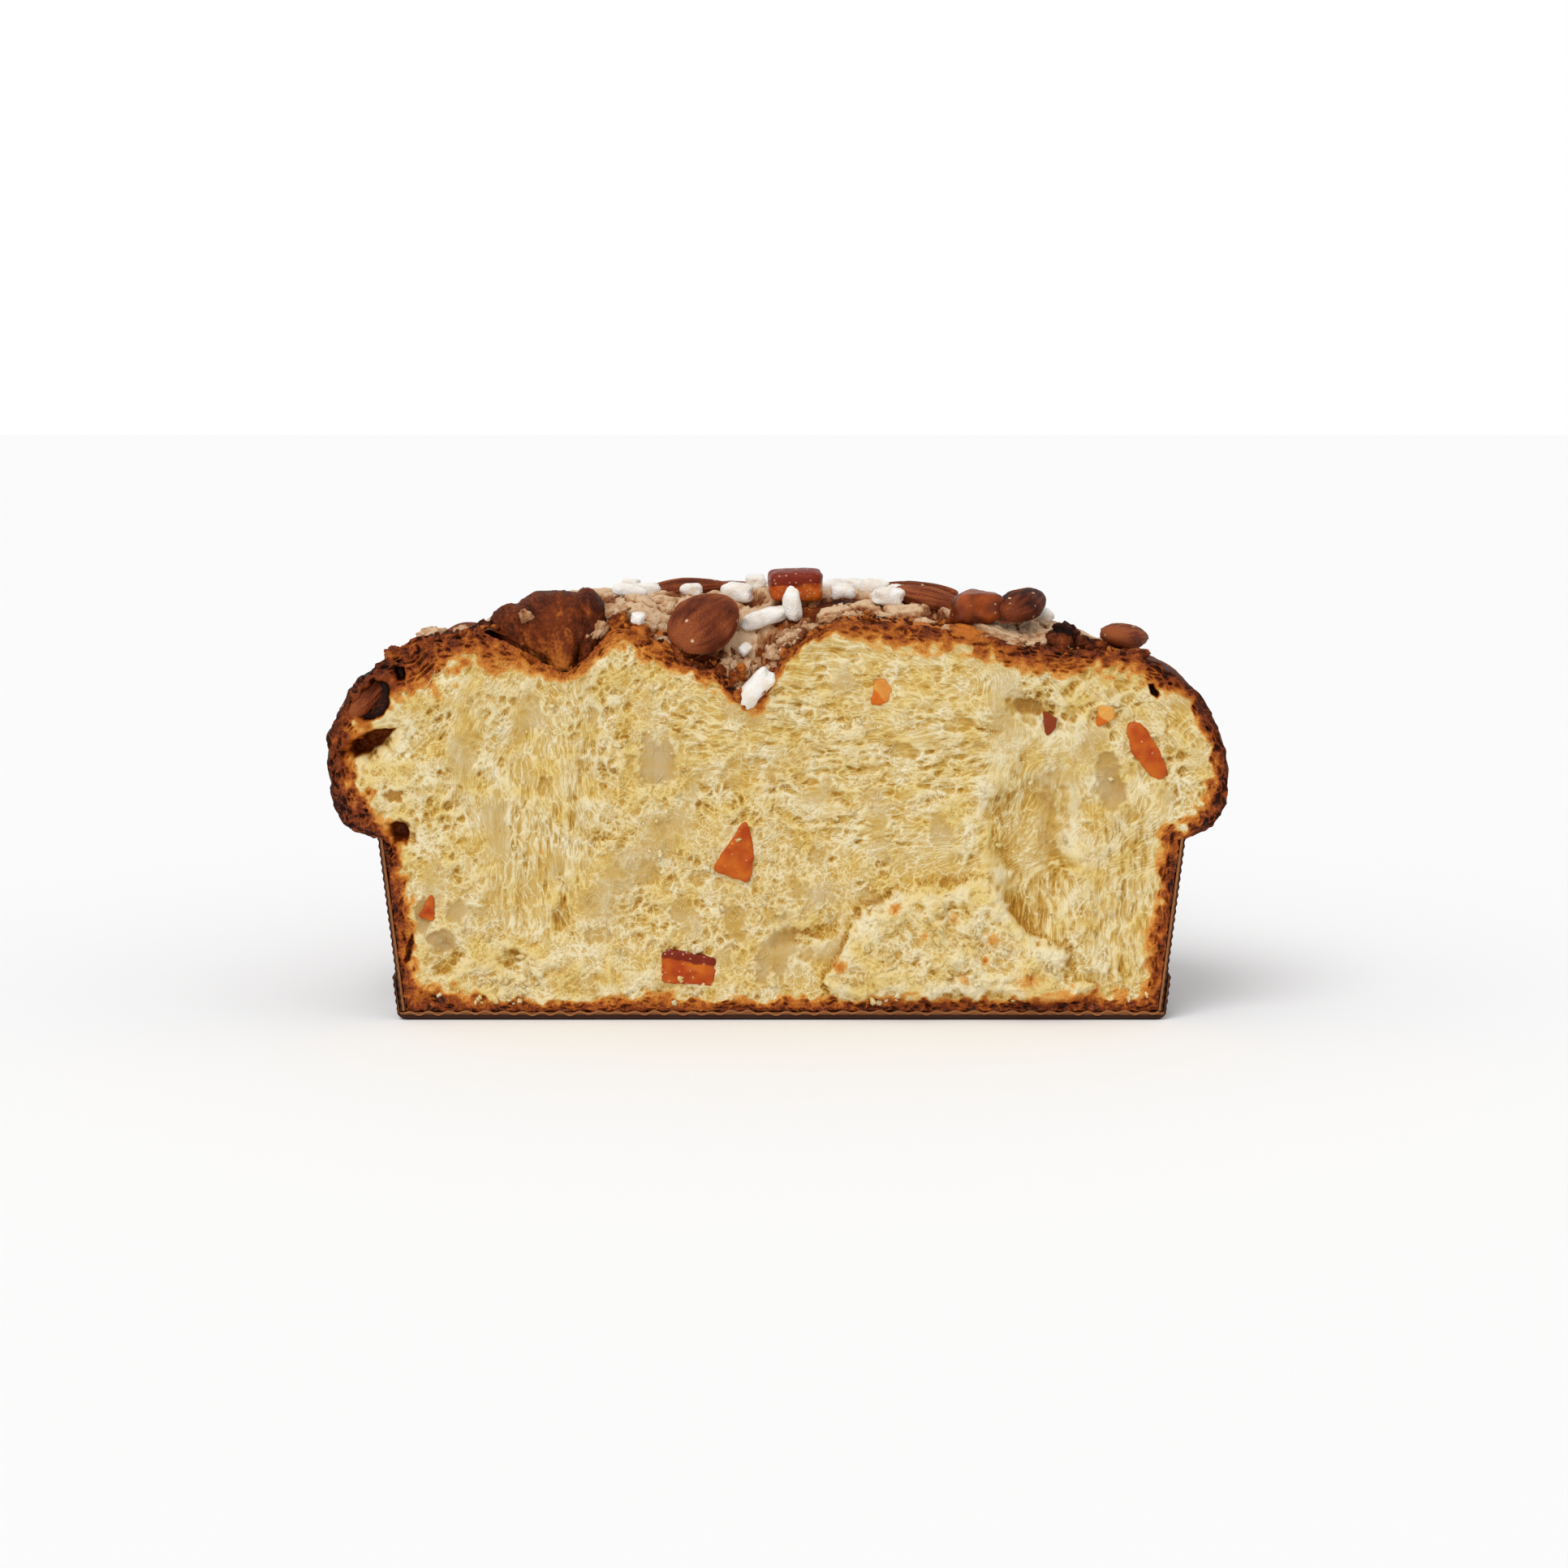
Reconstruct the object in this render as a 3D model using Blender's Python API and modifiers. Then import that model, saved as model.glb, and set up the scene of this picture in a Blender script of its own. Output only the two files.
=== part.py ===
"""Half of a dove-shaped Easter bread, cut across its wings, in its ribbed paper case.

Everything is in metres with +Z up. The cut face looks along -Y, the tail of the dove points
along +Y, and the loaf stands on the flat bottom of its case. Shapes are worked out with y
counted from the cut face; one parent empty then moves the whole so that the origin is at the
middle of the case's bottom.
"""

import math

import bmesh
import bpy
import numpy as np
from mathutils import Matrix, Vector
from mathutils.geometry import delaunay_2d_cdt

MM = 0.001

# Driving sizes of the whole; GAP is the room left between pieces that touch
CUT_FACE_Y = -78 * MM
TAIL_Y = 148 * MM
GAP = 0.3 * MM
COLUMNS = 52

# The case: a strip of corrugated paper standing in a shallow tray
WALL_TOP_Z = 46.9 * MM
WALL_THICKNESS = 1.2 * MM
WALL_TAPER = 5.5 * MM
TRAY_THICKNESS = 2.0 * MM
TRAY_RIM_HEIGHT = 11 * MM
TRAY_RIM_THICKNESS = 0.6 * MM

# Right half of the case's rim seen from above, from the cut over the wing and neck to the tail
RIM_HALF = [
    (102.5, 0), (102.5, 18), (100.5, 33), (92, 45), (78, 52), (66, 58), (58.5, 68),
    (56, 82), (59, 97), (63, 113), (61, 129), (50, 141), (30, 146.5), (0, 148),
]

# The crown's side as (distance outside the rim, height), from the case's rim up to the shoulder
CROWN_RIGHT = [
    (-1.5, 47.2), (1.5, 47.2), (6.0, 50.0), (9.5, 55.0), (10.8, 61.5),
    (9.6, 69.5), (6.4, 77.5), (2.0, 84.0), (-4.3, 89.2), (-12.5, 93.2),
]
CROWN_LEFT = [
    (-1.5, 47.2), (3.0, 47.2), (7.8, 50.6), (11.0, 56.0), (12.4, 64.0),
    (12.1, 71.0), (10.4, 76.5), (7.0, 82.5), (1.0, 89.5), (-8.0, 94.5),
]
# How unevenly the crown bulges, outwards and upwards, with its number of lumps round the loaf
CROWN_WAVER, CROWN_WAVER_COUNT = 1.1 * MM, 30
CROWN_LIFT, CROWN_LIFT_COUNT = 0.9 * MM, 22

# Upper edge of the cut face as (x, height), left to right: bare fold, peak, nut dip, crease, arch
CUT_TOP = [
    (-94.5, 94.5), (-89.6, 97.9), (-83.4, 98.9), (-77.2, 99.2), (-73.1, 100.4),
    (-68.9, 97.5), (-63.8, 95.0), (-58.6, 91.9), (-54.0, 88.8), (-49.3, 91.9),
    (-45.1, 97.3), (-41.0, 100.4), (-35.8, 99.4), (-31.7, 96.9), (-26.5, 93.8),
    (-20.3, 90.2), (-16.1, 90.2), (-13.4, 87.4), (-11.2, 84.0), (-8.7, 82.0),
    (-5.8, 83.4), (-3.1, 87.8), (0.4, 93.2), (5.6, 97.5), (12.8, 101.0),
    (20.1, 102.3), (28.4, 101.2), (38.7, 100.0), (49.1, 97.9), (59.4, 95.8),
    (69.8, 94.7), (80.1, 94.3), (90.0, 93.2),
]
# The ridge that shows over the cut, as (x, height)
RIDGE_TOP = [
    (-95, 93), (-84, 95), (-77, 97), (-72, 100.5), (-67, 103.6), (-58, 105), (-46, 105.6),
    (-34, 105), (-20, 105), (0, 106), (20, 106), (35, 104.8), (50, 102), (65, 98.8),
    (80, 95.5), (92, 92.5),
]
PROFILE_SOFTNESS = 0.8 * MM
# How far the cut's own edge reaches back, and where the ridge gives way to the rear dome
CUT_REACH = 13 * MM
REAR_START, REAR_FULL = 38 * MM, 64 * MM
# The rear dome: its height at the edge, its rise inwards over a distance, its fall to the tail
REAR_EDGE_Z, REAR_CROWN, REAR_CROWN_WIDTH = 93.0 * MM, 9.0 * MM, 42 * MM
REAR_FALL = 5.5 * MM
# The top meets the shoulder over these distances, inwards and back from the cut
SHOULDER_BLEND, SHOULDER_START = 11 * MM, 9 * MM
# Lumps of the top and of the torn face, as (height, size across) pairs
TOP_LUMPS = [(0.9 * MM, 13 * MM), (0.5 * MM, 6 * MM)]
FACE_LUMPS = [(0.7 * MM, 9 * MM), (0.4 * MM, 4.5 * MM)]

# Spacing of the surface points: on the torn face, on the crown near the cut and behind it
FACE_SPACING, CROWN_SPACING, REAR_SPACING = 4.7 * MM, 4.4 * MM, 8.2 * MM
FINE_CROWN_DEPTH = 26 * MM
FACE_RIM = 4 * MM

# Relief of the torn face as (x, z, half width, half height, tilt in degrees, depth inwards)
FACE_HOLLOWS = [
    (-104.2, 70.8, 7.6, 3.4, 24, 8.0),
    (-97.0, 47.4, 3.4, 3.6, 10, 4.5),
    (-33.7, 69.6, 4.8, 4.6, 0, 1.8),
    (-7.9, 62.0, 8.5, 4.0, -8, 2.0),
    (64.6, 81.4, 7.5, 3.0, -12, 2.4),
    (83.0, 60.5, 4.6, 7.5, 10, 1.6),
    (-70.0, 15.5, 5.0, 4.2, 20, 3.0),
    (-54.0, 26.0, 4.2, 5.0, -10, 2.2),
    (-86.5, 16.5, 6.5, 6.0, 30, 3.0),
    (-22.0, 33.5, 5.5, 5.5, 0, 1.6),
    (6.0, 22.0, 9.0, 4.0, 25, 2.0),
    (40.0, 30.5, 7.5, 4.2, 10, 1.2),
]
# Strands pulled apart on the right leave a tall valley, and a torn chunk stands out at the foot
PULLED_VALLEY = (63.0, 43.0, 11.5, 27.0, 4.5)
CHUNK_TOP = [(13, 6), (16, 22), (22, 29), (29, 34.5), (49, 35), (57, 28), (66, 20), (78, 8)]
CHUNK_PROUD = 3.6 * MM

# Whole almonds on the crown: (name, x, y, heading, roll, length, width, thickness, sunk)
ALMONDS = [
    ("almond_front", -20.2, 9.6, 58, 0, 22.5, 16.0, 9.0, 1.8),
    ("almond_behind", -25.0, 37.0, 8, 0, 22.5, 13.5, 8.0, 2.4),
    ("almond_ridge_right", 34.0, 42.0, 5, 0, 23.0, 13.0, 8.0, 3.0),
    ("almond_flat", 36.5, 21.0, -10, 0, 22.0, 13.5, 8.0, 3.4),
    ("almond_end_on", 61.8, 14.0, 82, 18, 22.5, 12.8, 8.4, 0.2),
    ("almond_shoulder", 87.6, 14.5, 84, 6, 22.0, 13.0, 7.8, 3.2),
    ("almond_left_wing", -83.0, 31.0, 70, 0, 22.5, 13.5, 8.2, 3.2),
    ("almond_right_wing", 70.0, 38.0, -35, 0, 22.0, 13.0, 8.0, 2.8),
    ("almond_body_left", -32.0, 64.0, 100, 0, 23.0, 13.5, 8.4, 2.6),
    ("almond_body_right", 20.0, 71.0, 30, 0, 22.5, 14.0, 8.2, 2.6),
    ("almond_body_middle", -9.0, 93.0, -25, 0, 23.5, 13.5, 8.0, 2.4),
    ("almond_tail_right", 37.0, 104.0, 75, 0, 22.0, 13.0, 8.4, 2.6),
    ("almond_tail_left", -35.0, 110.0, 40, 0, 22.5, 13.5, 8.0, 2.6),
]
# How much an almond narrows to its tip, how far the tip is drawn out, how full its round end is
ALMOND_TIP, ALMOND_POINT, ALMOND_BASE = 0.3, 0.1, 0.16
# An almond sunk into the burnt left shoulder: its centre, its size, its heading and its lean
BURNT_ALMOND = ("almond_burnt", (-104.0, 7.0, 83.6), (20.0, 12.0, 8.0), (40, 48))

# Candied peel on the crown: (name, x, y, heading, length, width, thickness, sunk)
CANDIED_TOPPINGS = [
    ("candied_top", 3.5, 19.0, 3, 14.4, 11.0, 8.4, 1.2),
    ("candied_glazed", 49.2, 8.8, 16, 12.4, 9.6, 8.2, 0.6),
    ("candied_body", -14.0, 74.0, 50, 12.0, 10.0, 7.6, 1.0),
    ("candied_tail", 10.0, 118.0, -20, 11.5, 9.5, 7.2, 1.0),
    ("candied_rear", -41.0, 89.0, 15, 11.0, 9.5, 7.0, 1.0),
]
PEEL_LEVELLED = 0.65

# Candied peel laid open by the cut: name, depth, and its corners as (x, z), clockwise
CANDIED_IN_FACE = [
    ("candied_wedge", 6, [(-9.0, 52.3), (-7.0, 44.2), (-7.7, 35.2), (-17.9, 38.4)]),
    ("candied_slab", 7, [(-30.2, 18.5), (-16.3, 16.2), (-17.0, 8.7), (-30.9, 9.7)]),
    (
        "candied_strip", 6,
        [(86.8, 76.4), (91.2, 76.2), (96.3, 67.6), (98.2, 62.6), (94.6, 61.3), (88.2, 68.9)],
    ),
    ("candied_chip_arch", 4, [(23.4, 87.3), (25.9, 87.4), (28.0, 84.5), (27.0, 81.4), (22.4, 80.2)]),
    ("candied_chip_wing", 4, [(80.0, 80.7), (83.5, 80.2), (84.4, 77.6), (79.5, 75.0)]),
    ("candied_sliver", 4, [(-88.7, 33.3), (-88.2, 27.5), (-88.8, 25.2), (-92.4, 26.4)]),
    ("candied_dark_chip", 4, [(66.0, 79.5), (69.7, 77.2), (69.0, 74.8), (66.7, 72.4)]),
]
FACE_PIECE_BEVEL = 0.35 * MM
FACE_PIECE_PROUD = 0.8 * MM

# The baked sugar glaze over the crown: its thickness, its share at the edge, how uneven it is
ICING_THICKNESS, ICING_THIN_EDGE, ICING_UNEVEN = 1.5 * MM, 0.45, 0.35
# How far inside the shoulder it ends and how raggedly, and how readily it breaks open
ICING_INSET, ICING_RAGGED = 5 * MM, 5 * MM
ICING_HOLD, ICING_BREAKS = 7 * MM, 9.5 * MM
# Bare spots as (x, y, half width, half depth), and where the front of the wings stays bare
BARE_SPOTS = [(-60.0, 12.0, 17.0, 22.0), (-10.6, 0.0, 4.6, 5.5)]
BARE_SPOT_EDGE = 14 * MM
BARE_LEFT_WING, BARE_RIGHT_WING = (-70 * MM, 26 * MM), (76 * MM, 22 * MM)
# Grains placed by eye as (x, y, heading, length, width); the rest are drawn with a fixed seed
FRONT_GRAINS = [
    (-37.0, 2.5, 80, 4.4, 3.4), (-11.5, 22.5, -28, 8.4, 4.6), (-23.5, 27.0, -15, 5.4, 3.6),
    (3.2, 8.5, 90, 8.6, 4.8), (-6.0, 13.5, 18, 8.6, 4.6),
    (13.8, 30.0, 10, 6.4, 4.0), (19.0, 34.0, -10, 5.6, 3.8), (15.6, 20.0, 5, 6.0, 4.2),
    (23.6, 27.5, 0, 7.2, 4.6), (29.5, 24.0, -12, 6.0, 4.0), (26.8, 14.0, 15, 7.6, 5.0),
    (-39.5, 24.0, 0, 8.2, 5.2), (-35.0, 31.0, 10, 7.0, 5.0), (66.0, 24.0, -20, 6.0, 4.2),
]
# One grain lies in the foot of the crease, half on the torn face: x, y, z, slope and size
CREASE_GRAIN = ((-6.2, 0.4, 85.0), 48, 10.6, 5.2)
DRAWN_GRAINS = 20
DRAWN_GRAIN_AREA = ((-90, 90), (26, 132))
DRAWN_GRAIN_LENGTH, DRAWN_GRAIN_WIDTH = (4.6, 8.4), (3.6, 5.0)
GRAIN_SEED = 7
# Room kept round a drawn grain: to toppings, to the next grain, to the icing's edge
GRAIN_CLEARANCE, GRAIN_SPACING, GRAIN_INSET = 3.2 * MM, 7.5 * MM, 3 * MM
GRAIN_SINKS = 0.4


def smooth_step(low, high, x):
    """0 below low, 1 above high, and an S-curve between."""
    t = np.clip((np.asarray(x, float) - low) / (high - low), 0, 1)
    return t * t * (3 - 2 * t)


def lumps(x, y, cell, seed):
    """A smooth random field from -1 to 1 with lumps about one cell across."""
    u, v = np.asarray(x, float) / cell, np.asarray(y, float) / cell
    column, row = np.floor(u), np.floor(v)
    across, along = smooth_step(0, 1, u - column), smooth_step(0, 1, v - row)

    def corner(i, j):
        mixed = np.sin((column + i) * 127.1 + (row + j) * 311.7 + seed * 74.7) * 43758.5453
        return mixed - np.floor(mixed)

    low = corner(0, 0) * (1 - across) + corner(1, 0) * across
    high = corner(0, 1) * (1 - across) + corner(1, 1) * across
    return 2 * (low * (1 - along) + high * along) - 1


def through(points, x):
    """Height of the line through named (x, height) points in millimetres, rounded a little."""
    xs, zs = (np.array(side, float) * MM for side in zip(*points))
    shifts = (-PROFILE_SOFTNESS, 0, PROFILE_SOFTNESS)
    return sum(np.interp(x + shift, xs, zs) for shift in shifts) / len(shifts)


def rim_outline(columns):
    """Points round the case's rim, evenly spaced from the right end of the cut to the left,
    and their outward normals. The curve is a Catmull-Rom spline through RIM_HALF and its mirror.
    """
    right = np.array(RIM_HALF, float) * MM
    left = (right * [-1, 1])[-2::-1]
    whole = np.concatenate([right[1:2] * [1, -1], right, left, left[-2:-1] * [1, -1]])
    t = np.linspace(0, 1, 24, endpoint=False)[:, None]
    dense = []
    for before, start, end, after in zip(whole, whole[1:], whole[2:], whole[3:]):
        dense.append(
            0.5 * (2 * start + (end - before) * t
                   + (2 * before - 5 * start + 4 * end - after) * t**2
                   + (3 * start - before - 3 * end + after) * t**3)
        )
    dense = np.concatenate(dense + [whole[-2:-1]])
    along = np.concatenate([[0], np.cumsum(np.hypot(*np.diff(dense, axis=0).T))])
    at = np.linspace(0, along[-1], columns + 1)
    points = np.stack([np.interp(at, along, dense[:, axis]) for axis in (0, 1)], axis=1)
    heading = np.gradient(dense, axis=0)
    normals = np.stack(
        [np.interp(at, along, heading[:, 1]), -np.interp(at, along, heading[:, 0])], axis=1
    )
    normals /= np.linalg.norm(normals, axis=1, keepdims=True)
    normals[0], normals[-1] = (1, 0), (-1, 0)
    return points, normals


RIM, RIM_NORMALS = rim_outline(COLUMNS)


def round_case(outside, z):
    """One ring of points at a distance outside the rim and a height; both may vary."""
    outside = np.broadcast_to(outside, len(RIM))[:, None]
    flat = RIM + RIM_NORMALS * outside
    return np.column_stack([flat, np.broadcast_to(z, len(RIM))])


def wall_outside(z):
    """How far the case wall's outer face stands outside the rim at a height."""
    return -WALL_TAPER * (1 - z / WALL_TOP_Z)


def loaf_rings():
    """Rings of the loaf's side: inside the case, then the crown's overhang up to the shoulder."""
    inset = WALL_THICKNESS + GAP
    floor = TRAY_THICKNESS + GAP
    middle = WALL_TOP_Z / 2
    rings = [round_case(wall_outside(z) - inset, z) for z in (floor, middle)]
    share = np.linspace(0, 1, len(RIM))
    to_left = smooth_step(0.3, 0.7, share)
    away_from_cut = smooth_step(0, 0.08, share) * smooth_step(0, 0.08, 1 - share)
    for step, (right, left) in enumerate(zip(CROWN_RIGHT, CROWN_LEFT)):
        outside, z = (
            (right[k] * (1 - to_left) + left[k] * to_left) * MM for k in (0, 1)
        )
        free = away_from_cut * smooth_step(0.5, 3, step)
        up_the_side = np.full_like(share, step * 0.5)
        outward = lumps(share * CROWN_WAVER_COUNT, up_the_side, 1, 3)
        upward = lumps(share * CROWN_LIFT_COUNT, up_the_side, 1, 8)
        rings.append(
            round_case(outside + free * CROWN_WAVER * outward, z + free * CROWN_LIFT * upward)
        )
    return rings


def distance_to(ring, x, y):
    """Distance from each (x, y) to the nearest point of a closed or open ring of points."""
    start, end = ring[:-1, :2], ring[1:, :2]
    span = end - start
    at = np.stack([x, y], axis=-1)[..., None, :] - start
    t = np.clip((at * span).sum(-1) / (span**2).sum(-1), 0, 1)
    return np.linalg.norm(at - t[..., None] * span, axis=-1).min(-1)


def top_height(x, y, shoulder):
    """Height of the crown above (x, y).

    The cut's own upper edge fades within a short way into the ridge behind it, the ridge fades
    into the rear dome, and all of it meets the shoulder ring.
    """
    x, y = np.asarray(x, float), np.asarray(y, float)
    inward = distance_to(shoulder, x, y)
    rise = 1 - (1 - np.clip(inward / REAR_CROWN_WIDTH, 0, 1)) ** 2
    rear = REAR_EDGE_Z + REAR_CROWN * rise - REAR_FALL * np.clip(y / TAIL_Y, 0, 1)
    ridge = through(RIDGE_TOP, x)
    rear_share = smooth_step(REAR_START, REAR_FULL, y)
    behind = ridge * (1 - rear_share) + rear * rear_share
    for seed, (size, cell) in enumerate(TOP_LUMPS):
        behind = behind + size * lumps(x, y, cell, 5 + seed)
    cut_share = np.exp(-((y / CUT_REACH) ** 2))
    height = through(CUT_TOP, x) * cut_share + behind * (1 - cut_share)
    edge = np.where(x > 0, CROWN_RIGHT[-1][1], CROWN_LEFT[-1][1]) * MM
    meet = smooth_step(0, SHOULDER_BLEND, inward)
    back_from_cut = smooth_step(0, SHOULDER_START, y)
    meet = meet * back_from_cut + (1 - back_from_cut)
    return edge * (1 - meet) + height * meet


def face_relief(x, z):
    """How far the torn face lies behind the plane of the cut; below zero stands proud."""
    depth = sum(
        size * lumps(x, z, cell, 21 + seed) for seed, (size, cell) in enumerate(FACE_LUMPS)
    )
    for middle_x, middle_z, half_width, half_height, tilt, deep in FACE_HOLLOWS:
        along_x, along_z = x - middle_x * MM, z - middle_z * MM
        c, s = math.cos(math.radians(tilt)), math.sin(math.radians(tilt))
        u = (along_x * c + along_z * s) / (half_width * MM)
        v = (along_z * c - along_x * s) / (half_height * MM)
        depth = depth + deep * MM * (1 - smooth_step(0.35, 1.15, np.hypot(u, v)))
    middle_x, middle_z, half_width, half_height, deep = PULLED_VALLEY
    u = (x / MM - middle_x) / half_width
    v = (z / MM - middle_z) / half_height
    depth = depth + deep * MM * (1 - smooth_step(0.5, 1.1, np.hypot(u, v)))
    under_top = np.interp(x, *(np.array(side) * MM for side in zip(*CHUNK_TOP)), left=0, right=0)
    chunk = smooth_step(-1.5 * MM, 2.5 * MM, under_top - z) * smooth_step(4 * MM, 8 * MM, z)
    depth = depth - (CHUNK_PROUD + depth * 0.8) * chunk
    return depth


def inside(polygon, x, z):
    """Which points lie inside a closed polygon, by counting the edges crossed."""
    odd = np.zeros(np.shape(x), bool)
    for (x0, z0), (x1, z1) in zip(polygon, np.roll(polygon, -1, axis=0)):
        if z0 == z1:
            continue
        crosses = (z0 > z) != (z1 > z)
        odd ^= crosses & (x < (x1 - x0) * (z - z0) / (z1 - z0) + x0)
    return odd


def scattered_inside(polygon, spacing, clear, seed):
    """A jittered hexagonal lattice inside a polygon, clear of its edge by a distance."""
    low, high = polygon.min(axis=0), polygon.max(axis=0)
    columns = np.arange(low[0], high[0], spacing)
    rows = np.arange(low[1], high[1], spacing * math.sqrt(0.75))
    x, z = np.meshgrid(columns, rows)
    x = x + spacing / 2 * (np.arange(len(rows)) % 2)[:, None]
    draw = np.random.RandomState(seed)
    jitter = draw.uniform(-0.16, 0.16, (2,) + x.shape) * spacing
    x, z = (x + jitter[0]).ravel(), (z + jitter[1]).ravel()
    closed = np.vstack([polygon, polygon[:1]])
    keep = inside(polygon, x, z)
    x, z = x[keep], z[keep]
    keep = distance_to(closed, x, z) > clear
    return np.column_stack([x[keep], z[keep]])


def fill(polygon, within):
    """Delaunay triangles over a polygon and points within it, as indices into both."""
    points = [Vector(p) for p in np.vstack([polygon, within])]
    result = delaunay_2d_cdt(points, [], [list(range(len(polygon)))], 1, 1e-7)
    source = [origins[0] for origins in result[3]]
    return [[source[corner] for corner in face] for face in result[2]]


def mesh_object(name, points, faces, material, collection, closed=True):
    """A named object from points and faces; a closed one is welded and its faces turned out."""
    mesh = bpy.data.meshes.new(name)
    mesh.from_pydata([tuple(p) for p in points], [], faces)
    if closed:
        shape = bmesh.new()
        shape.from_mesh(mesh)
        bmesh.ops.remove_doubles(shape, verts=shape.verts, dist=0.01 * MM)
        bmesh.ops.recalc_face_normals(shape, faces=shape.faces)
        shape.to_mesh(mesh)
        shape.free()
    mesh.materials.append(material)
    obj = bpy.data.objects.new(name, mesh)
    collection.objects.link(obj)
    return obj


def ring_band(rings, first=0):
    """Quads between successive open rings of equal length, numbered from an index."""
    count = len(rings[0])
    faces = []
    for row in range(len(rings) - 1):
        for column in range(count - 1):
            corner = first + row * count + column
            faces.append([corner, corner + 1, corner + 1 + count, corner + count])
    return faces


def cut_top_edge():
    """Points along the cut's upper edge between the two shoulders, left to right."""
    named = np.array([x for x, _ in CUT_TOP], float) * MM
    middles = (named[1:] + named[:-1]) / 2
    x = np.sort(np.concatenate([named[1:-1], middles]))
    return np.column_stack([x, np.zeros_like(x), through(CUT_TOP, x)])


def crown_points(shoulder, boundary):
    """Points of the crown's top: close together near the cut and wider apart behind it."""
    fine = scattered_inside(boundary, CROWN_SPACING, CROWN_SPACING / 2, 31)
    coarse = scattered_inside(boundary, REAR_SPACING, REAR_SPACING / 2, 32)
    near = fine[fine[:, 1] < FINE_CROWN_DEPTH - 2 * MM]
    far = coarse[coarse[:, 1] > FINE_CROWN_DEPTH + 2 * MM]
    flat = np.vstack([near, far])
    height = top_height(flat[:, 0], flat[:, 1], shoulder)
    return np.column_stack([flat, height])


def build_loaf(material, collection):
    """The loaf as one closed body, and the crown's top again as a bare surface for the icing."""
    rings = loaf_rings()
    shoulder = rings[-1]
    top_edge = cut_top_edge()
    floor = rings[0][0, 2]
    half_floor = rings[0][0, 0]
    floor_x = np.linspace(-half_floor, half_floor, 20)[1:-1]
    floor_edge = np.column_stack([floor_x, 0 * floor_x, 0 * floor_x + floor])

    points = [np.vstack(rings)]
    faces = ring_band(rings)

    def add(new_points, triangles):
        first = sum(len(block) for block in points)
        points.append(new_points)
        faces.extend([[first + corner for corner in face] for face in triangles])

    crown_rim = np.vstack([shoulder, top_edge])
    crown = crown_points(shoulder, crown_rim[:, :2])
    crown_mesh = np.vstack([crown_rim, crown])
    crown_faces = fill(crown_rim[:, :2], crown[:, :2])
    add(crown_mesh, crown_faces)

    right_side = np.array([ring[0] for ring in rings])
    left_side = np.array([ring[-1] for ring in rings])
    face_rim = np.vstack([right_side, top_edge[::-1], left_side[::-1], floor_edge])
    outline = face_rim[:, [0, 2]]
    within = scattered_inside(outline, FACE_SPACING, FACE_SPACING * 0.43, 33)
    from_edge = distance_to(np.vstack([outline, outline[:1]]), within[:, 0], within[:, 1])
    relief = face_relief(within[:, 0], within[:, 1]) * smooth_step(0, FACE_RIM, from_edge)
    face_points = np.column_stack([within[:, 0], relief, within[:, 1]])
    add(np.vstack([face_rim, face_points]), fill(outline, within))

    base_rim = np.vstack([rings[0], floor_edge])
    add(base_rim, [list(range(len(base_rim)))])

    loaf = mesh_object("loaf", np.vstack(points), faces, material, collection)
    return loaf, crown_mesh, crown_faces, shoulder


def surface_normal(x, y, shoulder):
    """Upward unit normal of the crown's top, from small steps to each side."""
    step = 2.5 * MM
    x_pair, y_pair = np.array([x - step, x + step]), np.array([y - step, y + step])
    slope_x = np.diff(top_height(x_pair, np.full(2, y), shoulder))[0] / (2 * step)
    slope_y = np.diff(top_height(np.full(2, x), y_pair, shoulder))[0] / (2 * step)
    return Vector((-slope_x, -slope_y, 1)).normalized()


def resting_frame(x, y, heading, lift, shoulder, level=0.0):
    """Matrix that lays a piece on the crown: its Z along the surface normal, its X heading off.

    A level above zero turns the piece's Z from the normal towards straight up.
    """
    up = surface_normal(x, y, shoulder).lerp(Vector((0, 0, 1)), level).normalized()
    ahead = Vector((math.cos(math.radians(heading)), math.sin(math.radians(heading)), 0))
    side = up.cross(ahead).normalized()
    ahead = side.cross(up)
    height = float(top_height(np.array([x]), np.array([max(y, 0.0)]), shoulder)[0])
    place = Vector((x, y, height)) + up * lift
    turn = Matrix((ahead, side, up)).transposed().to_4x4()
    return Matrix.Translation(place) @ turn


def almond_mesh(length, width, thickness, grow):
    """An almond along X: a sphere drawn out to a point at one end and flattened."""
    shape = bmesh.new()
    bmesh.ops.create_uvsphere(shape, u_segments=10, v_segments=7, radius=1)
    for vert in shape.verts:
        across, flat, ahead = vert.co
        tip, base = max(ahead, 0), max(-ahead, 0)
        slim = (1 + ALMOND_BASE * base**2) * (1 - ALMOND_TIP * (ahead + 1) / 2)
        point = tip + ALMOND_POINT * tip**3 - base**1.35
        vert.co = (
            point * (length / 2 + grow),
            across * slim * (width / 2 + grow),
            flat * slim * (thickness / 2 + grow),
        )
    return shape


def peel_mesh(length, width, thickness, grow, seed):
    """A diced piece of candied peel: a cube, uneven at its corners, with bevelled edges."""
    shape = bmesh.new()
    bmesh.ops.create_cube(shape, size=1)
    draw = np.random.RandomState(seed)
    for vert in shape.verts:
        uneven = 1 + draw.uniform(-0.12, 0.06, 3)
        vert.co = [
            corner * (size + 2 * grow) * change
            for corner, size, change in zip(vert.co, (length, width, thickness), uneven)
        ]
    bmesh.ops.triangulate(shape, faces=shape.faces, quad_method="FIXED")
    bmesh.ops.bevel(
        shape, geom=shape.edges, offset=min(length, width, thickness) * 0.09,
        segments=1, affect="EDGES", profile=0.5,
    )
    return shape


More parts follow.
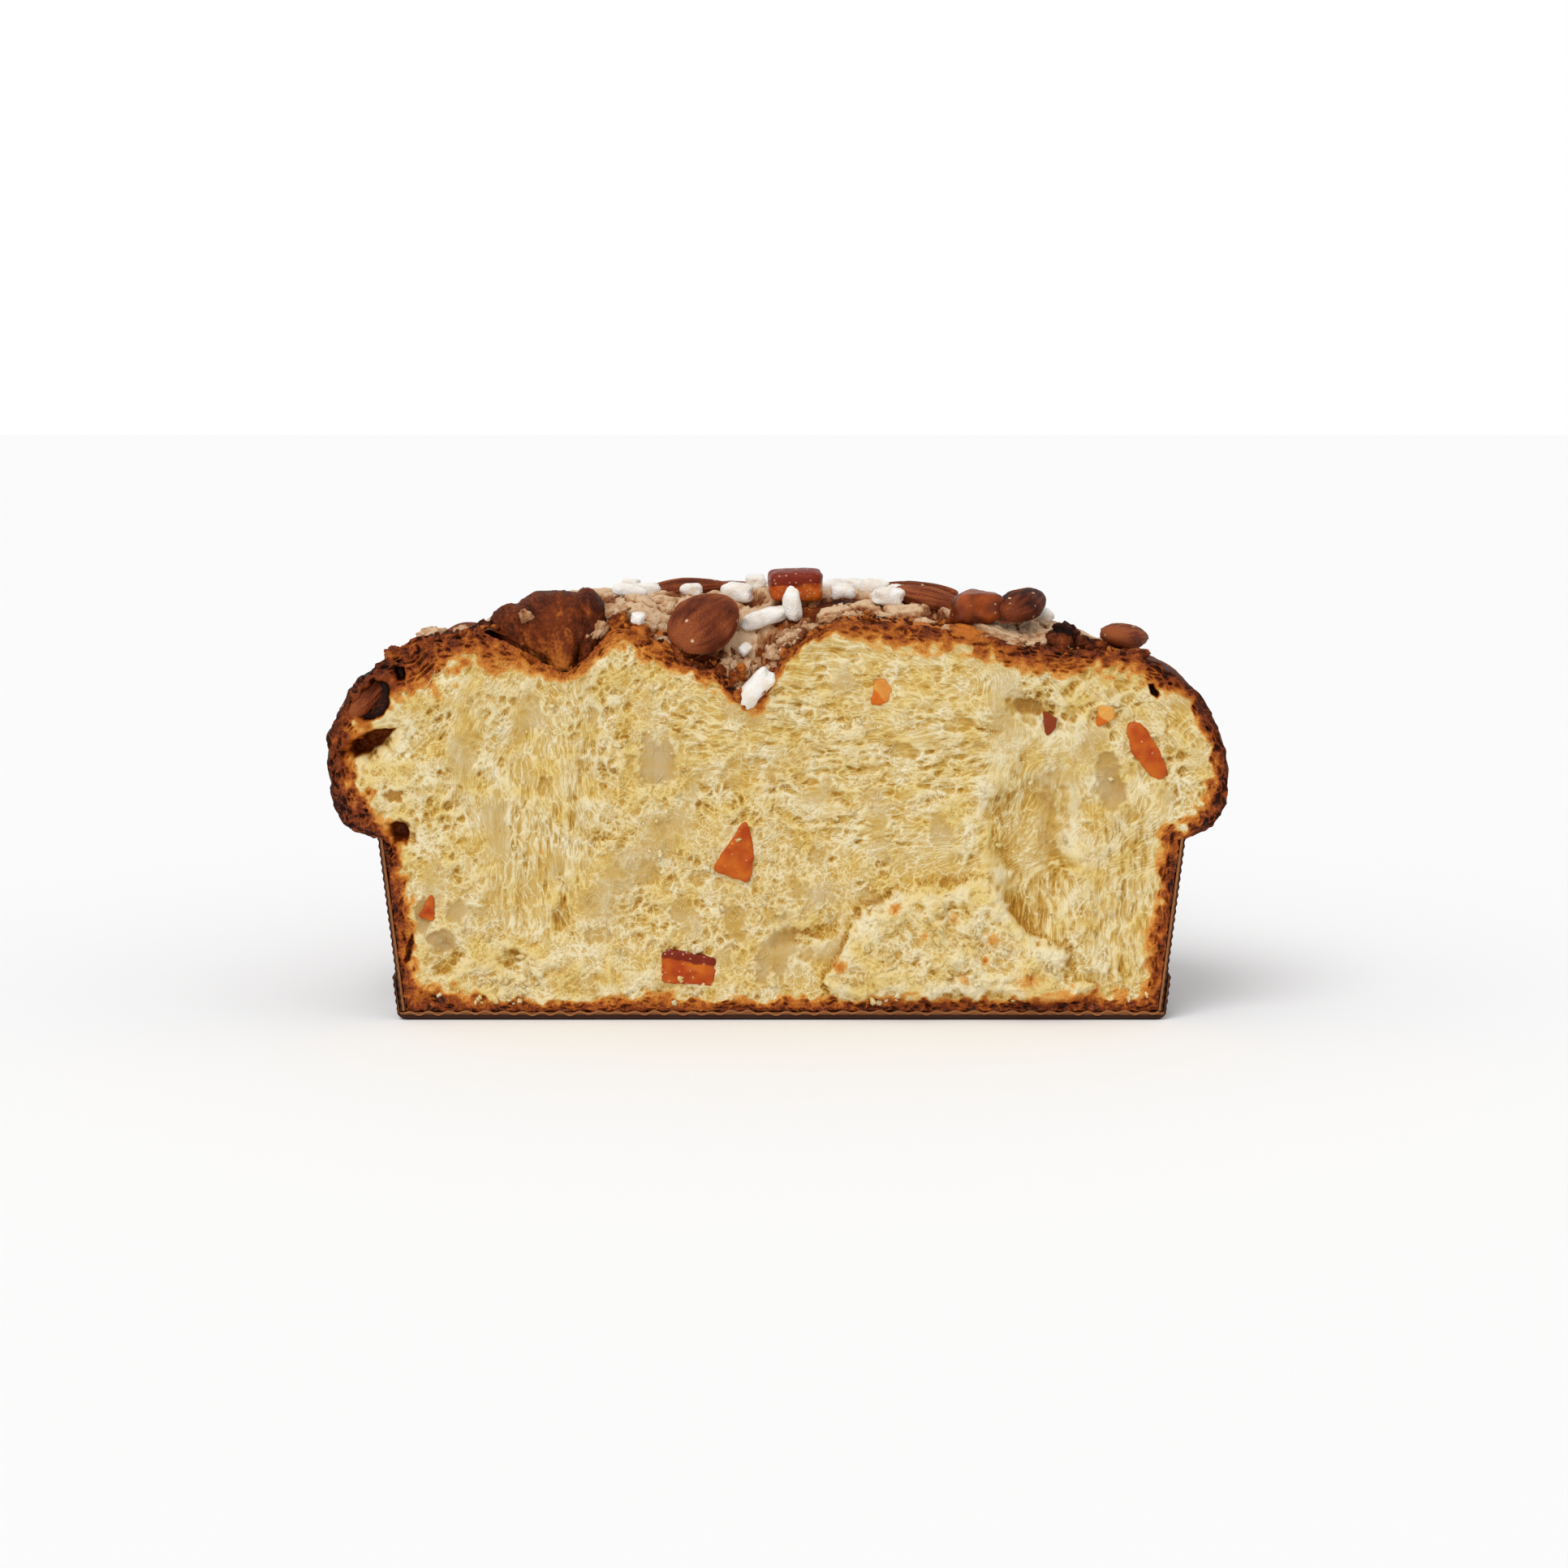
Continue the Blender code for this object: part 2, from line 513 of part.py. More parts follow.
def slice_mesh(corners, front, depth, grow):
    """A flat piece with the given corners in the XZ plane, reaching back from its front.

    Growing it moves every side outwards by that much.
    """
    outline = np.array(corners) * MM
    ahead = np.roll(outline, -1, axis=0) - outline
    sides = np.stack([-ahead[:, 1], ahead[:, 0]], axis=1)
    sides /= np.linalg.norm(sides, axis=1, keepdims=True)
    before = np.roll(sides, 1, axis=0)
    turn = 1 + (before * sides).sum(axis=1, keepdims=True)
    outline = outline + grow * (before + sides) / turn
    shape = bmesh.new()
    near = [shape.verts.new((x, front - grow, z)) for x, z in outline]
    far = [shape.verts.new((x, front + depth + grow, z)) for x, z in outline]
    shape.faces.new(near)
    shape.faces.new(far[::-1])
    for k, corner in enumerate(near):
        following = (k + 1) % len(near)
        shape.faces.new([near[following], corner, far[k], far[following]])
    shape.normal_update()
    bmesh.ops.recalc_face_normals(shape, faces=shape.faces)
    return shape


def placed(shape, name, matrix, material, collection):
    """Turns a bmesh into a named object whose location and rotation are the matrix."""
    mesh = bpy.data.meshes.new(name)
    shape.to_mesh(mesh)
    shape.free()
    if material:
        mesh.materials.append(material)
    obj = bpy.data.objects.new(name, mesh)
    obj.matrix_world = matrix
    collection.objects.link(obj)
    return obj


def build_almonds(material, burnt, shoulder, pieces, cutters):
    """Each almond as an object, and a slightly larger copy that makes room for it."""
    for name, x, y, heading, roll, length, width, thickness, sunk in ALMONDS:
        size = [length * MM, width * MM, thickness * MM]
        lift = GAP + ICING_THICKNESS + (thickness / 2 - sunk) * MM
        place = resting_frame(x * MM, y * MM, heading, lift, shoulder)
        place = place @ Matrix.Rotation(math.radians(roll), 4, "X")
        placed(almond_mesh(*size, 0), name, place, material, pieces)
        placed(almond_mesh(*size, GAP), name + "_room", place, None, cutters)
    name, centre, size, (heading, lean) = BURNT_ALMOND
    size = [side * MM for side in size]
    place = (
        Matrix.Translation([side * MM for side in centre])
        @ Matrix.Rotation(math.radians(-lean), 4, "Y")
        @ Matrix.Rotation(math.radians(heading), 4, "Z")
    )
    placed(almond_mesh(*size, 0), name, place, burnt, pieces)
    placed(almond_mesh(*size, GAP), name + "_room", place, None, cutters)


def build_candied_toppings(material, shoulder, pieces, cutters):
    """Diced peel resting on the icing."""
    for seed, (name, x, y, heading, length, width, thickness, sunk) in enumerate(
        CANDIED_TOPPINGS
    ):
        size = [length * MM, width * MM, thickness * MM]
        lift = GAP + ICING_THICKNESS + (thickness / 2 - sunk) * MM
        place = resting_frame(x * MM, y * MM, heading, lift, shoulder, PEEL_LEVELLED)
        placed(peel_mesh(*size, 0, seed), name, place, material, pieces)
        placed(peel_mesh(*size, GAP, seed), name + "_room", place, None, cutters)


def build_candied_in_face(material, pieces, cutters):
    """Peel that the cut laid open, each standing a little proud of the crumb around it."""
    for name, depth, corners in CANDIED_IN_FACE:
        middle = np.mean(corners, axis=0) * MM
        relief = float(face_relief(middle[:1], middle[1:])[0])
        front = relief - FACE_PIECE_PROUD
        shape = slice_mesh(corners, front, depth * MM, 0)
        bmesh.ops.bevel(
            shape, geom=shape.edges, offset=FACE_PIECE_BEVEL,
            segments=1, affect="EDGES", profile=0.5,
        )
        placed(shape, name, Matrix(), material, pieces)
        room = slice_mesh(corners, front, depth * MM, GAP)
        placed(room, name + "_room", Matrix(), None, cutters)


def icing_cover(x, y, shoulder):
    """Positive where the glaze covers the crown: ragged at the shoulder, broken by bare spots."""
    inward = distance_to(shoulder, x, y)
    cover = inward - ICING_INSET + ICING_RAGGED * lumps(x, y, 11 * MM, 41)
    cover = np.minimum(cover, ICING_HOLD + ICING_BREAKS * lumps(x, y, 15 * MM, 43))
    for middle_x, middle_y, half_x, half_y in BARE_SPOTS:
        bare = np.hypot((x / MM - middle_x) / half_x, (y / MM - middle_y) / half_y) - 1
        cover = np.minimum(cover, bare * BARE_SPOT_EDGE)
    left = np.maximum(x - BARE_LEFT_WING[0], y - BARE_LEFT_WING[1])
    right = np.maximum(BARE_RIGHT_WING[0] - x, y - BARE_RIGHT_WING[1])
    return np.minimum(cover, np.minimum(left, right))


def whole_patch(points, triangles):
    """Keeps the largest patch of triangles, without spots where it meets itself at one point."""
    shape = bmesh.new()
    verts = [shape.verts.new(p) for p in points]
    for corners in triangles:
        shape.faces.new([verts[corner] for corner in corners])
    pinched = True
    while pinched:
        pinched = [
            vert for vert in shape.verts
            if sum(len(edge.link_faces) == 1 for edge in vert.link_edges) > 2
        ]
        crowded = {face for vert in pinched for face in vert.link_faces}
        bmesh.ops.delete(shape, geom=list(crowded), context="FACES")
    drop_all_but_largest(shape)
    return shape


def drop_all_but_largest(shape):
    """Removes every loose piece of a bmesh apart from the one with the most faces."""
    left, patches = set(shape.faces), []
    while left:
        patch, edge_of = set(), [left.pop()]
        while edge_of:
            face = edge_of.pop()
            patch.add(face)
            for edge in face.edges:
                for other in edge.link_faces:
                    if other in left:
                        left.discard(other)
                        edge_of.append(other)
        patches.append(patch)
    patches.sort(key=len, reverse=True)
    scraps = [face for patch in patches[1:] for face in patch]
    bmesh.ops.delete(shape, geom=scraps, context="FACES")
    loose = [vert for vert in shape.verts if not vert.link_faces]
    bmesh.ops.delete(shape, geom=loose, context="VERTS")


def build_icing(crown_mesh, crown_faces, shoulder, material, collection):
    """The glaze: the covered triangles of the crown, lifted off it and given a thickness."""
    centres = np.array([crown_mesh[face].mean(axis=0) for face in crown_faces])
    covered = icing_cover(centres[:, 0], centres[:, 1], shoulder) > 0
    kept = [face for face, keep in zip(crown_faces, covered) if keep]
    shape = whole_patch(crown_mesh, kept)
    bmesh.ops.recalc_face_normals(shape, faces=shape.faces)
    if sum(face.normal.z for face in shape.faces) < 0:
        bmesh.ops.reverse_faces(shape, faces=shape.faces)
    shape.normal_update()
    shape.verts.index_update()
    lower, upper = [], []
    for vert in shape.verts:
        out = vert.normal.copy()
        if vert.co.y < 0.01 * MM:
            out.y = 0
        out.normalize()
        uneven = float(lumps(vert.co.x, vert.co.y, 5 * MM, 47))
        edge = ICING_THIN_EDGE if vert.is_boundary and vert.co.y > 0.01 * MM else 1
        thick = ICING_THICKNESS * edge * (1 + ICING_UNEVEN * uneven)
        lower.append(vert.co + out * GAP)
        upper.append(vert.co + out * (GAP + thick))
    count = len(lower)
    faces = []
    for face in shape.faces:
        corners = [vert.index for vert in face.verts]
        faces.append([count + corner for corner in corners])
        faces.append(corners[::-1])
    for edge in shape.edges:
        if edge.is_boundary:
            a, b = (vert.index for vert in edge.verts)
            faces.append([a, b, count + b, count + a])
    shape.free()
    return mesh_object("icing", lower + upper, faces, material, collection)


def topping_footprints():
    """Where almonds and peel lie on the crown, as (x, y, radius)."""
    almonds = [(x, y, length / 2) for _, x, y, _, _, length, *_ in ALMONDS]
    peel = [(x, y, length * 0.62) for _, x, y, _, length, *_ in CANDIED_TOPPINGS]
    return np.array(almonds + peel) * MM


def grain_places(shoulder):
    """Where pearl sugar lies: the grains placed by eye, then a seeded draw clear of the rest."""
    grains = [tuple(grain) for grain in FRONT_GRAINS]
    taken = topping_footprints()
    draw = np.random.RandomState(GRAIN_SEED)
    while len(grains) < len(FRONT_GRAINS) + DRAWN_GRAINS:
        x, y = (draw.uniform(*side) for side in DRAWN_GRAIN_AREA)
        heading = draw.uniform(0, 180)
        length, width = draw.uniform(*DRAWN_GRAIN_LENGTH), draw.uniform(*DRAWN_GRAIN_WIDTH)
        spot = np.array([x, y]) * MM
        room = np.hypot(*(taken[:, :2] - spot).T) - taken[:, 2]
        apart = np.hypot(*(np.array(grains)[:, :2] * MM - spot).T)
        covered = icing_cover(spot[:1], spot[1:], shoulder)[0] > GRAIN_INSET
        in_plan = inside(shoulder[:, :2], spot[:1], spot[1:])[0]
        clear = room.min() > GRAIN_CLEARANCE and apart.min() > GRAIN_SPACING
        if in_plan and covered and clear:
            grains.append((x, y, heading, length, width))
    return grains


def grain_mesh(length, width, seed):
    """A pearl-sugar nugget: a coarse sphere, drawn out and uneven, of thirty triangles."""
    shape = bmesh.new()
    bmesh.ops.create_uvsphere(shape, u_segments=5, v_segments=4, radius=1)
    draw = np.random.RandomState(seed)
    for vert in shape.verts:
        across, up, ahead = np.sign(vert.co) * np.abs(vert.co) ** 0.75
        uneven = 1 + draw.uniform(-0.1, 0.1)
        vert.co = (
            ahead * length / 2 * uneven,
            across * width / 2 * uneven,
            up * width / 2 * 0.9 * uneven,
        )
    return shape


def settle(obj):
    """Replaces an object's mesh by what its modifiers make of it, and clears them."""
    graph = bpy.context.evaluated_depsgraph_get()
    mesh = bpy.data.meshes.new_from_object(obj.evaluated_get(graph))
    shape = bmesh.new()
    shape.from_mesh(mesh)
    drop_all_but_largest(shape)
    shape.to_mesh(mesh)
    shape.free()
    obj.modifiers.clear()
    obj.data = mesh


def combine(obj, collection, operation):
    """Joins or cuts an object by every object of a collection, and applies it."""
    boolean = obj.modifiers.new(operation.title(), "BOOLEAN")
    boolean.operation = operation
    boolean.operand_type = "COLLECTION"
    boolean.collection = collection
    boolean.solver = "EXACT"
    settle(obj)


def fuse_grains(icing, material, shoulder, grain_rooms):
    """Joins the pearl sugar to the icing with one union, and removes the loose grains."""
    loose = bpy.data.collections.new("loose_grains")
    bpy.context.scene.collection.children.link(loose)
    for seed, (x, y, heading, length, width) in enumerate(grain_places(shoulder)):
        lift = GAP + ICING_THICKNESS * (1 - GRAIN_SINKS) + width * MM * 0.45
        place = resting_frame(x * MM, y * MM, heading, lift, shoulder)
        placed(grain_mesh(length * MM, width * MM, seed), f"grain_{seed}", place, material, loose)
    centre, slope, length, width = CREASE_GRAIN
    place = Matrix.Translation([side * MM for side in centre]) @ Matrix.Rotation(
        math.radians(-slope), 4, "Y"
    )
    placed(grain_mesh(length * MM, width * MM, 99), "grain_crease", place, material, loose)
    room = grain_mesh(length * MM + 2.6 * GAP, width * MM + 2.6 * GAP, 99)
    placed(room, "grain_room", place, None, grain_rooms)
    combine(icing, loose, "UNION")
    for grain in list(loose.objects):
        bpy.data.objects.remove(grain)
    bpy.data.collections.remove(loose)


def build_case_wall(material, collection):
    """The strip of corrugated paper that stands round the loaf and opens at the cut."""
    rings = [round_case(wall_outside(z), z) for z in (TRAY_THICKNESS + GAP, WALL_TOP_Z)]
    wall = mesh_object(
        "case_wall", np.vstack(rings), ring_band(rings), material, collection, closed=False
    )
    paper = wall.modifiers.new("Paper thickness", "SOLIDIFY")
    paper.thickness = WALL_THICKNESS
    paper.offset = -1
    paper.use_even_offset = True


def build_case_tray(material, collection):
    """The bottom of the case with its low upturned rim, which laps the wall's foot."""
    lap = GAP + TRAY_RIM_THICKNESS
    outer = [round_case(wall_outside(z) + lap, z) for z in (0, TRAY_RIM_HEIGHT)]
    inner = [
        round_case(wall_outside(z) + GAP, z) for z in (TRAY_RIM_HEIGHT, TRAY_THICKNESS)
    ]
    rings = [outer[0], outer[1], inner[0], inner[1]]
    points = np.vstack(rings)
    count = len(RIM)
    faces = ring_band(rings)
    faces.append(list(range(count)))
    faces.append(list(range(3 * count, 4 * count)))
    right = [row * count for row in range(4)]
    left = [row * count + count - 1 for row in range(4)]
    faces.append(right + left[::-1])
    return mesh_object("case_tray", points, faces, material, collection)


def finish(name, colour, roughness):
    """A plain Principled material with a linear colour and a roughness."""
    material = bpy.data.materials.new(name)
    material.use_nodes = True
    shader = material.node_tree.nodes["Principled BSDF"]
    shader.inputs["Base Color"].default_value = (*colour, 1)
    shader.inputs["Roughness"].default_value = roughness
    shader.inputs["Metallic"].default_value = 0
    return material


def new_collection(name):
    """A collection linked to the scene."""
    collection = bpy.data.collections.new(name)
    bpy.context.scene.collection.children.link(collection)
    return collection


def main():
    """Builds every piece, makes room where one sinks into another, and places the whole."""
    for obj in list(bpy.data.objects):
        bpy.data.objects.remove(obj, do_unlink=True)
    pieces, cutters = new_collection("colomba_half"), new_collection("rooms")
    grain_rooms = new_collection("grain_rooms")

    crumb = finish("crumb_and_crust", (0.55, 0.36, 0.14), 0.85)
    glaze = finish("baked_glaze", (0.52, 0.33, 0.18), 0.8)
    nut = finish("almond_skin", (0.19, 0.055, 0.022), 0.6)
    burnt = finish("almond_skin_burnt", (0.07, 0.022, 0.01), 0.5)
    peel = finish("candied_peel", (0.5, 0.1, 0.015), 0.25)
    paper = finish("case_paper", (0.06, 0.03, 0.018), 0.75)

    loaf, crown_mesh, crown_faces, shoulder = build_loaf(crumb, pieces)
    icing = build_icing(crown_mesh, crown_faces, shoulder, glaze, pieces)
    fuse_grains(icing, glaze, shoulder, grain_rooms)
    build_almonds(nut, burnt, shoulder, pieces, cutters)
    build_candied_toppings(peel, shoulder, pieces, cutters)
    build_candied_in_face(peel, pieces, cutters)
    bpy.context.view_layer.update()
    combine(loaf, cutters, "DIFFERENCE")
    combine(icing, cutters, "DIFFERENCE")
    combine(loaf, grain_rooms, "DIFFERENCE")
    for rooms in (cutters, grain_rooms):
        for room in list(rooms.objects):
            bpy.data.objects.remove(room)
        bpy.data.collections.remove(rooms)
    build_case_wall(paper, pieces)
    build_case_tray(paper, pieces)

    place = bpy.data.objects.new("middle_of_base", None)
    place.location = (0, CUT_FACE_Y, 0)
    pieces.objects.link(place)
    for obj in pieces.objects:
        if obj is not place:
            obj.parent = place


main()
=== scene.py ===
"""Looks of half a dove-shaped Easter bread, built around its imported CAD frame.

Shape functions work in millimetres, with y counted from the cut face; add_piece turns points
into metres and moves them to the frame's origin. Fields over a surface are whole arrays.
"""

from __future__ import annotations

import logging
import math
from dataclasses import dataclass
from enum import Enum
from typing import Any, Sequence

import bpy
import numpy as np
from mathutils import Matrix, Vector

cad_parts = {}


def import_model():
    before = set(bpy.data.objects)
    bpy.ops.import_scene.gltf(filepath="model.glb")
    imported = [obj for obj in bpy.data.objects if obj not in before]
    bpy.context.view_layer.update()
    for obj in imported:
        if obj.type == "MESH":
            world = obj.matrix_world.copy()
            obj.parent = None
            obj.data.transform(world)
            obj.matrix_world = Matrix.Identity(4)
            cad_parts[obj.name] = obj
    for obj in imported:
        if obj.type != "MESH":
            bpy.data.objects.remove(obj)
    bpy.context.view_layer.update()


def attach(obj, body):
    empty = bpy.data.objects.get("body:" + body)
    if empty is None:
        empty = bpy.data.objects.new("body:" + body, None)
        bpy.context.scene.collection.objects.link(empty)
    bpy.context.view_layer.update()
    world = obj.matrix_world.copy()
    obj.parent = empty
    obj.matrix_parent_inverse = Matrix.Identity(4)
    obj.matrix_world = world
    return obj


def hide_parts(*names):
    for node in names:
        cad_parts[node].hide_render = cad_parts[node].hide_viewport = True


MM = 0.001
# The cut face's place in the frame
CUT_FACE_Y = -78.0
BODY = "root"
FAR = 1e9
# What a lattice corner's column, row and seed count in its sine, and the size of that sine
HASH = (127.1, 311.7, 74.7, 43758.5453)
# Steps between the seeds of layers, of a centre's two places, and to the number of a cell
LAYER_SEED, PLACE_SEED, OWNER_SEED = 0.618, 17, 31
LOG = logging.getLogger("easter_bread")

Array = np.ndarray
Faces = Sequence[np.ndarray]
Material = bpy.types.Material
Socket = bpy.types.NodeSocket
Random = np.random.RandomState


class Slot(str, Enum):
    """Names of the material slots."""

    CRUMB = "crumb_and_crust"
    GLAZE = "baked_glaze"
    ALMOND = "almond_skin"
    PEEL = "candied_peel"
    PAPER = "case_paper"


# ---- fields of noise ----


def smooth_step(low: float, high: float, x: Any) -> Array:
    """0 below low, 1 above high, and the S-curve t * t * (3 - 2t) between."""
    t = np.clip((np.asarray(x, float) - low) / (high - low), 0, 1)
    return t * t * (3 - 2 * t)


def hashed(column: Array, row: Array, seed: float) -> Array:
    """A number from 0 to 1 for each lattice corner: the fraction of a large sine."""
    across, along, apart, size = HASH
    mixed = np.sin(column * across + row * along + seed * apart) * size
    return mixed - np.floor(mixed)


def lumps(x: Any, y: Any, cell: float, seed: float) -> Array:
    """A smooth random field from -1 to 1: hashed corners blended by an S-curve.

    Args:
        x: First coordinate.
        y: Second coordinate.
        cell: Distance between lattice corners.
        seed: Picks the field.

    Returns:
        The field at each point.
    """
    u, v = np.asarray(x, float) / cell, np.asarray(y, float) / cell
    column, row = np.floor(u), np.floor(v)
    across, along = smooth_step(0, 1, u - column), smooth_step(0, 1, v - row)
    low, high = (hashed(column, at, seed) * (1 - across) + hashed(column + 1, at, seed) * across
                 for at in (row, row + 1))
    return 2 * (low * (1 - along) + high * along) - 1


def lumps_in_space(points: Array, cell: float, seed: float) -> Array:
    """A smooth random field from -1 to 1 in space: two plane fields blended between layers."""
    layer = points[..., 2] / cell
    below = np.floor(layer)
    up = smooth_step(0, 1, layer - below)
    low, high = (lumps(points[..., 0], points[..., 1], cell, seed + at * LAYER_SEED)
                 for at in (below, below + 1))
    return low * (1 - up) + high * up


def roughened(values: Any, x: Any, y: Any, *layers: tuple) -> Array:
    """Values plus lumps over x and y, with each layer as (height, cell, seed)."""
    for height, cell, seed in layers:
        values = values + height * lumps(x, y, cell, seed)
    return values


def roughened_in_space(values: Any, points: Array, *layers: tuple) -> Array:
    """Values plus lumps in space, with each layer as (height, cell, seed)."""
    for height, cell, seed in layers:
        values = values + height * lumps_in_space(points, cell, seed)
    return values


def swollen(values: Any, unit: Array, seed: float, shift: float, *layers: tuple) -> Array:
    """Values plus lumps over directions, with each layer as (height, how many, seed step)."""
    for height, times, step in layers:
        values = values + height * lumps_in_space(unit * times + shift, 1.0, seed + step)
    return values


def webs(x: Array, y: Array, cell: float, seed: float, octaves: int = 3) -> Array:
    """Thin ridges from 0 to 1: one minus the size of the lumps, cubed, over some octaves."""
    total, weight = np.zeros(np.shape(x)), 0.0
    for octave in range(octaves):
        share = 0.6**octave
        total += share * (1 - np.abs(lumps(x, y, cell / 2**octave, seed + octave))) ** 3
        weight += share
    return total / weight


def cells(x: Array, y: Array, size: float, seed: float) -> tuple[Array, Array, Array]:
    """Distances to the nearest and second nearest of scattered centres, one in each square.

    Args:
        x: First coordinate.
        y: Second coordinate.
        size: Side of the squares, which is the unit of the distances returned.
        seed: Picks the scatter.

    Returns:
        The nearest distance, the second nearest one, and a number for the nearest centre.
    """
    u, v = x / size, y / size
    column, row = np.floor(u), np.floor(v)
    nearest, second = np.full(u.shape, FAR), np.full(u.shape, FAR)
    owner = np.zeros(u.shape)
    for i in (-1, 0, 1):
        for j in (-1, 0, 1):
            corner = column + i, row + j
            away = np.hypot(corner[0] + hashed(*corner, seed) - u,
                            corner[1] + hashed(*corner, seed + PLACE_SEED) - v)
            closer = away < nearest
            second = np.where(closer, nearest, np.minimum(second, away))
            owner = np.where(closer, hashed(*corner, seed + OWNER_SEED), owner)
            nearest = np.minimum(nearest, away)
    return nearest, second, owner


def blurred(values: Array, reach: int) -> Array:
    """Mean over a square of 2 * reach + 1 cells, taken twice, from running sums."""
    span = 2 * reach + 1
    for axis in (0, 1, 0, 1):
        pads = [(reach + 1, reach) if side == axis else (0, 0) for side in (0, 1)]
        total = np.cumsum(np.pad(values, pads, mode="edge"), axis=axis)
        count = values.shape[axis]
        ahead = np.take(total, np.arange(span, span + count), axis=axis)
        values = (ahead - np.take(total, np.arange(count), axis=axis)) / span
    return values


def spline(points: Any, at: Array) -> Array:
    """Catmull-Rom curve through points, at places counted in points from the first."""
    points = np.asarray(points, float)
    whole = np.vstack([2 * points[0] - points[1], points, 2 * points[-1] - points[-2]])
    start = np.clip(np.floor(at).astype(int), 0, len(points) - 2)
    t = (at - start)[..., None]
    a, b, c, d = (whole[start + shift] for shift in range(4))
    return 0.5 * (
        2 * b + (c - a) * t + (2 * a - 5 * b + 4 * c - d) * t**2 + (3 * b - a - 3 * c + d) * t**3
    )


def distance_to(line: Array, x: Array, y: Array) -> tuple[Array, Array]:
    """Distance to a line of points, and how far along it the nearest place is.

    Args:
        line: Corners of the line, as (n, 2).
        x: First coordinate.
        y: Second coordinate.

    Returns:
        The distance, and the length of line before the nearest place.
    """
    best, place, before = np.full(np.shape(x), FAR), np.zeros(np.shape(x)), 0.0
    for start, end in zip(line[:-1], line[1:]):
        span = end - start
        length = math.hypot(*span)
        t = np.clip(((x - start[0]) * span[0] + (y - start[1]) * span[1]) / length**2, 0, 1)
        away = np.hypot(x - start[0] - t * span[0], y - start[1] - t * span[1])
        closer = away < best
        best = np.where(closer, away, best)
        place = np.where(closer, before + t * length, place)
        before += length
    return best, place


def in_polygon(polygon: Array, x: Array, y: Array) -> Array:
    """Which points lie inside a closed polygon, by counting the edges crossed."""
    odd = np.zeros(np.shape(x), bool)
    for (x0, y0), (x1, y1) in zip(polygon, np.roll(polygon, -1, axis=0)):
        if y0 != y1:
            odd ^= ((y0 > y) != (y1 > y)) & (x < (x1 - x0) * (y - y0) / (y1 - y0) + x0)
    return odd


def cos_sin(degrees: float) -> tuple[float, float]:
    """Cosine and sine of an angle in degrees."""
    return math.cos(math.radians(degrees)), math.sin(math.radians(degrees))


def stretched(x: Array, z: Array, heading: float, stretch: float) -> tuple[Array, Array]:
    """Coordinates along a heading, drawn out by stretch, and across it."""
    c, s = cos_sin(heading)
    return (x * c + z * s) / stretch, z * c - x * s


def oval(x: Array, z: Array, at_x: float, at_z: float, half_x: float, half_z: float,
         tilt: float = 0.0) -> Array:
    """Distance from a tilted oval's middle, 1 on its edge."""
    c, s = cos_sin(tilt)
    along, up = x - at_x, z - at_z
    return np.hypot((along * c + up * s) / half_x, (up * c - along * s) / half_z)


# ---- meshes from arrays ----


def numbered(rows: int, columns: int) -> Array:
    """The numbers of a grid's points, row by row."""
    return np.arange(rows * columns).reshape(rows, columns)


def quads_over(index: Array) -> Array:
    """Quads over a grid of point numbers, facing where its columns' way x its rows' way points."""
    corners = index[:-1, :-1], index[:-1, 1:], index[1:, 1:], index[1:, :-1]
    return np.stack(corners, axis=-1).reshape(-1, 4)


def ring_faces(index: Array, first: int, last: int) -> Faces:
    """Quads between closed rings of point numbers, and a fan to a tip at each end."""
    ahead = np.roll(index, -1, axis=1)
    quads = np.stack([index[:-1], index[1:], ahead[1:], ahead[:-1]], axis=-1).reshape(-1, 4)
    near = np.stack([np.full(index.shape[1], first), index[0], ahead[0]], axis=1)
    far = np.stack([ahead[-1], index[-1], np.full(index.shape[1], last)], axis=1)
    return [quads, near, far]


def grid_normals(points: Array) -> Array:
    """Unit normals of a grid of points, the cross product of its two directions."""
    along_rows, along_columns = np.gradient(points, axis=0), np.gradient(points, axis=1)
    normals = np.cross(along_columns, along_rows)
    return normals / np.maximum(np.linalg.norm(normals, axis=-1, keepdims=True), 1e-9)


def closed_patch(front: Array, back: Array, middle: Array) -> tuple[Array, Faces]:
    """A closed body from a grid, its border carried back, and a fan to a middle point.

    Args:
        front: The grid, as (rows, columns, 3), seen from the side it faces.
        back: The border's points carried back, in the order of border_of.
        middle: The point that the back's fan meets in.

    Returns:
        The points and the faces.
    """
    rows, columns = front.shape[:2]
    rim = border_of(rows, columns)
    count, around = rows * columns, len(rim)
    behind = count + np.arange(around)
    following = np.roll(rim, -1), np.roll(behind, -1)
    walls = np.stack([following[0], rim, behind, following[1]], axis=1)
    fan = np.stack([following[1], behind, np.full(around, count + around)], axis=1)
    points = np.vstack([front.reshape(-1, 3), back, middle[None]])
    return points, [quads_over(numbered(rows, columns)), walls, fan]


def border_of(rows: int, columns: int) -> Array:
    """Indices of a grid's border points, in the turning sense of its faces."""
    index = numbered(rows, columns)
    return np.concatenate([index[0, :-1], index[:-1, -1], index[-1, :0:-1], index[:0:-1, 0]])


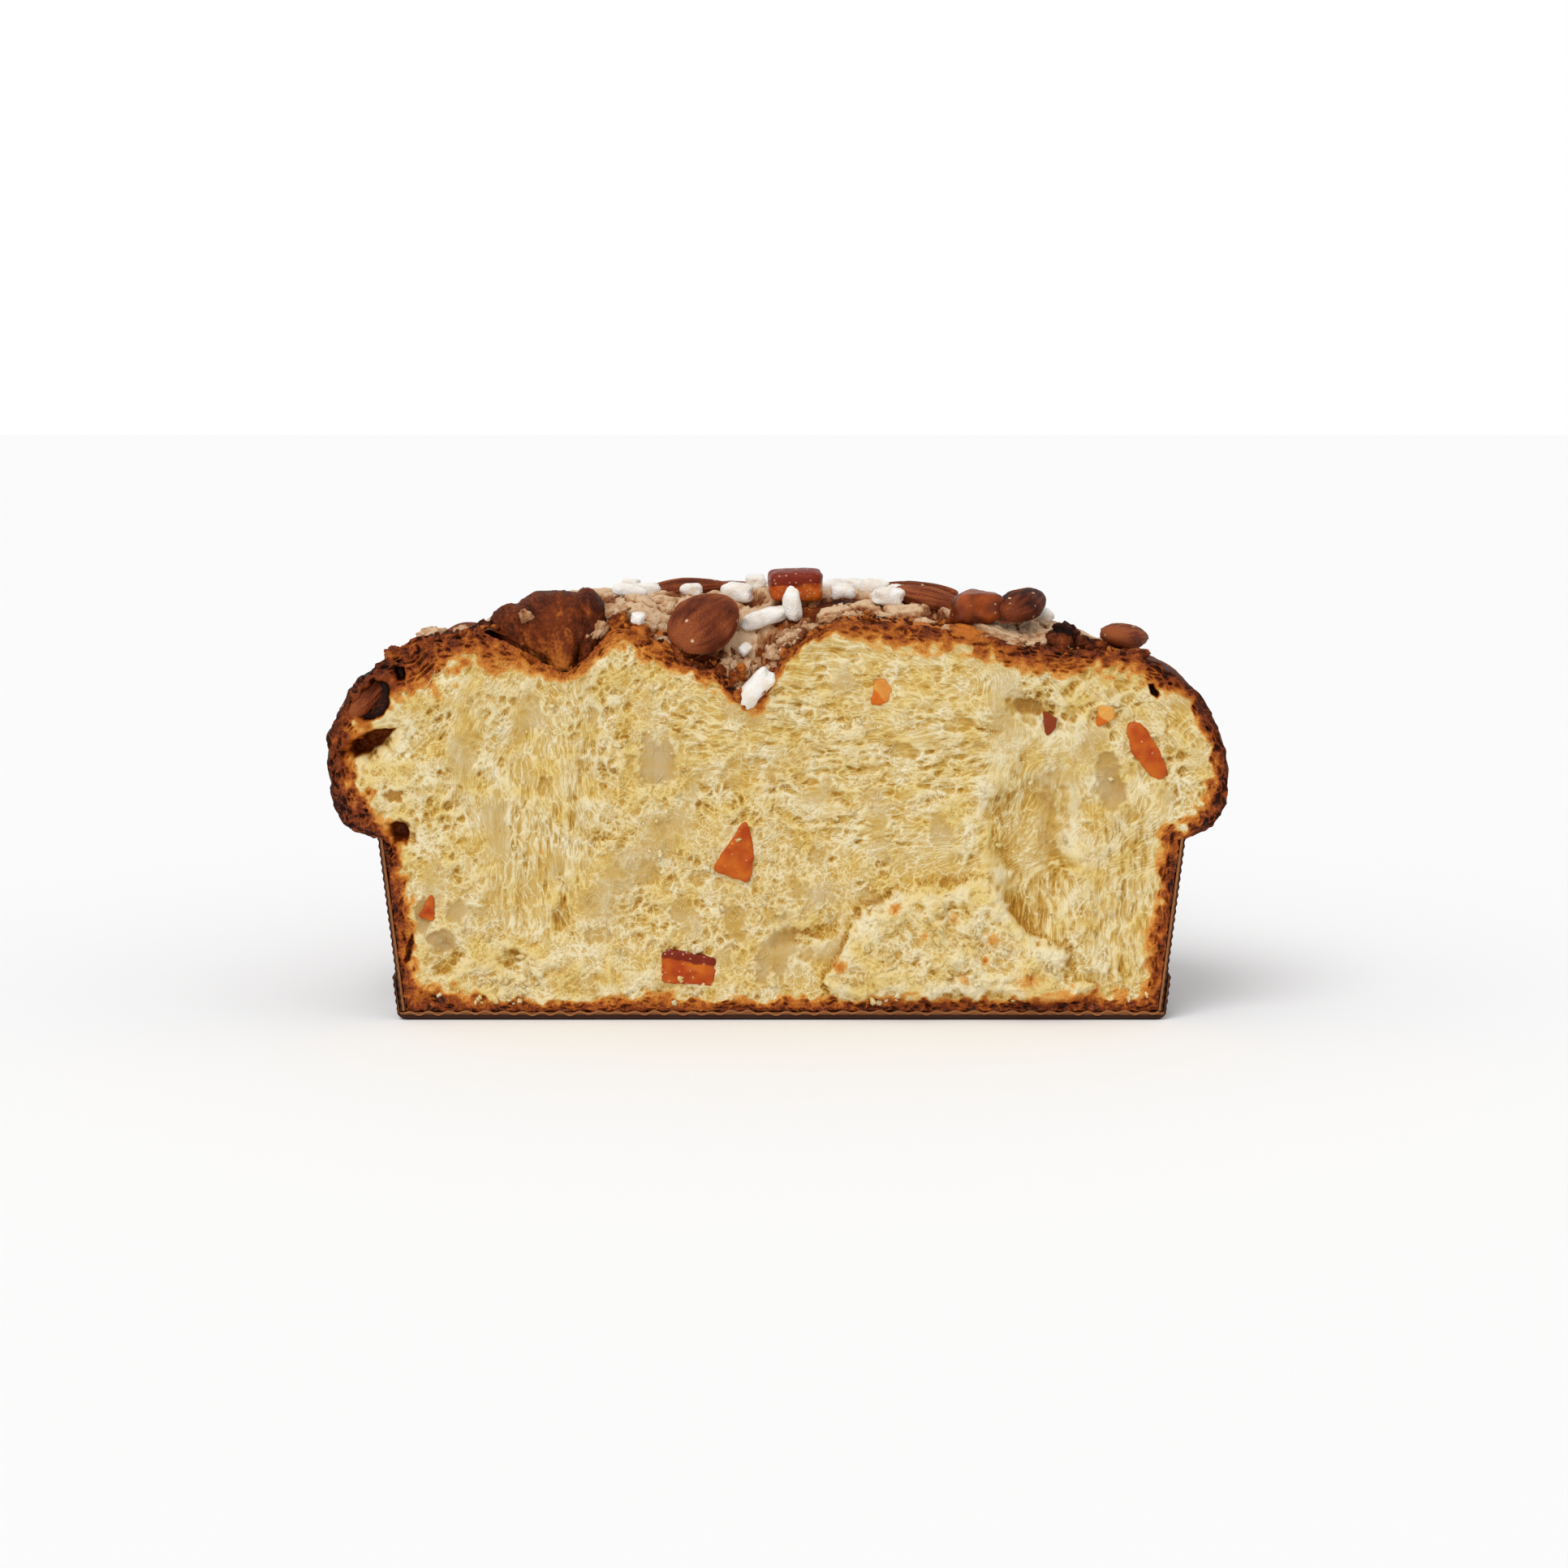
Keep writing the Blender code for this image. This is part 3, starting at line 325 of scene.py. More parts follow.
def shell(top: Array, bottom: Array, keep: Array) -> tuple[Array, Faces]:
    """A closed body between two grids of points, over the grid cells that are kept.

    Args:
        top: Upper grid, as (rows, columns, 3), rows along +Y and columns along +X.
        bottom: Lower grid of the same size.
        keep: Which of the (rows - 1) x (columns - 1) cells are filled.

    Returns:
        The points and the faces.
    """
    for _ in range(4):
        for one, other in (((0, 0), (1, 1)), ((0, 1), (1, 0))):
            block = [keep[i:keep.shape[0] - 1 + i, j:keep.shape[1] - 1 + j]
                     for i, j in (one, other, (one[0], other[1]), (other[0], one[1]))]
            pinched = block[0] & block[1] & ~block[2] & ~block[3]
            block[2][pinched] = True
    rows, columns = keep.shape
    quads = quads_over(numbered(rows + 1, columns + 1))
    a, b, c, d = quads.T.reshape(4, rows, columns)
    quads, under = quads[keep.ravel()], top.shape[0] * top.shape[1]
    faces = [quads, quads[:, ::-1] + under]
    around = np.pad(keep, 1)
    for down, right, p, q in ((-1, 0, a, b), (0, 1, b, c), (1, 0, c, d), (0, -1, d, a)):
        open_side = keep & ~around[1 + down:1 + down + rows, 1 + right:1 + right + columns]
        first, last = p[open_side], q[open_side]
        faces.append(np.stack([last, first, first + under, last + under], axis=1))
    faces = np.vstack(faces)
    used, faces = np.unique(faces, return_inverse=True)
    points = np.vstack([top.reshape(-1, 3), bottom.reshape(-1, 3)])
    return points[used], [faces.reshape(-1, 4)]


def ball(rings: int, segments: int) -> tuple[Array, Faces]:
    """Unit directions on rings between two poles on the X axis, and the faces over them.

    Args:
        rings: Rings between the poles.
        segments: Points on a ring.

    Returns:
        The directions, as (n, 3), and the faces, which point outwards.
    """
    tilt = np.linspace(0, math.pi, rings + 2)[1:-1, None]
    turn = np.linspace(0, 2 * math.pi, segments, endpoint=False)[None]
    ring = np.stack(
        [np.cos(tilt) + 0 * turn, np.sin(tilt) * np.cos(turn), np.sin(tilt) * np.sin(turn)], -1
    )
    points = np.vstack([[1, 0, 0], ring.reshape(-1, 3), [-1, 0, 0]])
    return points, ring_faces(1 + numbered(rings, segments), 0, len(points) - 1)


def rotation(axis: int, degrees: float) -> Array:
    """A turn about X, Y or Z, as axis 0, 1 or 2, anticlockwise seen from its tip."""
    c, s = cos_sin(degrees)
    matrix, one, other = np.eye(3), (axis + 1) % 3, (axis + 2) % 3
    matrix[one, one] = matrix[other, other] = c
    matrix[other, one], matrix[one, other] = s, -s
    return matrix


def turned(count: int, draw: Random) -> Array:
    """Random rotations, as (count, 3, 3), from random unit quaternions."""
    q = draw.normal(size=(4, count))
    w, x, y, z = q / np.linalg.norm(q, axis=0)
    return np.stack([
        np.stack([1 - 2 * (y * y + z * z), 2 * (x * y - z * w), 2 * (x * z + y * w)], -1),
        np.stack([2 * (x * y + z * w), 1 - 2 * (x * x + z * z), 2 * (y * z - x * w)], -1),
        np.stack([2 * (x * z - y * w), 2 * (y * z + x * w), 1 - 2 * (x * x + y * y)], -1),
    ], axis=1)


def scattered(shapes: Array, faces: Faces, frames: Array, places: Array) -> tuple[Array, Faces]:
    """Copies of a small shape, each with its own points, turned and moved into place.

    Args:
        shapes: Points of every copy before it is turned, as (copies, n, 3).
        faces: Faces of one copy.
        frames: Rotations, as (copies, 3, 3).
        places: Where each copy goes, as (copies, 3).

    Returns:
        The points and the faces of all the copies.
    """
    points = np.einsum("cij,cnj->cni", frames, shapes) + places[:, None]
    step = (np.arange(len(shapes)) * shapes.shape[1])[:, None, None]
    return points.reshape(-1, 3), [(block + step).reshape(-1, block.shape[1]) for block in faces]


def add_piece(name: str, points: Array, faces: Faces, finish: Material,
              replaces: str, masks: dict[str, Array] | None = None) -> bpy.types.Object:
    """Puts a mesh into the scene, smooth shaded, with its masks, finish and body, and hides the
    node it replaces.

    Args:
        name: The piece's name.
        points: Its points in millimetres, y from the cut face, as (n, 3).
        faces: Blocks of faces, each with its own number of corners.
        finish: Its material.
        replaces: The CAD node it stands for.
        masks: Values at each point that the material reads by name.

    Returns:
        The new object.
    """
    place = (points + [0, CUT_FACE_Y, 0]) * MM
    corners = np.concatenate([block.ravel() for block in faces])
    sizes = np.concatenate([np.full(len(block), block.shape[1]) for block in faces])
    mesh = bpy.data.meshes.new(name)
    mesh.vertices.add(len(place))
    mesh.vertices.foreach_set("co", place.astype(np.float32).ravel())
    mesh.loops.add(len(corners))
    mesh.loops.foreach_set("vertex_index", corners.astype(np.int32))
    mesh.polygons.add(len(sizes))
    starts = np.concatenate([[0], np.cumsum(sizes)[:-1]])
    mesh.polygons.foreach_set("loop_start", starts.astype(np.int32))
    mesh.update(calc_edges=True)
    mesh.shade_smooth()
    for mask, values in (masks or {}).items():
        kind, field = ("FLOAT", "value") if values.ndim == 1 else ("FLOAT_VECTOR", "vector")
        layer = mesh.attributes.new(mask, kind, "POINT")
        layer.data.foreach_set(field, np.asarray(values, np.float32).ravel())
    mesh.materials.append(finish)
    piece = bpy.data.objects.new(name, mesh)
    bpy.context.scene.collection.objects.link(piece)
    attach(piece, BODY)
    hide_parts(replaces)
    LOG.info("%s: %d triangles", name, int((sizes - 2).sum()))
    return piece


# ---- shader nodes ----


def paint(red: int, green: int, blue: int) -> tuple[float, float, float, float]:
    """A linear colour from the 0 to 255 values of a display."""
    linear = (
        c / 12.92 if c <= 0.04045 else ((c + 0.055) / 1.055) ** 2.4
        for c in (red / 255, green / 255, blue / 255)
    )
    return (*linear, 1.0)


class Graph:
    """Adds nodes to one node tree and links them."""

    def __init__(self, tree: bpy.types.NodeTree) -> None:
        """Keeps the tree that the nodes go into."""
        self.tree = tree

    def add(self, kind: str, inputs: dict | None = None, **settings: Any) -> bpy.types.Node:
        """One node.

        Args:
            kind: Its type without the ShaderNode prefix.
            inputs: Values or sockets for its inputs, by name or number.
            **settings: Its own properties.

        Returns:
            The node.
        """
        node = self.tree.nodes.new("ShaderNode" + kind)
        for key, value in settings.items():
            setattr(node, key, value)
        for key, value in (inputs or {}).items():
            if isinstance(value, Socket):
                self.tree.links.new(value, node.inputs[key])
            else:
                node.inputs[key].default_value = value
        return node

    def mask(self, name: str) -> Socket:
        """The value of a mesh's own mask."""
        return self.add("Attribute", attribute_name=name).outputs["Fac"]

    def math(self, operation: str, a: Any, b: Any = 0.0) -> Socket:
        """One operation on two values."""
        return self.add("Math", {0: a, 1: b}, operation=operation).outputs[0]

    def remap(self, value: Any, low: float, high: float, to_low: float = 0.0,
              to_high: float = 1.0) -> Socket:
        """A value carried from one range to another and kept in it."""
        node = self.add("MapRange", {0: value, 1: low, 2: high, 3: to_low, 4: to_high})
        return node.outputs[0]

    def sway(self, value: Any, by: Any, reach: float, middle: float = 0.0) -> Socket:
        """A value moved up and down by another that runs from 0 to 1."""
        return self.math("ADD", value, self.remap(by, 0, 1, middle - reach, middle + reach))

    def noise(self, size: Any, detail: float = 3.0, vector: Any = None) -> Socket:
        """Noise with lumps of a size in millimetres, from 0 to 1."""
        scale = self.math("DIVIDE", 1000.0, size)
        place = vector or self.add("TexCoord").outputs["Object"]
        inputs = {"Vector": place, "Scale": scale, "Detail": detail, "Roughness": 0.6}
        return self.add("TexNoise", inputs).outputs["Fac"]

    def blend(self, factor: Any, a: Any, b: Any, blend_type: str = "MIX") -> Socket:
        """A mix of two colours."""
        node = self.add("Mix", {0: factor, 6: a, 7: b}, data_type="RGBA", blend_type=blend_type)
        return node.outputs[2]

    def ramp(self, value: Any, stops: Sequence[tuple[float, tuple]]) -> Socket:
        """A colour read from a ramp with named stops."""
        node = self.add("ValToRGB", {0: value})
        elements = node.color_ramp.elements
        while len(elements) < len(stops):
            elements.new(0.5)
        for element, (position, colour) in zip(elements, stops):
            element.position, element.color = position, colour
        return node.outputs[0]


def effect_group(name: str, inputs: dict[str, Any], outputs: dict[str, str]) -> tuple:
    """An empty node group with named sockets.

    Args:
        name: The group's name.
        inputs: Its inputs with their first values: a number, or a colour of four.
        outputs: Its outputs with their socket types.

    Returns:
        The tree, its graph, the input node's outputs and the output node's inputs.
    """
    tree = bpy.data.node_groups.new(name, "ShaderNodeTree")
    for key, value in inputs.items():
        kind = "NodeSocketColor" if isinstance(value, tuple) else "NodeSocketFloat"
        socket = tree.interface.new_socket(key, in_out="INPUT", socket_type=kind)
        socket.default_value = value
    for key, kind in outputs.items():
        tree.interface.new_socket(key, in_out="OUTPUT", socket_type=kind)
    come = tree.nodes.new("NodeGroupInput")
    go = tree.nodes.new("NodeGroupOutput")
    return tree, Graph(tree), come.outputs, go.inputs


@dataclass(frozen=True)
class Effects:
    """The node groups that several finishes share."""

    mottle: bpy.types.NodeTree
    toast: bpy.types.NodeTree
    specks: bpy.types.NodeTree

    @classmethod
    def build(cls) -> Effects:
        """Builds the three groups once."""
        return cls(cls._mottle(), cls._toast(), cls._specks())

    @staticmethod
    def _mottle() -> bpy.types.NodeTree:
        """Large soft patches, and a fine grain with its height."""
        tree, graph, come, go = effect_group(
            "mottle", {"Patch size": 6.0, "Grain size": 0.5},
            {"Patches": "NodeSocketFloat", "Grain": "NodeSocketFloat"},
        )
        patches = graph.noise(come["Patch size"], 1.0)
        grain = graph.noise(come["Grain size"], 2.5)
        tree.links.new(graph.remap(patches, 0.33, 0.67), go["Patches"])
        tree.links.new(graph.remap(grain, 0.3, 0.7), go["Grain"])
        return tree

    @staticmethod
    def _toast() -> bpy.types.NodeTree:
        """A colour that browns from its own through honey, golden and brown to dark."""
        # The least and the greatest browning over which each colour comes in
        shades = {"Honey": (0.01, 0.12), "Golden": (0.1, 0.32), "Brown": (0.25, 0.6),
                  "Dark": (0.6, 1.0)}
        colours = dict.fromkeys(["Raw", *shades], (1.0, 1.0, 1.0, 1.0))
        tree, graph, come, go = effect_group(
            "toast", {"Toast": 0.0, **colours}, {"Color": "NodeSocketColor"})
        colour = come["Raw"]
        for shade, (low, high) in shades.items():
            colour = graph.blend(graph.remap(come["Toast"], low, high), colour, come[shade])
        tree.links.new(colour, go["Color"])
        return tree

    @staticmethod
    def _specks() -> bpy.types.NodeTree:
        """Scattered specks of a size; Amount is the share of spots that have one."""
        tree, graph, come, go = effect_group(
            "specks", {"Size": 1.0, "Amount": 0.3}, {"Mask": "NodeSocketFloat"},
        )
        place = graph.add("TexCoord").outputs["Object"]
        scale = graph.math("DIVIDE", 1000.0, come["Size"])
        spots = graph.add("TexVoronoi", {"Vector": place, "Scale": scale})
        ragged = graph.math("ADD", spots.outputs["Distance"], graph.math(
            "MULTIPLY", graph.noise(come["Size"], 4.0), 0.35))
        there = graph.add("SeparateColor", {0: spots.outputs["Color"]}).outputs[0]
        chosen = graph.math("LESS_THAN", there, come["Amount"])
        mask = graph.math("MULTIPLY", graph.remap(ragged, 0.5, 0.4), chosen)
        tree.links.new(mask, go["Mask"])
        return tree

    def specked(self, graph: Graph, size: float, amount: float) -> Socket:
        """Mask of specks of a size in millimetres, at a share of the spots."""
        specks = graph.add("Group", {"Size": size, "Amount": amount}, node_tree=self.specks)
        return specks.outputs["Mask"]

    def mottled(self, graph: Graph, patch: float, grain: float) -> tuple[Socket, Socket]:
        """Patches and grain of sizes in millimetres, each from 0 to 1."""
        sizes = {"Patch size": patch, "Grain size": grain}
        mottle = graph.add("Group", sizes, node_tree=self.mottle)
        return mottle.outputs["Patches"], mottle.outputs["Grain"]


@dataclass(frozen=True)
class Surface:
    """What every finish sets on its shader: gloss, bump and light passing through."""

    roughness: tuple[float, float]
    bump: float
    bump_distance: float
    through: float = 0.0
    through_radius: tuple[float, float, float] = (1.0, 0.5, 0.2)
    through_depth: float = 1.0
    coat: float = 0.0
    coat_roughness: float = 0.2
    specular: float = 0.5

    def shade(self, material: Material, graph: Graph, colour: Any, gloss: Any,
              height: Any) -> Material:
        """Links colour, gloss and height to a material's shader.

        Args:
            material: The material.
            graph: Its graph.
            colour: Socket for the base colour.
            gloss: Socket from 0 to 1 between the two roughness values.
            height: Socket for the bump.

        Returns:
            The material.
        """
        shader = material.node_tree.nodes["Principled BSDF"]
        links = graph.tree.links
        links.new(colour, shader.inputs["Base Color"])
        links.new(graph.remap(gloss, 0, 1, *self.roughness), shader.inputs["Roughness"])
        bump = graph.add(
            "Bump", {"Height": height, "Strength": self.bump, "Distance": self.bump_distance * MM}
        )
        links.new(bump.outputs[0], shader.inputs["Normal"])
        settings = {
            "Subsurface Weight": self.through, "Subsurface Radius": self.through_radius,
            "Subsurface Scale": self.through_depth * MM, "Coat Weight": self.coat,
            "Coat Roughness": self.coat_roughness, "Specular IOR Level": self.specular,
        }
        for socket, value in settings.items():
            shader.inputs[socket].default_value = value
        return material


def new_material(name: str) -> tuple[Material, Graph]:
    """A node material with its graph."""
    material = bpy.data.materials.new(name)
    material.use_nodes = True
    return material, Graph(material.node_tree)


@dataclass(frozen=True)
class CrumbFinish:
    """Torn yellow crumb: pale walls and golden hollows, with painted light on the walls and
    painted shade deepening into the hollows, and crust browning towards the edge.
    """

    # From the walls to the deepest hollows, as (depth, colour): the crumb's cream and yellow,
    # darkened with depth as painted shade
    depths: tuple = (
        (0.08, paint(232, 220, 184)), (0.4, paint(210, 187, 133)),
        (0.68, paint(193, 158, 80)), (1.0, paint(158, 110, 36)),
    )
    film: tuple = paint(190, 169, 130)
    tint: tuple = paint(247, 232, 182)
    honey: tuple = paint(216, 166, 88)
    golden: tuple = paint(200, 118, 38)
    brown: tuple = paint(138, 60, 17)
    dark: tuple = paint(46, 14, 3)
    mottle: tuple = (7.0, 0.45)
    # Nets of thin walls, as (cell size, width of the walls as a share of it)
    nets: tuple = ((2.6, 0.10), (1.2, 0.14))
    surface: Surface = Surface((0.85, 0.36), 0.35, 0.3, specular=0.14)

    def net(self, graph: Graph, size: float, wall: float) -> Socket:
        """Thin walls between cells, over the face's own threads, from 0 to 1."""
        place = graph.add("Attribute", attribute_name="threads").outputs["Vector"]
        wander = graph.add("TexNoise", {"Vector": place, "Scale": 0.8 / size, "Detail": 1.0})
        place = graph.add("VectorMath", {
            0: wander.outputs["Color"], 1: (1.5 * size,) * 3, 2: place}, operation="MULTIPLY_ADD")
        edges = graph.add("TexVoronoi", {"Vector": place.outputs[0], "Scale": 1 / size},
                          feature="DISTANCE_TO_EDGE")
        return graph.remap(edges.outputs["Distance"], wall, 0.2 * wall)

    def build(self, effects: Effects) -> Material:
        """The crumb's material."""
        material, graph = new_material("torn_crumb")
        patches, grain = effects.mottled(graph, *self.mottle)
        coarse, fine = (self.net(graph, *net) for net in self.nets)
        fade = graph.remap(graph.noise(3.4, 1.0), 0.36, 0.56)
        web = graph.math("MAXIMUM", graph.math("MULTIPLY", coarse, fade), graph.math(
            "MULTIPLY", fine, graph.remap(fade, 1.0, 0.0, 0.3, 0.9)))
        bare = graph.math("SUBTRACT", 1.0, graph.mask("film"))
        web = graph.math("MULTIPLY", web, bare)
        # Painted light and shade: the net's walls are lifted towards pale, and deeper hollows are
        # shifted towards golden brown
        hollow = graph.sway(graph.mask("hollow"), grain, 0.1)
        hollow = graph.math("SUBTRACT", hollow, graph.remap(web, 0, 1, -0.09, 0.52))
        raw = graph.ramp(hollow, self.depths)
        raw = graph.blend(graph.math("MULTIPLY", graph.mask("film"), 0.8), raw, self.film)
        raw = graph.blend(patches, raw, self.tint, "MULTIPLY")
        toast = graph.sway(graph.mask("toast"), grain, 0.07)
        # Painted shade: browning is deepened in the hollows and eased on the walls
        toast = graph.math("MULTIPLY", toast, graph.remap(hollow, 0.0, 0.9, 0.7, 1.4))
        colours = {"Toast": toast, "Raw": raw, "Honey": self.honey, "Golden": self.golden,
                   "Brown": self.brown, "Dark": self.dark}
        colour = graph.add("Group", colours, node_tree=effects.toast).outputs["Color"]
        # Painted shade: deep hollows are darkened where the crumb is browned
        pits = graph.remap(graph.mask("hollow"), 0.6, 1.0, 1.0, 0.62)
        painted_pit_shade = graph.add("CombineColor", {0: pits, 1: pits, 2: pits}).outputs[0]
        browned = graph.remap(toast, 0.15, 0.5)
        colour = graph.blend(browned, colour, graph.blend(1.0, colour, painted_pit_shade, "MULTIPLY"))
        height = graph.math("ADD", web, graph.math("MULTIPLY", grain, 0.6))
        return self.surface.shade(material, graph, colour, browned, height)


@dataclass(frozen=True)
class CrustFinish:
    """Baked skin: red-brown with darker patches, fine wrinkles and a slight gloss."""

    # From lightly baked to burnt, as (browning, colour)
    tones: tuple = (
        (0.1, paint(190, 108, 42)), (0.4, paint(118, 52, 19)),
        (0.7, paint(62, 22, 6)), (1.0, paint(22, 6, 2)),
    )
    dust: tuple = paint(186, 140, 96)
    # Sizes of patches and grain, how far each moves the tone, and (size, share) of the dust
    mottle: tuple = (9.0, 0.9)
    sways: tuple = (0.08, 0.12)
    specks: tuple = (1.0, 0.05)
    surface: Surface = Surface((0.66, 0.4), 0.7, 0.35, specular=0.08)

    def build(self, effects: Effects) -> Material:
        """The crust's material."""
        material, graph = new_material("baked_crust")
        patches, grain = effects.mottled(graph, *self.mottle)
        tone = graph.sway(graph.mask("toast"), patches, self.sways[0])
        colour = graph.ramp(graph.sway(tone, grain, self.sways[1]), self.tones)
        specks = effects.specked(graph, *self.specks)
        dusty = graph.math("MULTIPLY", specks, graph.mask("dust"))
        colour = graph.blend(dusty, colour, self.dust)
        return self.surface.shade(material, graph, colour, patches, grain)


@dataclass(frozen=True)
class GlazeFinish:
    """Baked almond glaze: dry beige plates, porous, with caramel cracks and edges."""

    # From pale plates to dark cracks, as (crack, colour)
    tones: tuple = (
        (0.05, paint(220, 186, 150)), (0.35, paint(188, 142, 100)),
        (0.68, paint(136, 74, 36)), (1.0, paint(66, 26, 10)),
    )
    # Sizes of patches and grain, and how far each moves the tone
    mottle: tuple = (4.0, 0.6)
    sways: tuple = (0.18, 0.12)
    surface: Surface = Surface((0.9, 0.45), 0.7, 0.35, specular=0.15)

    def build(self, effects: Effects) -> Material:
        """The glaze's material."""
        material, graph = new_material("baked_glaze_crust")
        patches, grain = effects.mottled(graph, *self.mottle)
        tone = graph.sway(graph.mask("crack"), patches, self.sways[0])
        colour = graph.ramp(graph.sway(tone, grain, self.sways[1]), self.tones)
        return self.surface.shade(material, graph, colour, patches, grain)


@dataclass(frozen=True)
class SugarFinish:
    """Pearl sugar: chalky white with a trace of syrup and small glints."""

    white: tuple = paint(246, 241, 234)
    syrup: tuple = paint(232, 214, 190)
    mottle: tuple = (3.0, 0.5)
    surface: Surface = Surface((0.75, 0.4), 0.6, 0.3, 0.35, (1.0, 0.9, 0.8), 1.4)

    def build(self, effects: Effects) -> Material:
        """The pearl sugar's material."""
        material, graph = new_material("pearl_sugar")
        patches, grain = effects.mottled(graph, *self.mottle)
        syrupy = graph.remap(patches, 0.4, 1, 0.0, 0.6)
        colour = graph.blend(syrupy, self.white, self.syrup)
        return self.surface.shade(material, graph, colour, patches, grain)


@dataclass(frozen=True)
class AlmondFinish:
    """Almond skin: matt red-brown, paler on the ridges and darker in the grooves, partly skin and
    partly painted light and shade, with a little dust.
    """

    # From ridge to groove, as (groove, colour); the darkening into the grooves is partly painted
    # shade
    tones: tuple = (
        (0.1, paint(148, 78, 42)), (0.42, paint(112, 50, 25)),
        (0.85, paint(64, 22, 8)), (1.0, paint(34, 15, 9)),
    )
    dust: tuple = paint(206, 168, 130)
    speck_size: float = 1.6
    # Sizes of patches and grain, and how far each moves the tone
    mottle: tuple = (5.0, 0.45)
    sways: tuple = (0.1, 0.16)
    surface: Surface = Surface((0.75, 0.55), 0.45, 0.2, specular=0.1)

    def build(self, effects: Effects, name: str, skin_darkening: float, dusting: float) -> Material:
        """One almond skin.

        Args:
            effects: The shared node groups.
            name: The material's name.
            skin_darkening: How much darker than the plain skin, below 0 lighter.
            dusting: Share of spots with a crumb of glaze on them.

        Returns:
            The material.
        """
        material, graph = new_material(name)
        patches, grain = effects.mottled(graph, *self.mottle)
        tone = graph.sway(graph.mask("groove"), grain, self.sways[1])
        colour = graph.ramp(graph.sway(tone, patches, self.sways[0], skin_darkening), self.tones)
        colour = graph.blend(effects.specked(graph, self.speck_size, dusting), colour, self.dust)
        return self.surface.shade(material, graph, colour, patches, grain)


@dataclass(frozen=True)
class PeelFinish:
    """Candied peel: clear orange flesh under a dark red skin, glossy, with sugar crystals."""

    flesh: tuple = paint(200, 102, 20)
    amber: tuple = paint(172, 62, 8)
    skin: tuple = paint(122, 34, 8)
    pale: tuple = paint(200, 150, 96)
    crystal: tuple = paint(222, 172, 132)
    crystal_size: float = 0.9
    mottle: tuple = (4.5, 0.8)
    surface: Surface = Surface((0.4, 0.18), 0.4, 0.4, 0.12, (1.0, 0.3, 0.06), 1.2,
                               coat=0.05, coat_roughness=0.12, specular=0.16)

    def build(self, effects: Effects, name: str, crystals: float) -> Material:
        """One kind of peel.

        Args:
            effects: The shared node groups.
            name: The material's name.
            crystals: Share of spots with a sugar crystal.

        Returns:
            The material.
        """
        material, graph = new_material(name)
        patches, grain = effects.mottled(graph, *self.mottle)
        colour = graph.blend(patches, self.flesh, self.amber)
        rind = graph.sway(graph.mask("rind"), grain, 0.1)
        colour = graph.blend(graph.remap(rind, 0.3, 0.8), colour, self.skin)
        colour = graph.blend(graph.remap(rind, -0.3, -0.55), colour, self.pale)
        specks = effects.specked(graph, self.crystal_size, crystals)
        colour = graph.blend(graph.math("MULTIPLY", specks, 0.55), colour, self.crystal)
        return self.surface.shade(material, graph, colour, patches, grain)


@dataclass(frozen=True)
class PaperFinish:
    """Baking paper: fibrous, dark brown outside and kraft brown inside."""

    outside: tuple = paint(58, 30, 17)
    worn: tuple = paint(98, 58, 36)
    kraft: tuple = paint(160, 102, 60)
    fibre_and_shadow_black: tuple = paint(20, 12, 8)
    mottle: tuple = (12.0, 0.35)
    surface: Surface = Surface((0.78, 0.55), 0.4, 0.15, specular=0.15)

    def build(self, effects: Effects) -> Material:
        """The case's material; its kraft mask is 1 inside, and below 0 on the underside and lowest
        edge, which are painted black as shadow.
        """
        material, graph = new_material("baking_paper")
        patches, grain = effects.mottled(graph, *self.mottle)
        wear = graph.math("MULTIPLY", patches, graph.mask("crest"))
        colour = graph.blend(graph.remap(wear, 0.1, 1.0, 0.0, 0.5), self.outside, self.worn)
        kraft = graph.mask("kraft")
        colour = graph.blend(graph.remap(kraft, 0.35, 0.65), colour, self.kraft)
        # Painted shadow: black on the underside and lowest edge, where the gap under the case is
        # dark
        colour = graph.blend(graph.remap(kraft, -0.35, -0.65), colour, self.fibre_and_shadow_black)
        fibres = graph.remap(grain, 0, 1, 0.0, 0.18)
        colour = graph.blend(fibres, colour, self.fibre_and_shadow_black)
        return self.surface.shade(material, graph, colour, patches, grain)


# ---- the loaf's form, from the frame's own driving sizes ----


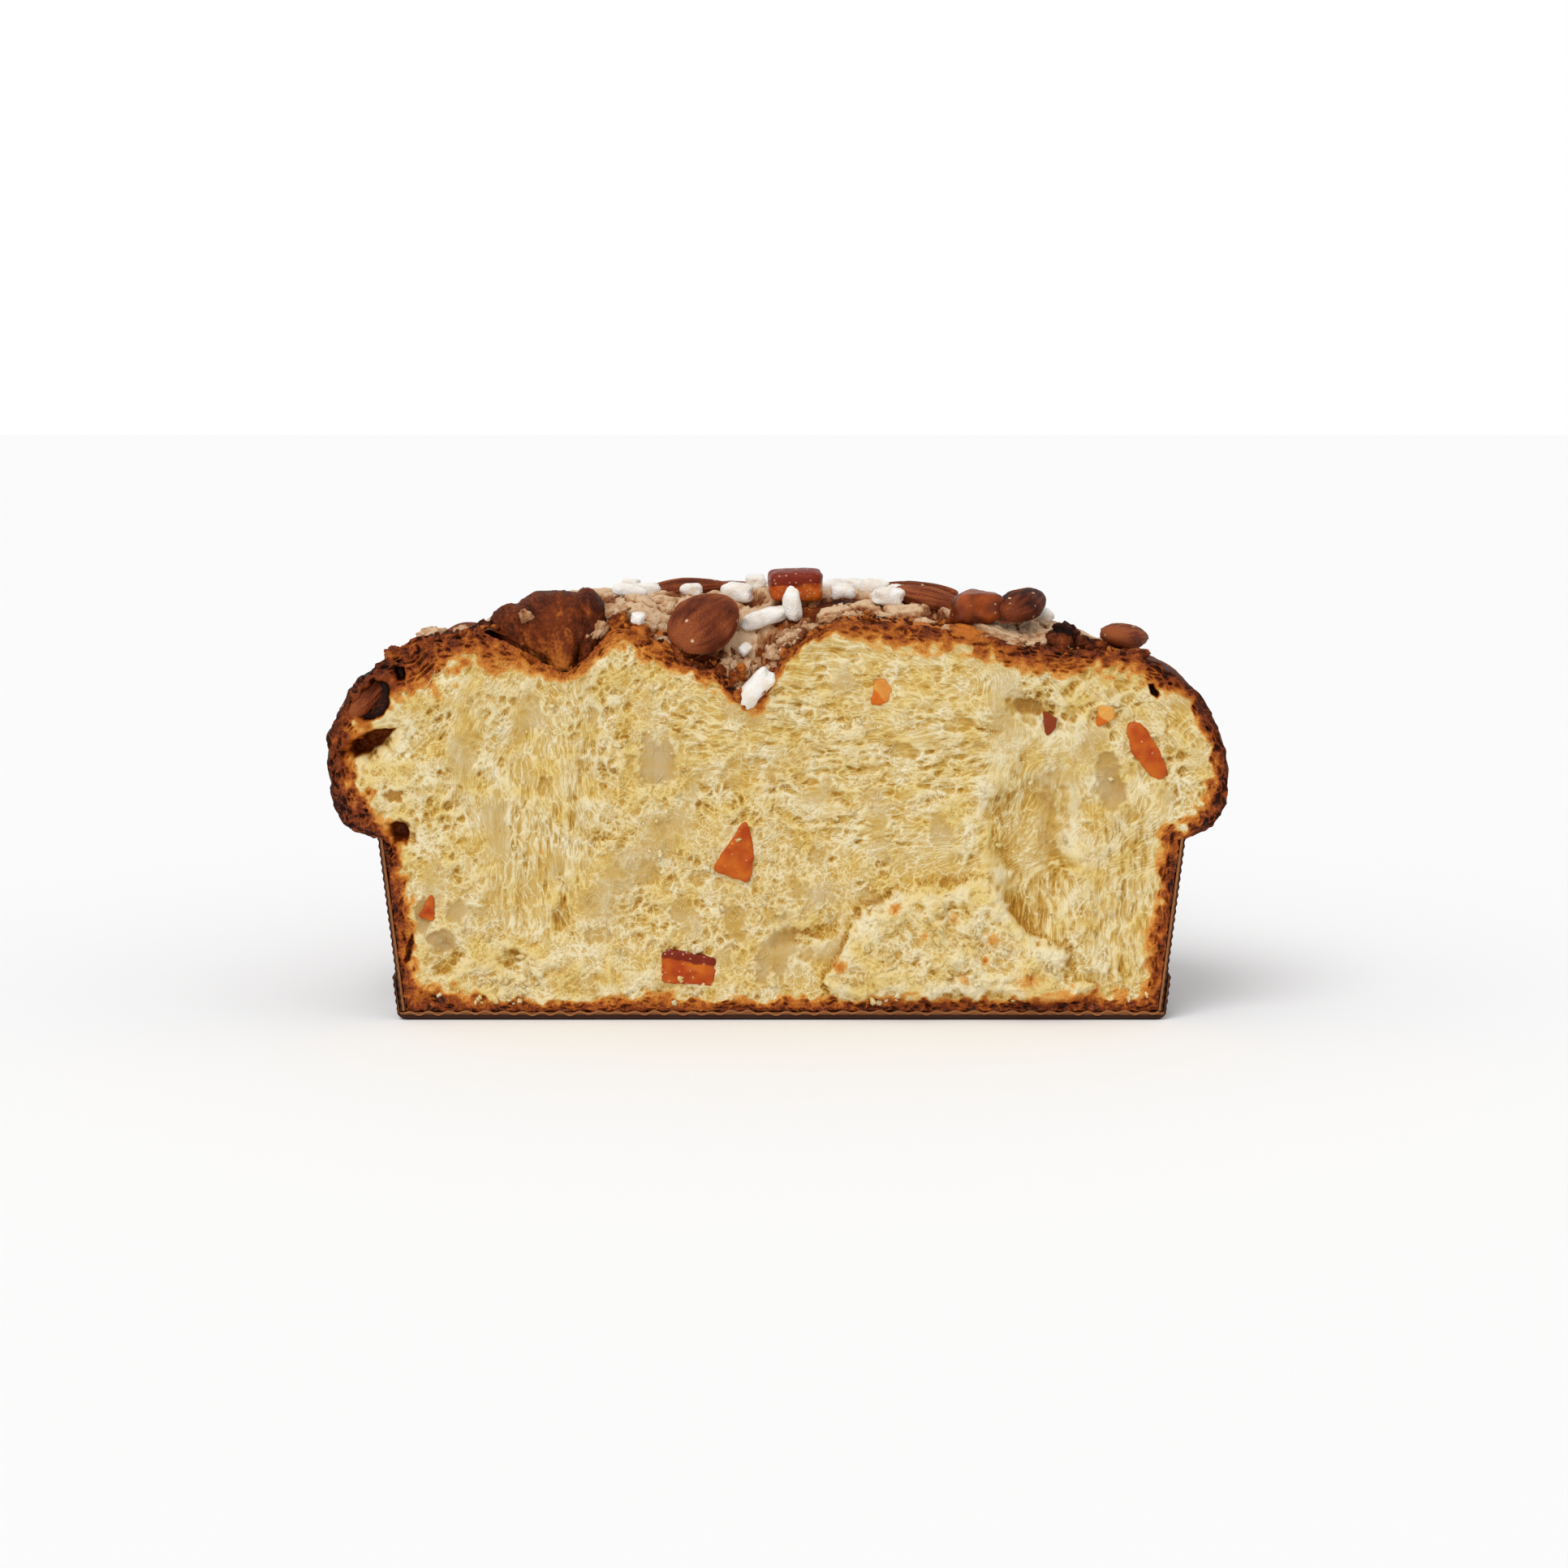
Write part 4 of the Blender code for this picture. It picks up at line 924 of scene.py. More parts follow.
@dataclass
class LoafForm:
    """The half loaf's outline, crown and torn face, in the frame's own driving sizes."""

    # Half of the case's rim, from the cut round to the tail, as (x, y)
    rim_half: tuple = (
        (102.5, 0), (102.5, 18), (100.5, 33), (92, 45), (78, 52), (66, 58), (58.5, 68),
        (56, 82), (59, 97), (63, 113), (61, 129), (50, 141), (30, 146.5), (0, 148),
    )
    # Profiles of the crown's right and left side, as (outside the rim, z)
    side_right: tuple = (
        (-1.5, 46.4), (0.6, 46.9), (3.4, 48.2), (6.6, 50.6), (9.5, 55.0), (10.8, 61.5),
        (9.6, 69.5), (6.4, 77.5), (2.0, 84.0), (-4.3, 89.2), (-12.5, 93.2),
    )
    side_left: tuple = (
        (-1.5, 46.4), (1.0, 46.9), (4.6, 48.2), (8.2, 50.8), (11.0, 56.0), (12.4, 64.0),
        (12.1, 71.0), (10.4, 76.5), (7.0, 82.5), (1.0, 89.5), (-8.0, 94.5),
    )
    # The cut's upper edge, and the ridge behind it, as (x, z)
    cut_top: tuple = (
        (-94.5, 94.5), (-89.6, 97.9), (-83.4, 98.9), (-77.2, 99.2), (-73.1, 100.4),
        (-68.9, 97.5), (-63.8, 95.0), (-58.6, 91.9), (-54.0, 88.8), (-49.3, 91.9),
        (-45.1, 97.3), (-41.0, 100.4), (-35.8, 99.4), (-31.7, 96.9), (-26.5, 93.8),
        (-20.3, 90.2), (-16.1, 90.2), (-13.4, 87.4), (-11.2, 84.0), (-8.7, 82.0),
        (-5.8, 83.4), (-3.1, 87.8), (0.4, 93.2), (5.6, 97.5), (12.8, 101.0),
        (20.1, 102.3), (28.4, 101.2), (38.7, 100.0), (49.1, 97.9), (59.4, 95.8),
        (69.8, 94.7), (80.1, 94.3), (90.0, 93.2),
    )
    ridge_top: tuple = (
        (-95, 93), (-84, 95), (-77, 97), (-72, 100.5), (-67, 103.6), (-58, 105), (-46, 105.6),
        (-34, 105), (-20, 105), (0, 106), (20, 106), (35, 104.8), (50, 102), (65, 98.8),
        (80, 95.5), (92, 92.5),
    )
    # Hollows in the face, as (x, z, half width, half height, tilt, depth)
    hollows: tuple = (
        (-104.2, 70.8, 7.6, 3.4, 24, 8.0), (-97.0, 47.4, 3.4, 3.6, 10, 4.5),
        (64.6, 81.4, 7.5, 3.0, -12, 2.4), (83.0, 60.5, 4.6, 7.5, 10, 1.6),
        (-70.0, 15.5, 5.0, 4.2, 20, 3.0), (-54.0, 26.0, 4.2, 5.0, -10, 2.2),
        (-86.5, 16.5, 6.5, 6.0, 30, 3.0), (6.0, 22.0, 9.0, 4.0, 25, 2.0),
        (40.0, 30.5, 7.5, 4.2, 10, 1.2),
    )
    # The long valley right of the middle, as (x, z, half width, half height, depth)
    valley: tuple = (63.0, 43.0, 11.5, 27.0, 4.5)
    # The torn chunk's upper edge as (x, z), and how far it stands out
    chunk_top: tuple = (
        (13, 6), (16, 22), (22, 29), (29, 34.5), (49, 35), (57, 28), (66, 20), (78, 8),
    )
    chunk_proud: float = 3.6
    floor: float = 2.3
    wall_top: float = 46.9
    wall_taper: float = 5.5
    wall_thickness: float = 1.2
    gap: float = 0.3
    columns: int = 52
    softness: float = 0.8
    tail: float = 148.0
    cut_reach: float = 13.0
    # y over which the ridge turns into the rear dome, and that dome's edge, rise, width and fall
    rear: tuple = (38.0, 64.0)
    rear_dome: tuple = (93.0, 9.0, 42.0, 5.5)
    # How far inside the shoulder, and behind the cut, the crown has its own height
    shoulder_blend: tuple = (11.0, 9.0)
    # Noise on the crown and the face, as (height, cell, seed)
    top_lumps: tuple = ((0.9, 13.0, 5), (0.5, 6.0, 6))
    face_lumps: tuple = ((0.7, 9.0, 21), (0.4, 4.5, 22))
    # Wavering of the sides outwards and upwards, as (height, how many, seed)
    waver: tuple = ((1.1, 30, 3), (0.9, 22, 8))

    def __post_init__(self) -> None:
        """Samples the rim and the shoulder that the heights are measured from."""
        right = np.array(self.rim_half, float)
        whole = np.concatenate([right, (right * [-1, 1])[-2::-1]])
        at = np.linspace(0, len(whole) - 1, 24 * (len(whole) - 1) + 1)
        whole = np.concatenate([right[1:2] * [1, -1], whole, right[1:2] * [-1, -1]])
        self.dense = spline(whole, at + 1)
        steps = np.hypot(*np.diff(self.dense, axis=0).T)
        self.rim_length = float(steps.sum())
        self.along = np.concatenate([[0], np.cumsum(steps)]) / self.rim_length
        self.heading = np.gradient(self.dense, axis=0)
        last = float(len(self.side_right) - 1)
        self.shoulder = self.side(np.linspace(0, 1, self.columns + 1), np.array(last))

    def rim(self, share: Array) -> tuple[Array, Array]:
        """Points on the case's rim and outward normals, at shares of its length."""
        points = np.stack([np.interp(share, self.along, self.dense[:, k]) for k in (0, 1)], -1)
        ahead = np.stack([np.interp(share, self.along, self.heading[:, k]) for k in (0, 1)], -1)
        normals = np.stack([ahead[..., 1], -ahead[..., 0]], -1)
        normals = normals / np.linalg.norm(normals, axis=-1, keepdims=True)
        ends = np.asarray((share <= 0) * 1.0 - (share >= 1) * 1.0)
        square = np.stack([ends, 0 * ends], -1)
        return points, np.where(ends[..., None] != 0, square, normals)

    def case_ring(self, share: Array, outside: Array, z: Array) -> Array:
        """Points at a distance outside the rim and at a height."""
        points, normals = self.rim(share)
        flat = points + normals * np.asarray(outside)[..., None]
        return np.concatenate([flat, np.broadcast_to(z, share.shape)[..., None]], -1)

    def wall_outside(self, z: Any) -> Array:
        """How far the case wall's outer face stands outside the rim at a height."""
        return -self.wall_taper * (1 - np.asarray(z) / self.wall_top)

    def side(self, share: Array, step: Array) -> Array:
        """Points of the crown's side: the right profile turns into the left one round the tail."""
        to_left = smooth_step(0.3, 0.7, share)[..., None]
        profile = spline(self.side_right, step) * (1 - to_left)
        profile = profile + spline(self.side_left, step) * to_left
        free = smooth_step(0, 0.08, share) * smooth_step(0, 0.08, 1 - share)
        free = free * smooth_step(1.5, 4, step)
        shifts = [size * free * lumps(share * count, (step - 1) * 0.5, 1, seed)
                  for size, count, seed in self.waver]
        return self.case_ring(share, profile[..., 0] + shifts[0], profile[..., 1] + shifts[1])

    def line(self, points: Any, x: Array) -> Array:
        """Height of the line through named (x, height) points, rounded a little."""
        xs, zs = np.array(points, float).T
        shifts = (-self.softness, 0, self.softness)
        return sum(np.interp(x + shift, xs, zs) for shift in shifts) / len(shifts)

    def height(self, x: Array, y: Array) -> Array:
        """Height of the crown: the cut's edge fades into the ridge, and that into the rear dome.

        Args:
            x: Across the cut.
            y: Back from the cut.

        Returns:
            The height above the base.
        """
        inward, _ = distance_to(self.shoulder[:, :2], x, y)
        edge_z, crown, width, fall = self.rear_dome
        rise = 1 - (1 - np.clip(inward / width, 0, 1)) ** 2
        rear = edge_z + crown * rise - fall * np.clip(y / self.tail, 0, 1)
        rear_share = smooth_step(*self.rear, y)
        behind = self.line(self.ridge_top, x) * (1 - rear_share) + rear * rear_share
        behind = roughened(behind, x, y, *self.top_lumps)
        cut_share = np.exp(-((y / self.cut_reach) ** 2))
        height = self.line(self.cut_top, x) * cut_share + behind * (1 - cut_share)
        edge = np.where(x > 0, self.side_right[-1][1], self.side_left[-1][1])
        blend, start = self.shoulder_blend
        back = smooth_step(0, start, y)
        meet = smooth_step(0, blend, inward) * back + (1 - back)
        return edge * (1 - meet) + height * meet

    def side_x(self, z: Array, left: bool) -> Array:
        """x of the face's left or right edge at a height: inside the case, then the crown."""
        sign, profile = (-1, self.side_left) if left else (1, self.side_right)
        dense = spline(profile, np.linspace(0, len(profile) - 1, 200))
        crown = np.interp(z, np.maximum.accumulate(dense[:, 1]), dense[:, 0])
        inset = self.wall_thickness + self.gap
        inside = self.wall_outside(np.minimum(z, self.wall_top)) - inset
        return sign * (self.rim_half[0][0] + np.where(z < profile[0][1], inside, crown))

    def behind_cut(self, x: Array, z: Array) -> Array:
        """Large relief of the torn face: how far it lies behind the plane of the cut."""
        depth = roughened(0, x, z, *self.face_lumps)
        for *hollow, deep in self.hollows:
            depth = depth + deep * (1 - smooth_step(0.35, 1.15, oval(x, z, *hollow)))
        *valley, deep = self.valley
        depth = depth + deep * (1 - smooth_step(0.5, 1.1, oval(x, z, *valley)))
        return depth - (self.chunk_proud + depth * 0.8) * self.chunk(x, z)

    def chunk(self, x: Array, z: Array) -> Array:
        """1 on the torn chunk that stands out at the foot of the face, and 0 off it."""
        top = np.interp(x, *np.array(self.chunk_top, float).T, left=0, right=0)
        return smooth_step(-1.5, 2.5, top - z) * smooth_step(4, 8, z)

    def ragged(self, x: Array, z: Array, near: Array) -> Array:
        """Small shifts of the crust's edge in x and z, as (..., 2), where near is 1."""
        free = near * smooth_step(46, 52, z) * (1 + 0.7 * smooth_step(-80, -96, x))
        return np.stack([
            0.3 * near * lumps(x, z, 0.9, seed) + 0.6 * free * lumps(x, z, 3.6, seed + 2)
            for seed in (71, 72)
        ], axis=-1)

    def normal(self, x: float, y: float, step: float = 2.5) -> Array:
        """Upward unit normal of the crown, from small steps to each side."""
        xs, ys = np.array([x - step, x + step, x, x]), np.array([y, y, y - step, y + step])
        z = self.height(xs, ys)
        normal = np.array([z[0] - z[1], z[2] - z[3], 2 * step])
        return normal / np.linalg.norm(normal)

    def resting(self, x: float, y: float, heading: float, lift: float,
                level: float = 0.0) -> tuple[Array, Array]:
        """Frame of a piece that lies on the crown, as (ahead, side, up), and its place.

        Args:
            x: Across the cut.
            y: Back from the cut.
            heading: Degrees from +X.
            lift: Height of its middle along the crown's normal.
            level: Turns it from the normal towards straight up.

        Returns:
            The rotation and the place.
        """
        up = self.normal(x, y) * (1 - level) + np.array([0, 0, 1]) * level
        up = up / np.linalg.norm(up)
        ahead = np.array([*cos_sin(heading), 0])
        side = np.cross(up, ahead)
        side /= np.linalg.norm(side)
        ahead = np.cross(side, up)
        ground = float(self.height(np.array([x]), np.array([max(y, 0.0)]))[0])
        return np.stack([ahead, side, up], axis=1), np.array([x, y, ground]) + up * lift


# ---- the torn face ----


@dataclass(frozen=True)
class Pores:
    """Scattered openings: their spacing, stretch, heading, depth, and how many are open."""

    size: float
    stretch: float
    heading: float
    depth: float
    opened: float
    wall: float = 0.08

    def depths(self, x: Array, z: Array, seed: float) -> Array:
        """Depth of the openings: a bowl that starts at thin walls between scattered centres."""
        across, along = stretched(x, z, self.heading, self.stretch)
        nearest, second, owner = cells(across, along, self.size, seed)
        bowl = smooth_step(self.wall, self.wall + 0.34, second - nearest)
        floor = 1 - 0.45 * smooth_step(0.0, 0.6, nearest)
        return self.depth * bowl * floor * smooth_step(1 - self.opened, 1.15 - self.opened, owner)


@dataclass(frozen=True)
class CrumbKind:
    """One character of crumb: its pores, and its threads with their stretch and heading."""

    pores: tuple[Pores, ...]
    thread: float
    thread_size: float
    thread_stretch: float
    thread_heading: float
    wander: float = 1.0

    def relief(self, x: Array, z: Array, seed: float) -> Array:
        """Height of threads less the depth of pores."""
        across, along = stretched(x, z, self.thread_heading, self.thread_stretch)
        height = self.thread * webs(across, along, self.thread_size, seed + 5, 2)
        for number, pores in enumerate(self.pores):
            height = height - pores.depths(x, z, seed + 40 * number)
        return height


FINE = CrumbKind((Pores(4.6, 1.3, 60, 0.9, 0.34), Pores(2.3, 1.3, 60, 0.9, 0.5),
                  Pores(1.1, 1.2, 20, 0.4, 0.6)), 0.14, 1.7, 1.5, 55, 0.7)
LENS = CrumbKind((Pores(3.6, 2.6, -7, 0.95, 0.4), Pores(1.7, 2.4, 2, 0.8, 0.5),
                  Pores(0.95, 1.8, -4, 0.36, 0.6)), 0.18, 1.6, 2.4, -4, 0.6)
ROUND = CrumbKind((Pores(4.4, 1.1, 20, 0.85, 0.6), Pores(2.4, 1.1, 0, 0.85, 0.55),
                   Pores(1.1, 1.1, 30, 0.4, 0.6)), 0.14, 1.8, 1.2, 30, 0.7)
STRANDS = CrumbKind((Pores(2.4, 4.4, 87, 0.9, 0.35), Pores(1.2, 4.0, 91, 0.6, 0.7),
                     Pores(0.7, 4.0, 86, 0.2, 0.8)), 0.34, 1.1, 7.0, 88, 0.35)
TORN = CrumbKind((Pores(2.9, 1.2, 10, 0.6, 0.35), Pores(1.2, 1.1, 0, 0.36, 0.7)),
                 0.6, 1.8, 1.3, 20)


@dataclass
class TornFace:
    """The face laid open by the cut, in slabs side by side that stand for the loaf's front."""

    form: LoafForm
    columns: int = 1080
    rows: int = 468
    slabs: int = 6
    # The slabs' flat backs lie this far behind their rearmost point, narrowed to this share
    behind: float = 0.8
    kept: float = 0.88
    sway: float = 1.3
    # Shares of the width over which the columns lean out, for the broad and the fine shape
    lean_reach: tuple = (0.32, 0.03)
    # How much of the widest relief is taken off, away from the crust
    flatten: float = 0.34
    # Noise on the crumb's x and z, and more of it round the torn chunk, as (height, cell, seed)
    warp: tuple = (((1.5, 6, 61), (0.6, 2.1, 62)), ((1.5, 6, 63), (0.6, 2.1, 64)))
    fray: tuple = (((2.2, 9, 75), (0.5, 1.1, 76)), ((2.2, 9, 77), (0.5, 1.1, 78)))
    # Patches of other crumb than FINE, as (kind, x, z, half width, half height)
    patches: tuple = (
        (LENS, 24, 70, 36, 30), (ROUND, -16, 30, 30, 17), (STRANDS, 64, 44, 13, 31),
        (STRANDS, 89, 36, 13, 30), (LENS, -15, 75, 22, 12), (STRANDS, -62, 48, 14, 30),
    )
    # Smooth bubbles as (x, z, half width, half height, tilt, depth, film 0 golden to 1 grey)
    bubbles: tuple = (
        (-31.9, 67.4, 6.2, 6.6, 0, 1.4, 0.9), (-8.9, 63.3, 8.6, 4.2, 12, 2.0, 0.1),
        (-34.8, 38.5, 4.1, 4.1, 0, 1.4, 0.5), (-22.0, 36.4, 2.8, 2.8, 0, 1.6, 0.2),
        (-25.5, 28.2, 3.6, 3.4, 0, 1.3, 0.5), (-12.0, 25.0, 4.1, 6.2, 0, 1.5, 0.4),
        (-1.6, 16.5, 5.2, 8.0, -28, 1.6, 0.8), (4.4, 33.2, 3.5, 3.5, 0, 1.3, 0.4),
        (8.8, 41.2, 3.2, 2.9, 0, 1.2, 0.3), (22.5, 31.2, 3.8, 2.6, -20, 1.0, 0.3),
        (6.8, 17.4, 2.2, 3.0, 10, 1.8, 0.1), (30.9, 68.9, 4.8, 1.9, -3, 1.8, 0.2),
        (44.5, 75.8, 3.8, 1.9, 14, 1.5, 0.2), (62.5, 79.0, 5.8, 3.6, -25, 2.6, 0.3),
        (83.0, 60.5, 4.6, 7.5, 10, 1.6, 0.9), (-91.0, 27.0, 2.6, 4.6, 5, 1.8, 0.9),
        (-86.5, 20.5, 4.0, 3.6, 30, 1.8, 1.0), (-82.5, 28.0, 3.4, 3.4, 0, 1.2, 0.9),
        (50.5, 70.0, 3.0, 1.3, 5, 1.2, 0.2), (14.5, 51.6, 4.4, 1.1, 6, 1.2, 0.1),
        (-46.0, 22.0, 3.6, 3.0, 20, 1.2, 0.3), (93.0, 71.0, 3.4, 1.6, 30, 1.2, 0.2),
        (88.5, 52.0, 3.0, 1.6, 10, 1.2, 0.2), (-60.0, 60.0, 2.2, 3.0, -20, 1.4, 0.1),
    )
    # Pockets in the crust as (corners as x and z, depth, darkening inside: browning with painted
    # shade)
    pockets: tuple = (
        (((-110.2, 70.9), (-103.9, 74.2), (-97.4, 74.6), (-101.3, 70.5), (-104.6, 67.9),
          (-108.7, 66.3)), 5.5, 0.5),
        (((-97.8, 90.0), (-95.2, 90.4), (-94.8, 86.6), (-97.2, 86.2)), 3.0, 0.8),
        (((-100.4, 50.6), (-96.2, 50.9), (-94.4, 48.2), (-95.0, 44.8), (-98.6, 44.9)), 3.0, 0.5),
        (((-101.3, 57.6), (-99.0, 59.2), (-95.8, 58.8), (-96.2, 55.9), (-98.8, 55.7)), 3.0, 0.06),
        (((92.2, 86.2), (93.8, 86.0), (95.6, 83.0), (94.8, 82.0), (93.0, 83.2)), 2.5, 0.92),
        (((-103.0, 87.2), (-99.4, 86.6), (-98.4, 81.0), (-101.6, 76.6), (-105.8, 76.4),
          (-109.0, 79.4), (-107.0, 82.2)), 3.4, 0.86),
        (((-66.0, 93.4), (-63.4, 95.0), (-61.4, 92.4), (-63.0, 90.8)), 2.4, 0.1),
        (((-94.6, 22.4), (-93.4, 22.6), (-93.6, 17.0), (-95.8, 13.4), (-96.4, 15.2)), 2.0, 0.7),
    )
    # Bits of dissolved peel as (x, z, radius, how orange)
    stains: tuple = (
        (28.6, 29.2, 1.3, 0.34), (43.5, 26.5, 0.9, 0.3), (53.8, 20.9, 1.6, 0.26),
        (51.7, 15.9, 0.9, 0.3), (62.4, 10.3, 2.2, 0.26), (14.8, 14.1, 1.4, 0.44),
        (36.0, 22.0, 1.0, 0.2), (46.6, 10.8, 1.2, 0.2), (-61.0, 43.0, 0.8, 0.2),
    )
    # Crust at places on the outline, as (x, z, thickness, how dark at the outside)
    crust: tuple = (
        (-95, 2.3, 8.0, 0.9), (-84, 2.3, 8.0, 0.8), (-74, 2.3, 3.6, 0.8), (-60, 2.3, 4.8, 0.74),
        (0, 2.3, 4.8, 0.74), (50, 2.3, 5.2, 0.76), (95, 2.3, 6.4, 0.75), (98, 25, 5.6, 0.72),
        (101, 45, 5.4, 0.9), (113, 62, 5.4, 1.3), (109, 78, 5.4, 1.2), (95, 91, 6.2, 1.0),
        (80, 94.3, 7.6, 0.9), (60, 95.8, 8.2, 0.8), (33, 100.6, 7.6, 0.74), (20, 102, 6.2, 0.74),
        (10, 99, 3.4, 0.7), (-2, 88, 3.4, 0.7), (-12, 85, 4.4, 0.9), (-18, 90, 4.8, 0.9),
        (-33, 97, 6.4, 0.66), (-45, 97, 4.6, 0.55), (-54, 88.8, 4.0, 0.55), (-64, 95, 5.2, 0.6),
        (-77, 99, 12.5, 0.78), (-90, 98, 15.0, 0.8), (-101, 91, 13.5, 1.0), (-110, 81, 10.0, 1.2),
        (-114.5, 70, 7.5, 1.3), (-114.5, 60, 8.5, 1.3), (-109, 50, 9.6, 1.2), (-101, 45, 4.6, 1.0),
        (-98, 25, 5.0, 0.85), (-96, 10, 6.0, 0.8),
    )

    def grid(self) -> tuple[Array, Array]:
        """x and z over the face: swaying columns that lean out to the crown's sides."""
        form = self.form
        u, v = np.linspace(0, 1, self.columns + 1), np.linspace(0, 1, self.rows + 1)[:, None]
        left, right = form.cut_top[0], form.cut_top[-1]
        x = left[0] + (right[0] - left[0]) * u + 0 * v
        z = form.floor + v * (form.line(form.cut_top, x[0]) - form.floor)
        broad, narrow = self.lean_reach
        for end, at_left, reach in ((left, True, u), (right, False, 1 - u)):
            edge_z = form.floor + v * (end[1] - form.floor)
            lean = form.side_x(edge_z, at_left) - end[0]
            smooth = blurred(lean, self.rows // 12)
            x = x + smooth * (1 - smooth_step(0, broad, reach))
            x = x + (lean - smooth) * (1 - smooth_step(0, narrow, reach))
        inside = smooth_step(0, 0.08, np.minimum(u, 1 - u)) * smooth_step(
            0, 0.08, np.minimum(v, 1 - v))
        swayed = roughened(0, 0 * x, z, (1.0, 9.0, 101), (0.4, 2.6, 102))
        return x + self.sway * inside * swayed, z

    def outline(self, x: Array, z: Array) -> Array:
        """The grid's border as a closed line, thinned out."""
        rim = border_of(*x.shape)
        line = np.stack([x.ravel()[rim], z.ravel()[rim]], axis=1)[::9]
        return np.vstack([line, line[:1]])

    def build(self, finish: Material) -> Array:
        """Builds the slabs.

        Args:
            finish: The crumb's material.

        Returns:
            The face's grid of points, for what lies on it.
        """
        form = self.form
        x, z = self.grid()
        line = self.outline(x, z)
        inward, place = distance_to(line, x, z)
        toast = self.toast(line, inward, place, x, z)
        out, film, pocket_shade_and_stains, threads, torn = self.relief(x, z, toast, inward, place)
        # How far each point lies below its surroundings, which the crumb's finish turns into
        # painted shade
        low, wide = blurred(out, 5) - out, blurred(out, 18) - out
        hollow = np.clip(0.42 - 0.1 * torn + 0.46 * low + 0.18 * wide, 0, 1)
        # Stains of dissolved peel, kept together with the pockets' painted shade
        for at_x, at_z, radius, orange in self.stains:
            near = np.hypot(x - at_x, z - at_z) / radius + 0.4 * lumps(x, z, 0.9, 99)
            pocket_shade_and_stains = np.maximum(pocket_shade_and_stains, orange * np.exp(-near * np.abs(near)))
        toast = np.clip(np.maximum(toast, pocket_shade_and_stains), 0, 1)
        out = out + self.flatten * wide * (1 - toast)
        shift = form.ragged(x, z, 1 - smooth_step(0, 4, inward))
        points = np.stack([x + shift[..., 0], -out, z + shift[..., 1]], axis=-1)
        masks = {"hollow": hollow, "toast": toast, "film": film, "threads": threads}
        edges = np.linspace(0, self.columns, self.slabs + 1).astype(int)
        for number, (start, end) in enumerate(zip(edges, edges[1:])):
            part = points[:, start:end + 1]
            rim = border_of(*part.shape[:2])
            middle = part.reshape(-1, 3).mean(axis=0)
            back = middle + self.kept * (part.reshape(-1, 3)[rim] - middle)
            column = start + rim % part.shape[1]
            shared = ((column == start) | (column == end)) & (column % self.columns > 0)
            back[shared, 0] = part.reshape(-1, 3)[rim[shared], 0]
            back[:, 1] = middle[1] = part[..., 1].max() + self.behind
            shape, faces = closed_patch(part, back, middle)
            layers = {}
            for key, mask in masks.items():
                front = mask[:, start:end + 1].reshape(part.shape[0] * part.shape[1], -1).squeeze()
                behind = np.full((len(rim) + 1, *front.shape[1:]), 0.5)
                layers[key] = np.concatenate([front, behind])
            slab = add_piece(f"crumb_slab_{number + 1}", shape, faces, finish,
                             "loaf", layers)
            # Only the face is smooth, so its shading runs on across the seams
            smooth = np.arange(len(slab.data.polygons)) < len(faces[0])
            slab.data.polygons.foreach_set("use_smooth", smooth)
        return points

    def toast(self, line: Array, inward: Array, place: Array, x: Array, z: Array) -> Array:
        """Browning: 1 at the outside, falling to 0 over the crust's thickness at that place.

        Args:
            line: The closed outline.
            inward: Distance from it.
            place: Length of outline before the nearest place.
            x: Across the face.
            z: Up the face.

        Returns:
            The browning at each point.
        """
        spots = np.array(self.crust, float)
        _, at = distance_to(line, spots[:, 0], spots[:, 1])
        order = np.argsort(at)
        length = np.hypot(*np.diff(line, axis=0).T).sum()
        thick, dark = (np.interp(place, at[order], spots[order, k], period=length) for k in (2, 3))
        thick = 0.86 * thick * roughened(1, x, z, (0.4, 6, 81), (0.4, 1.9, 82))
        brown = dark * np.clip(1 - (inward / thick) ** 1.5, 0, 1)
        flecks = 0.5 * lumps(place * 0.5, inward * 1.2, 1.0, 85) + lumps(x, z, 1.0, 86)
        return brown * roughened(1 + 0.24 * flecks, x, z, (0.26, 2.4, 97))

    def relief(self, x: Array, z: Array, toast: Array, inward: Array,
               place: Array) -> tuple[Array, Array, Array, Array, Array]:
        """How far each point stands out of the cut's plane.

        The coordinates are warped by noise, each kind of crumb gives its pores and threads
        inside its patches, smooth bubbles and pockets, darkened inside by browning and painted
        shade, are sunk into that, and the large relief of the frame is added.

        Args:
            x: Across the face.
            z: Up the face.
            toast: Browning, where the pores turn small.
            inward: Distance from the outline.
            place: Length of outline before the nearest place.

        Returns:
            The height out of the plane, the film mask, the pockets' darkening (browning and
            painted shade), the coordinates in millimetres that the finish lays its threads along,
            and where the crumb is torn.
        """
        form = self.form
        warped_x, warped_z = (
            roughened(at, x, z, *noise) for at, noise in zip((x, z), self.warp))
        rough_x, rough_z = (
            roughened(at, x, z, *noise) for at, noise in zip((warped_x, warped_z), self.fray))
        torn = np.maximum(form.chunk(rough_x, rough_z), self.foot(x, z))
        weights = [(TORN, torn)]
        left = 1 - torn
        for kind, *patch in self.patches:
            away = roughened(oval(x, z, *patch), x, z, (0.16, 8, 65))
            share = left * (1 - smooth_step(0.75, 1.15, away))
            weights.append((kind, share))
            left = left - share
        weights.append((FINE, left))
        out = np.zeros(x.shape)
        for number, (kind, share) in enumerate(weights):
            there = share > 0.001
            along = x + kind.wander * (warped_x - x), z + kind.wander * (warped_z - z)
            fine = kind.relief(along[0][there], along[1][there], 100 + 11 * number)
            out[there] += share[there] * fine
        calm = smooth_step(0.1, 0.6, lumps(warped_x, warped_z, 8, 88)) * (1 - torn)
        out = out * roughened(0.88, x, z, (0.36, 11, 66)) * (1 - 0.6 * calm)
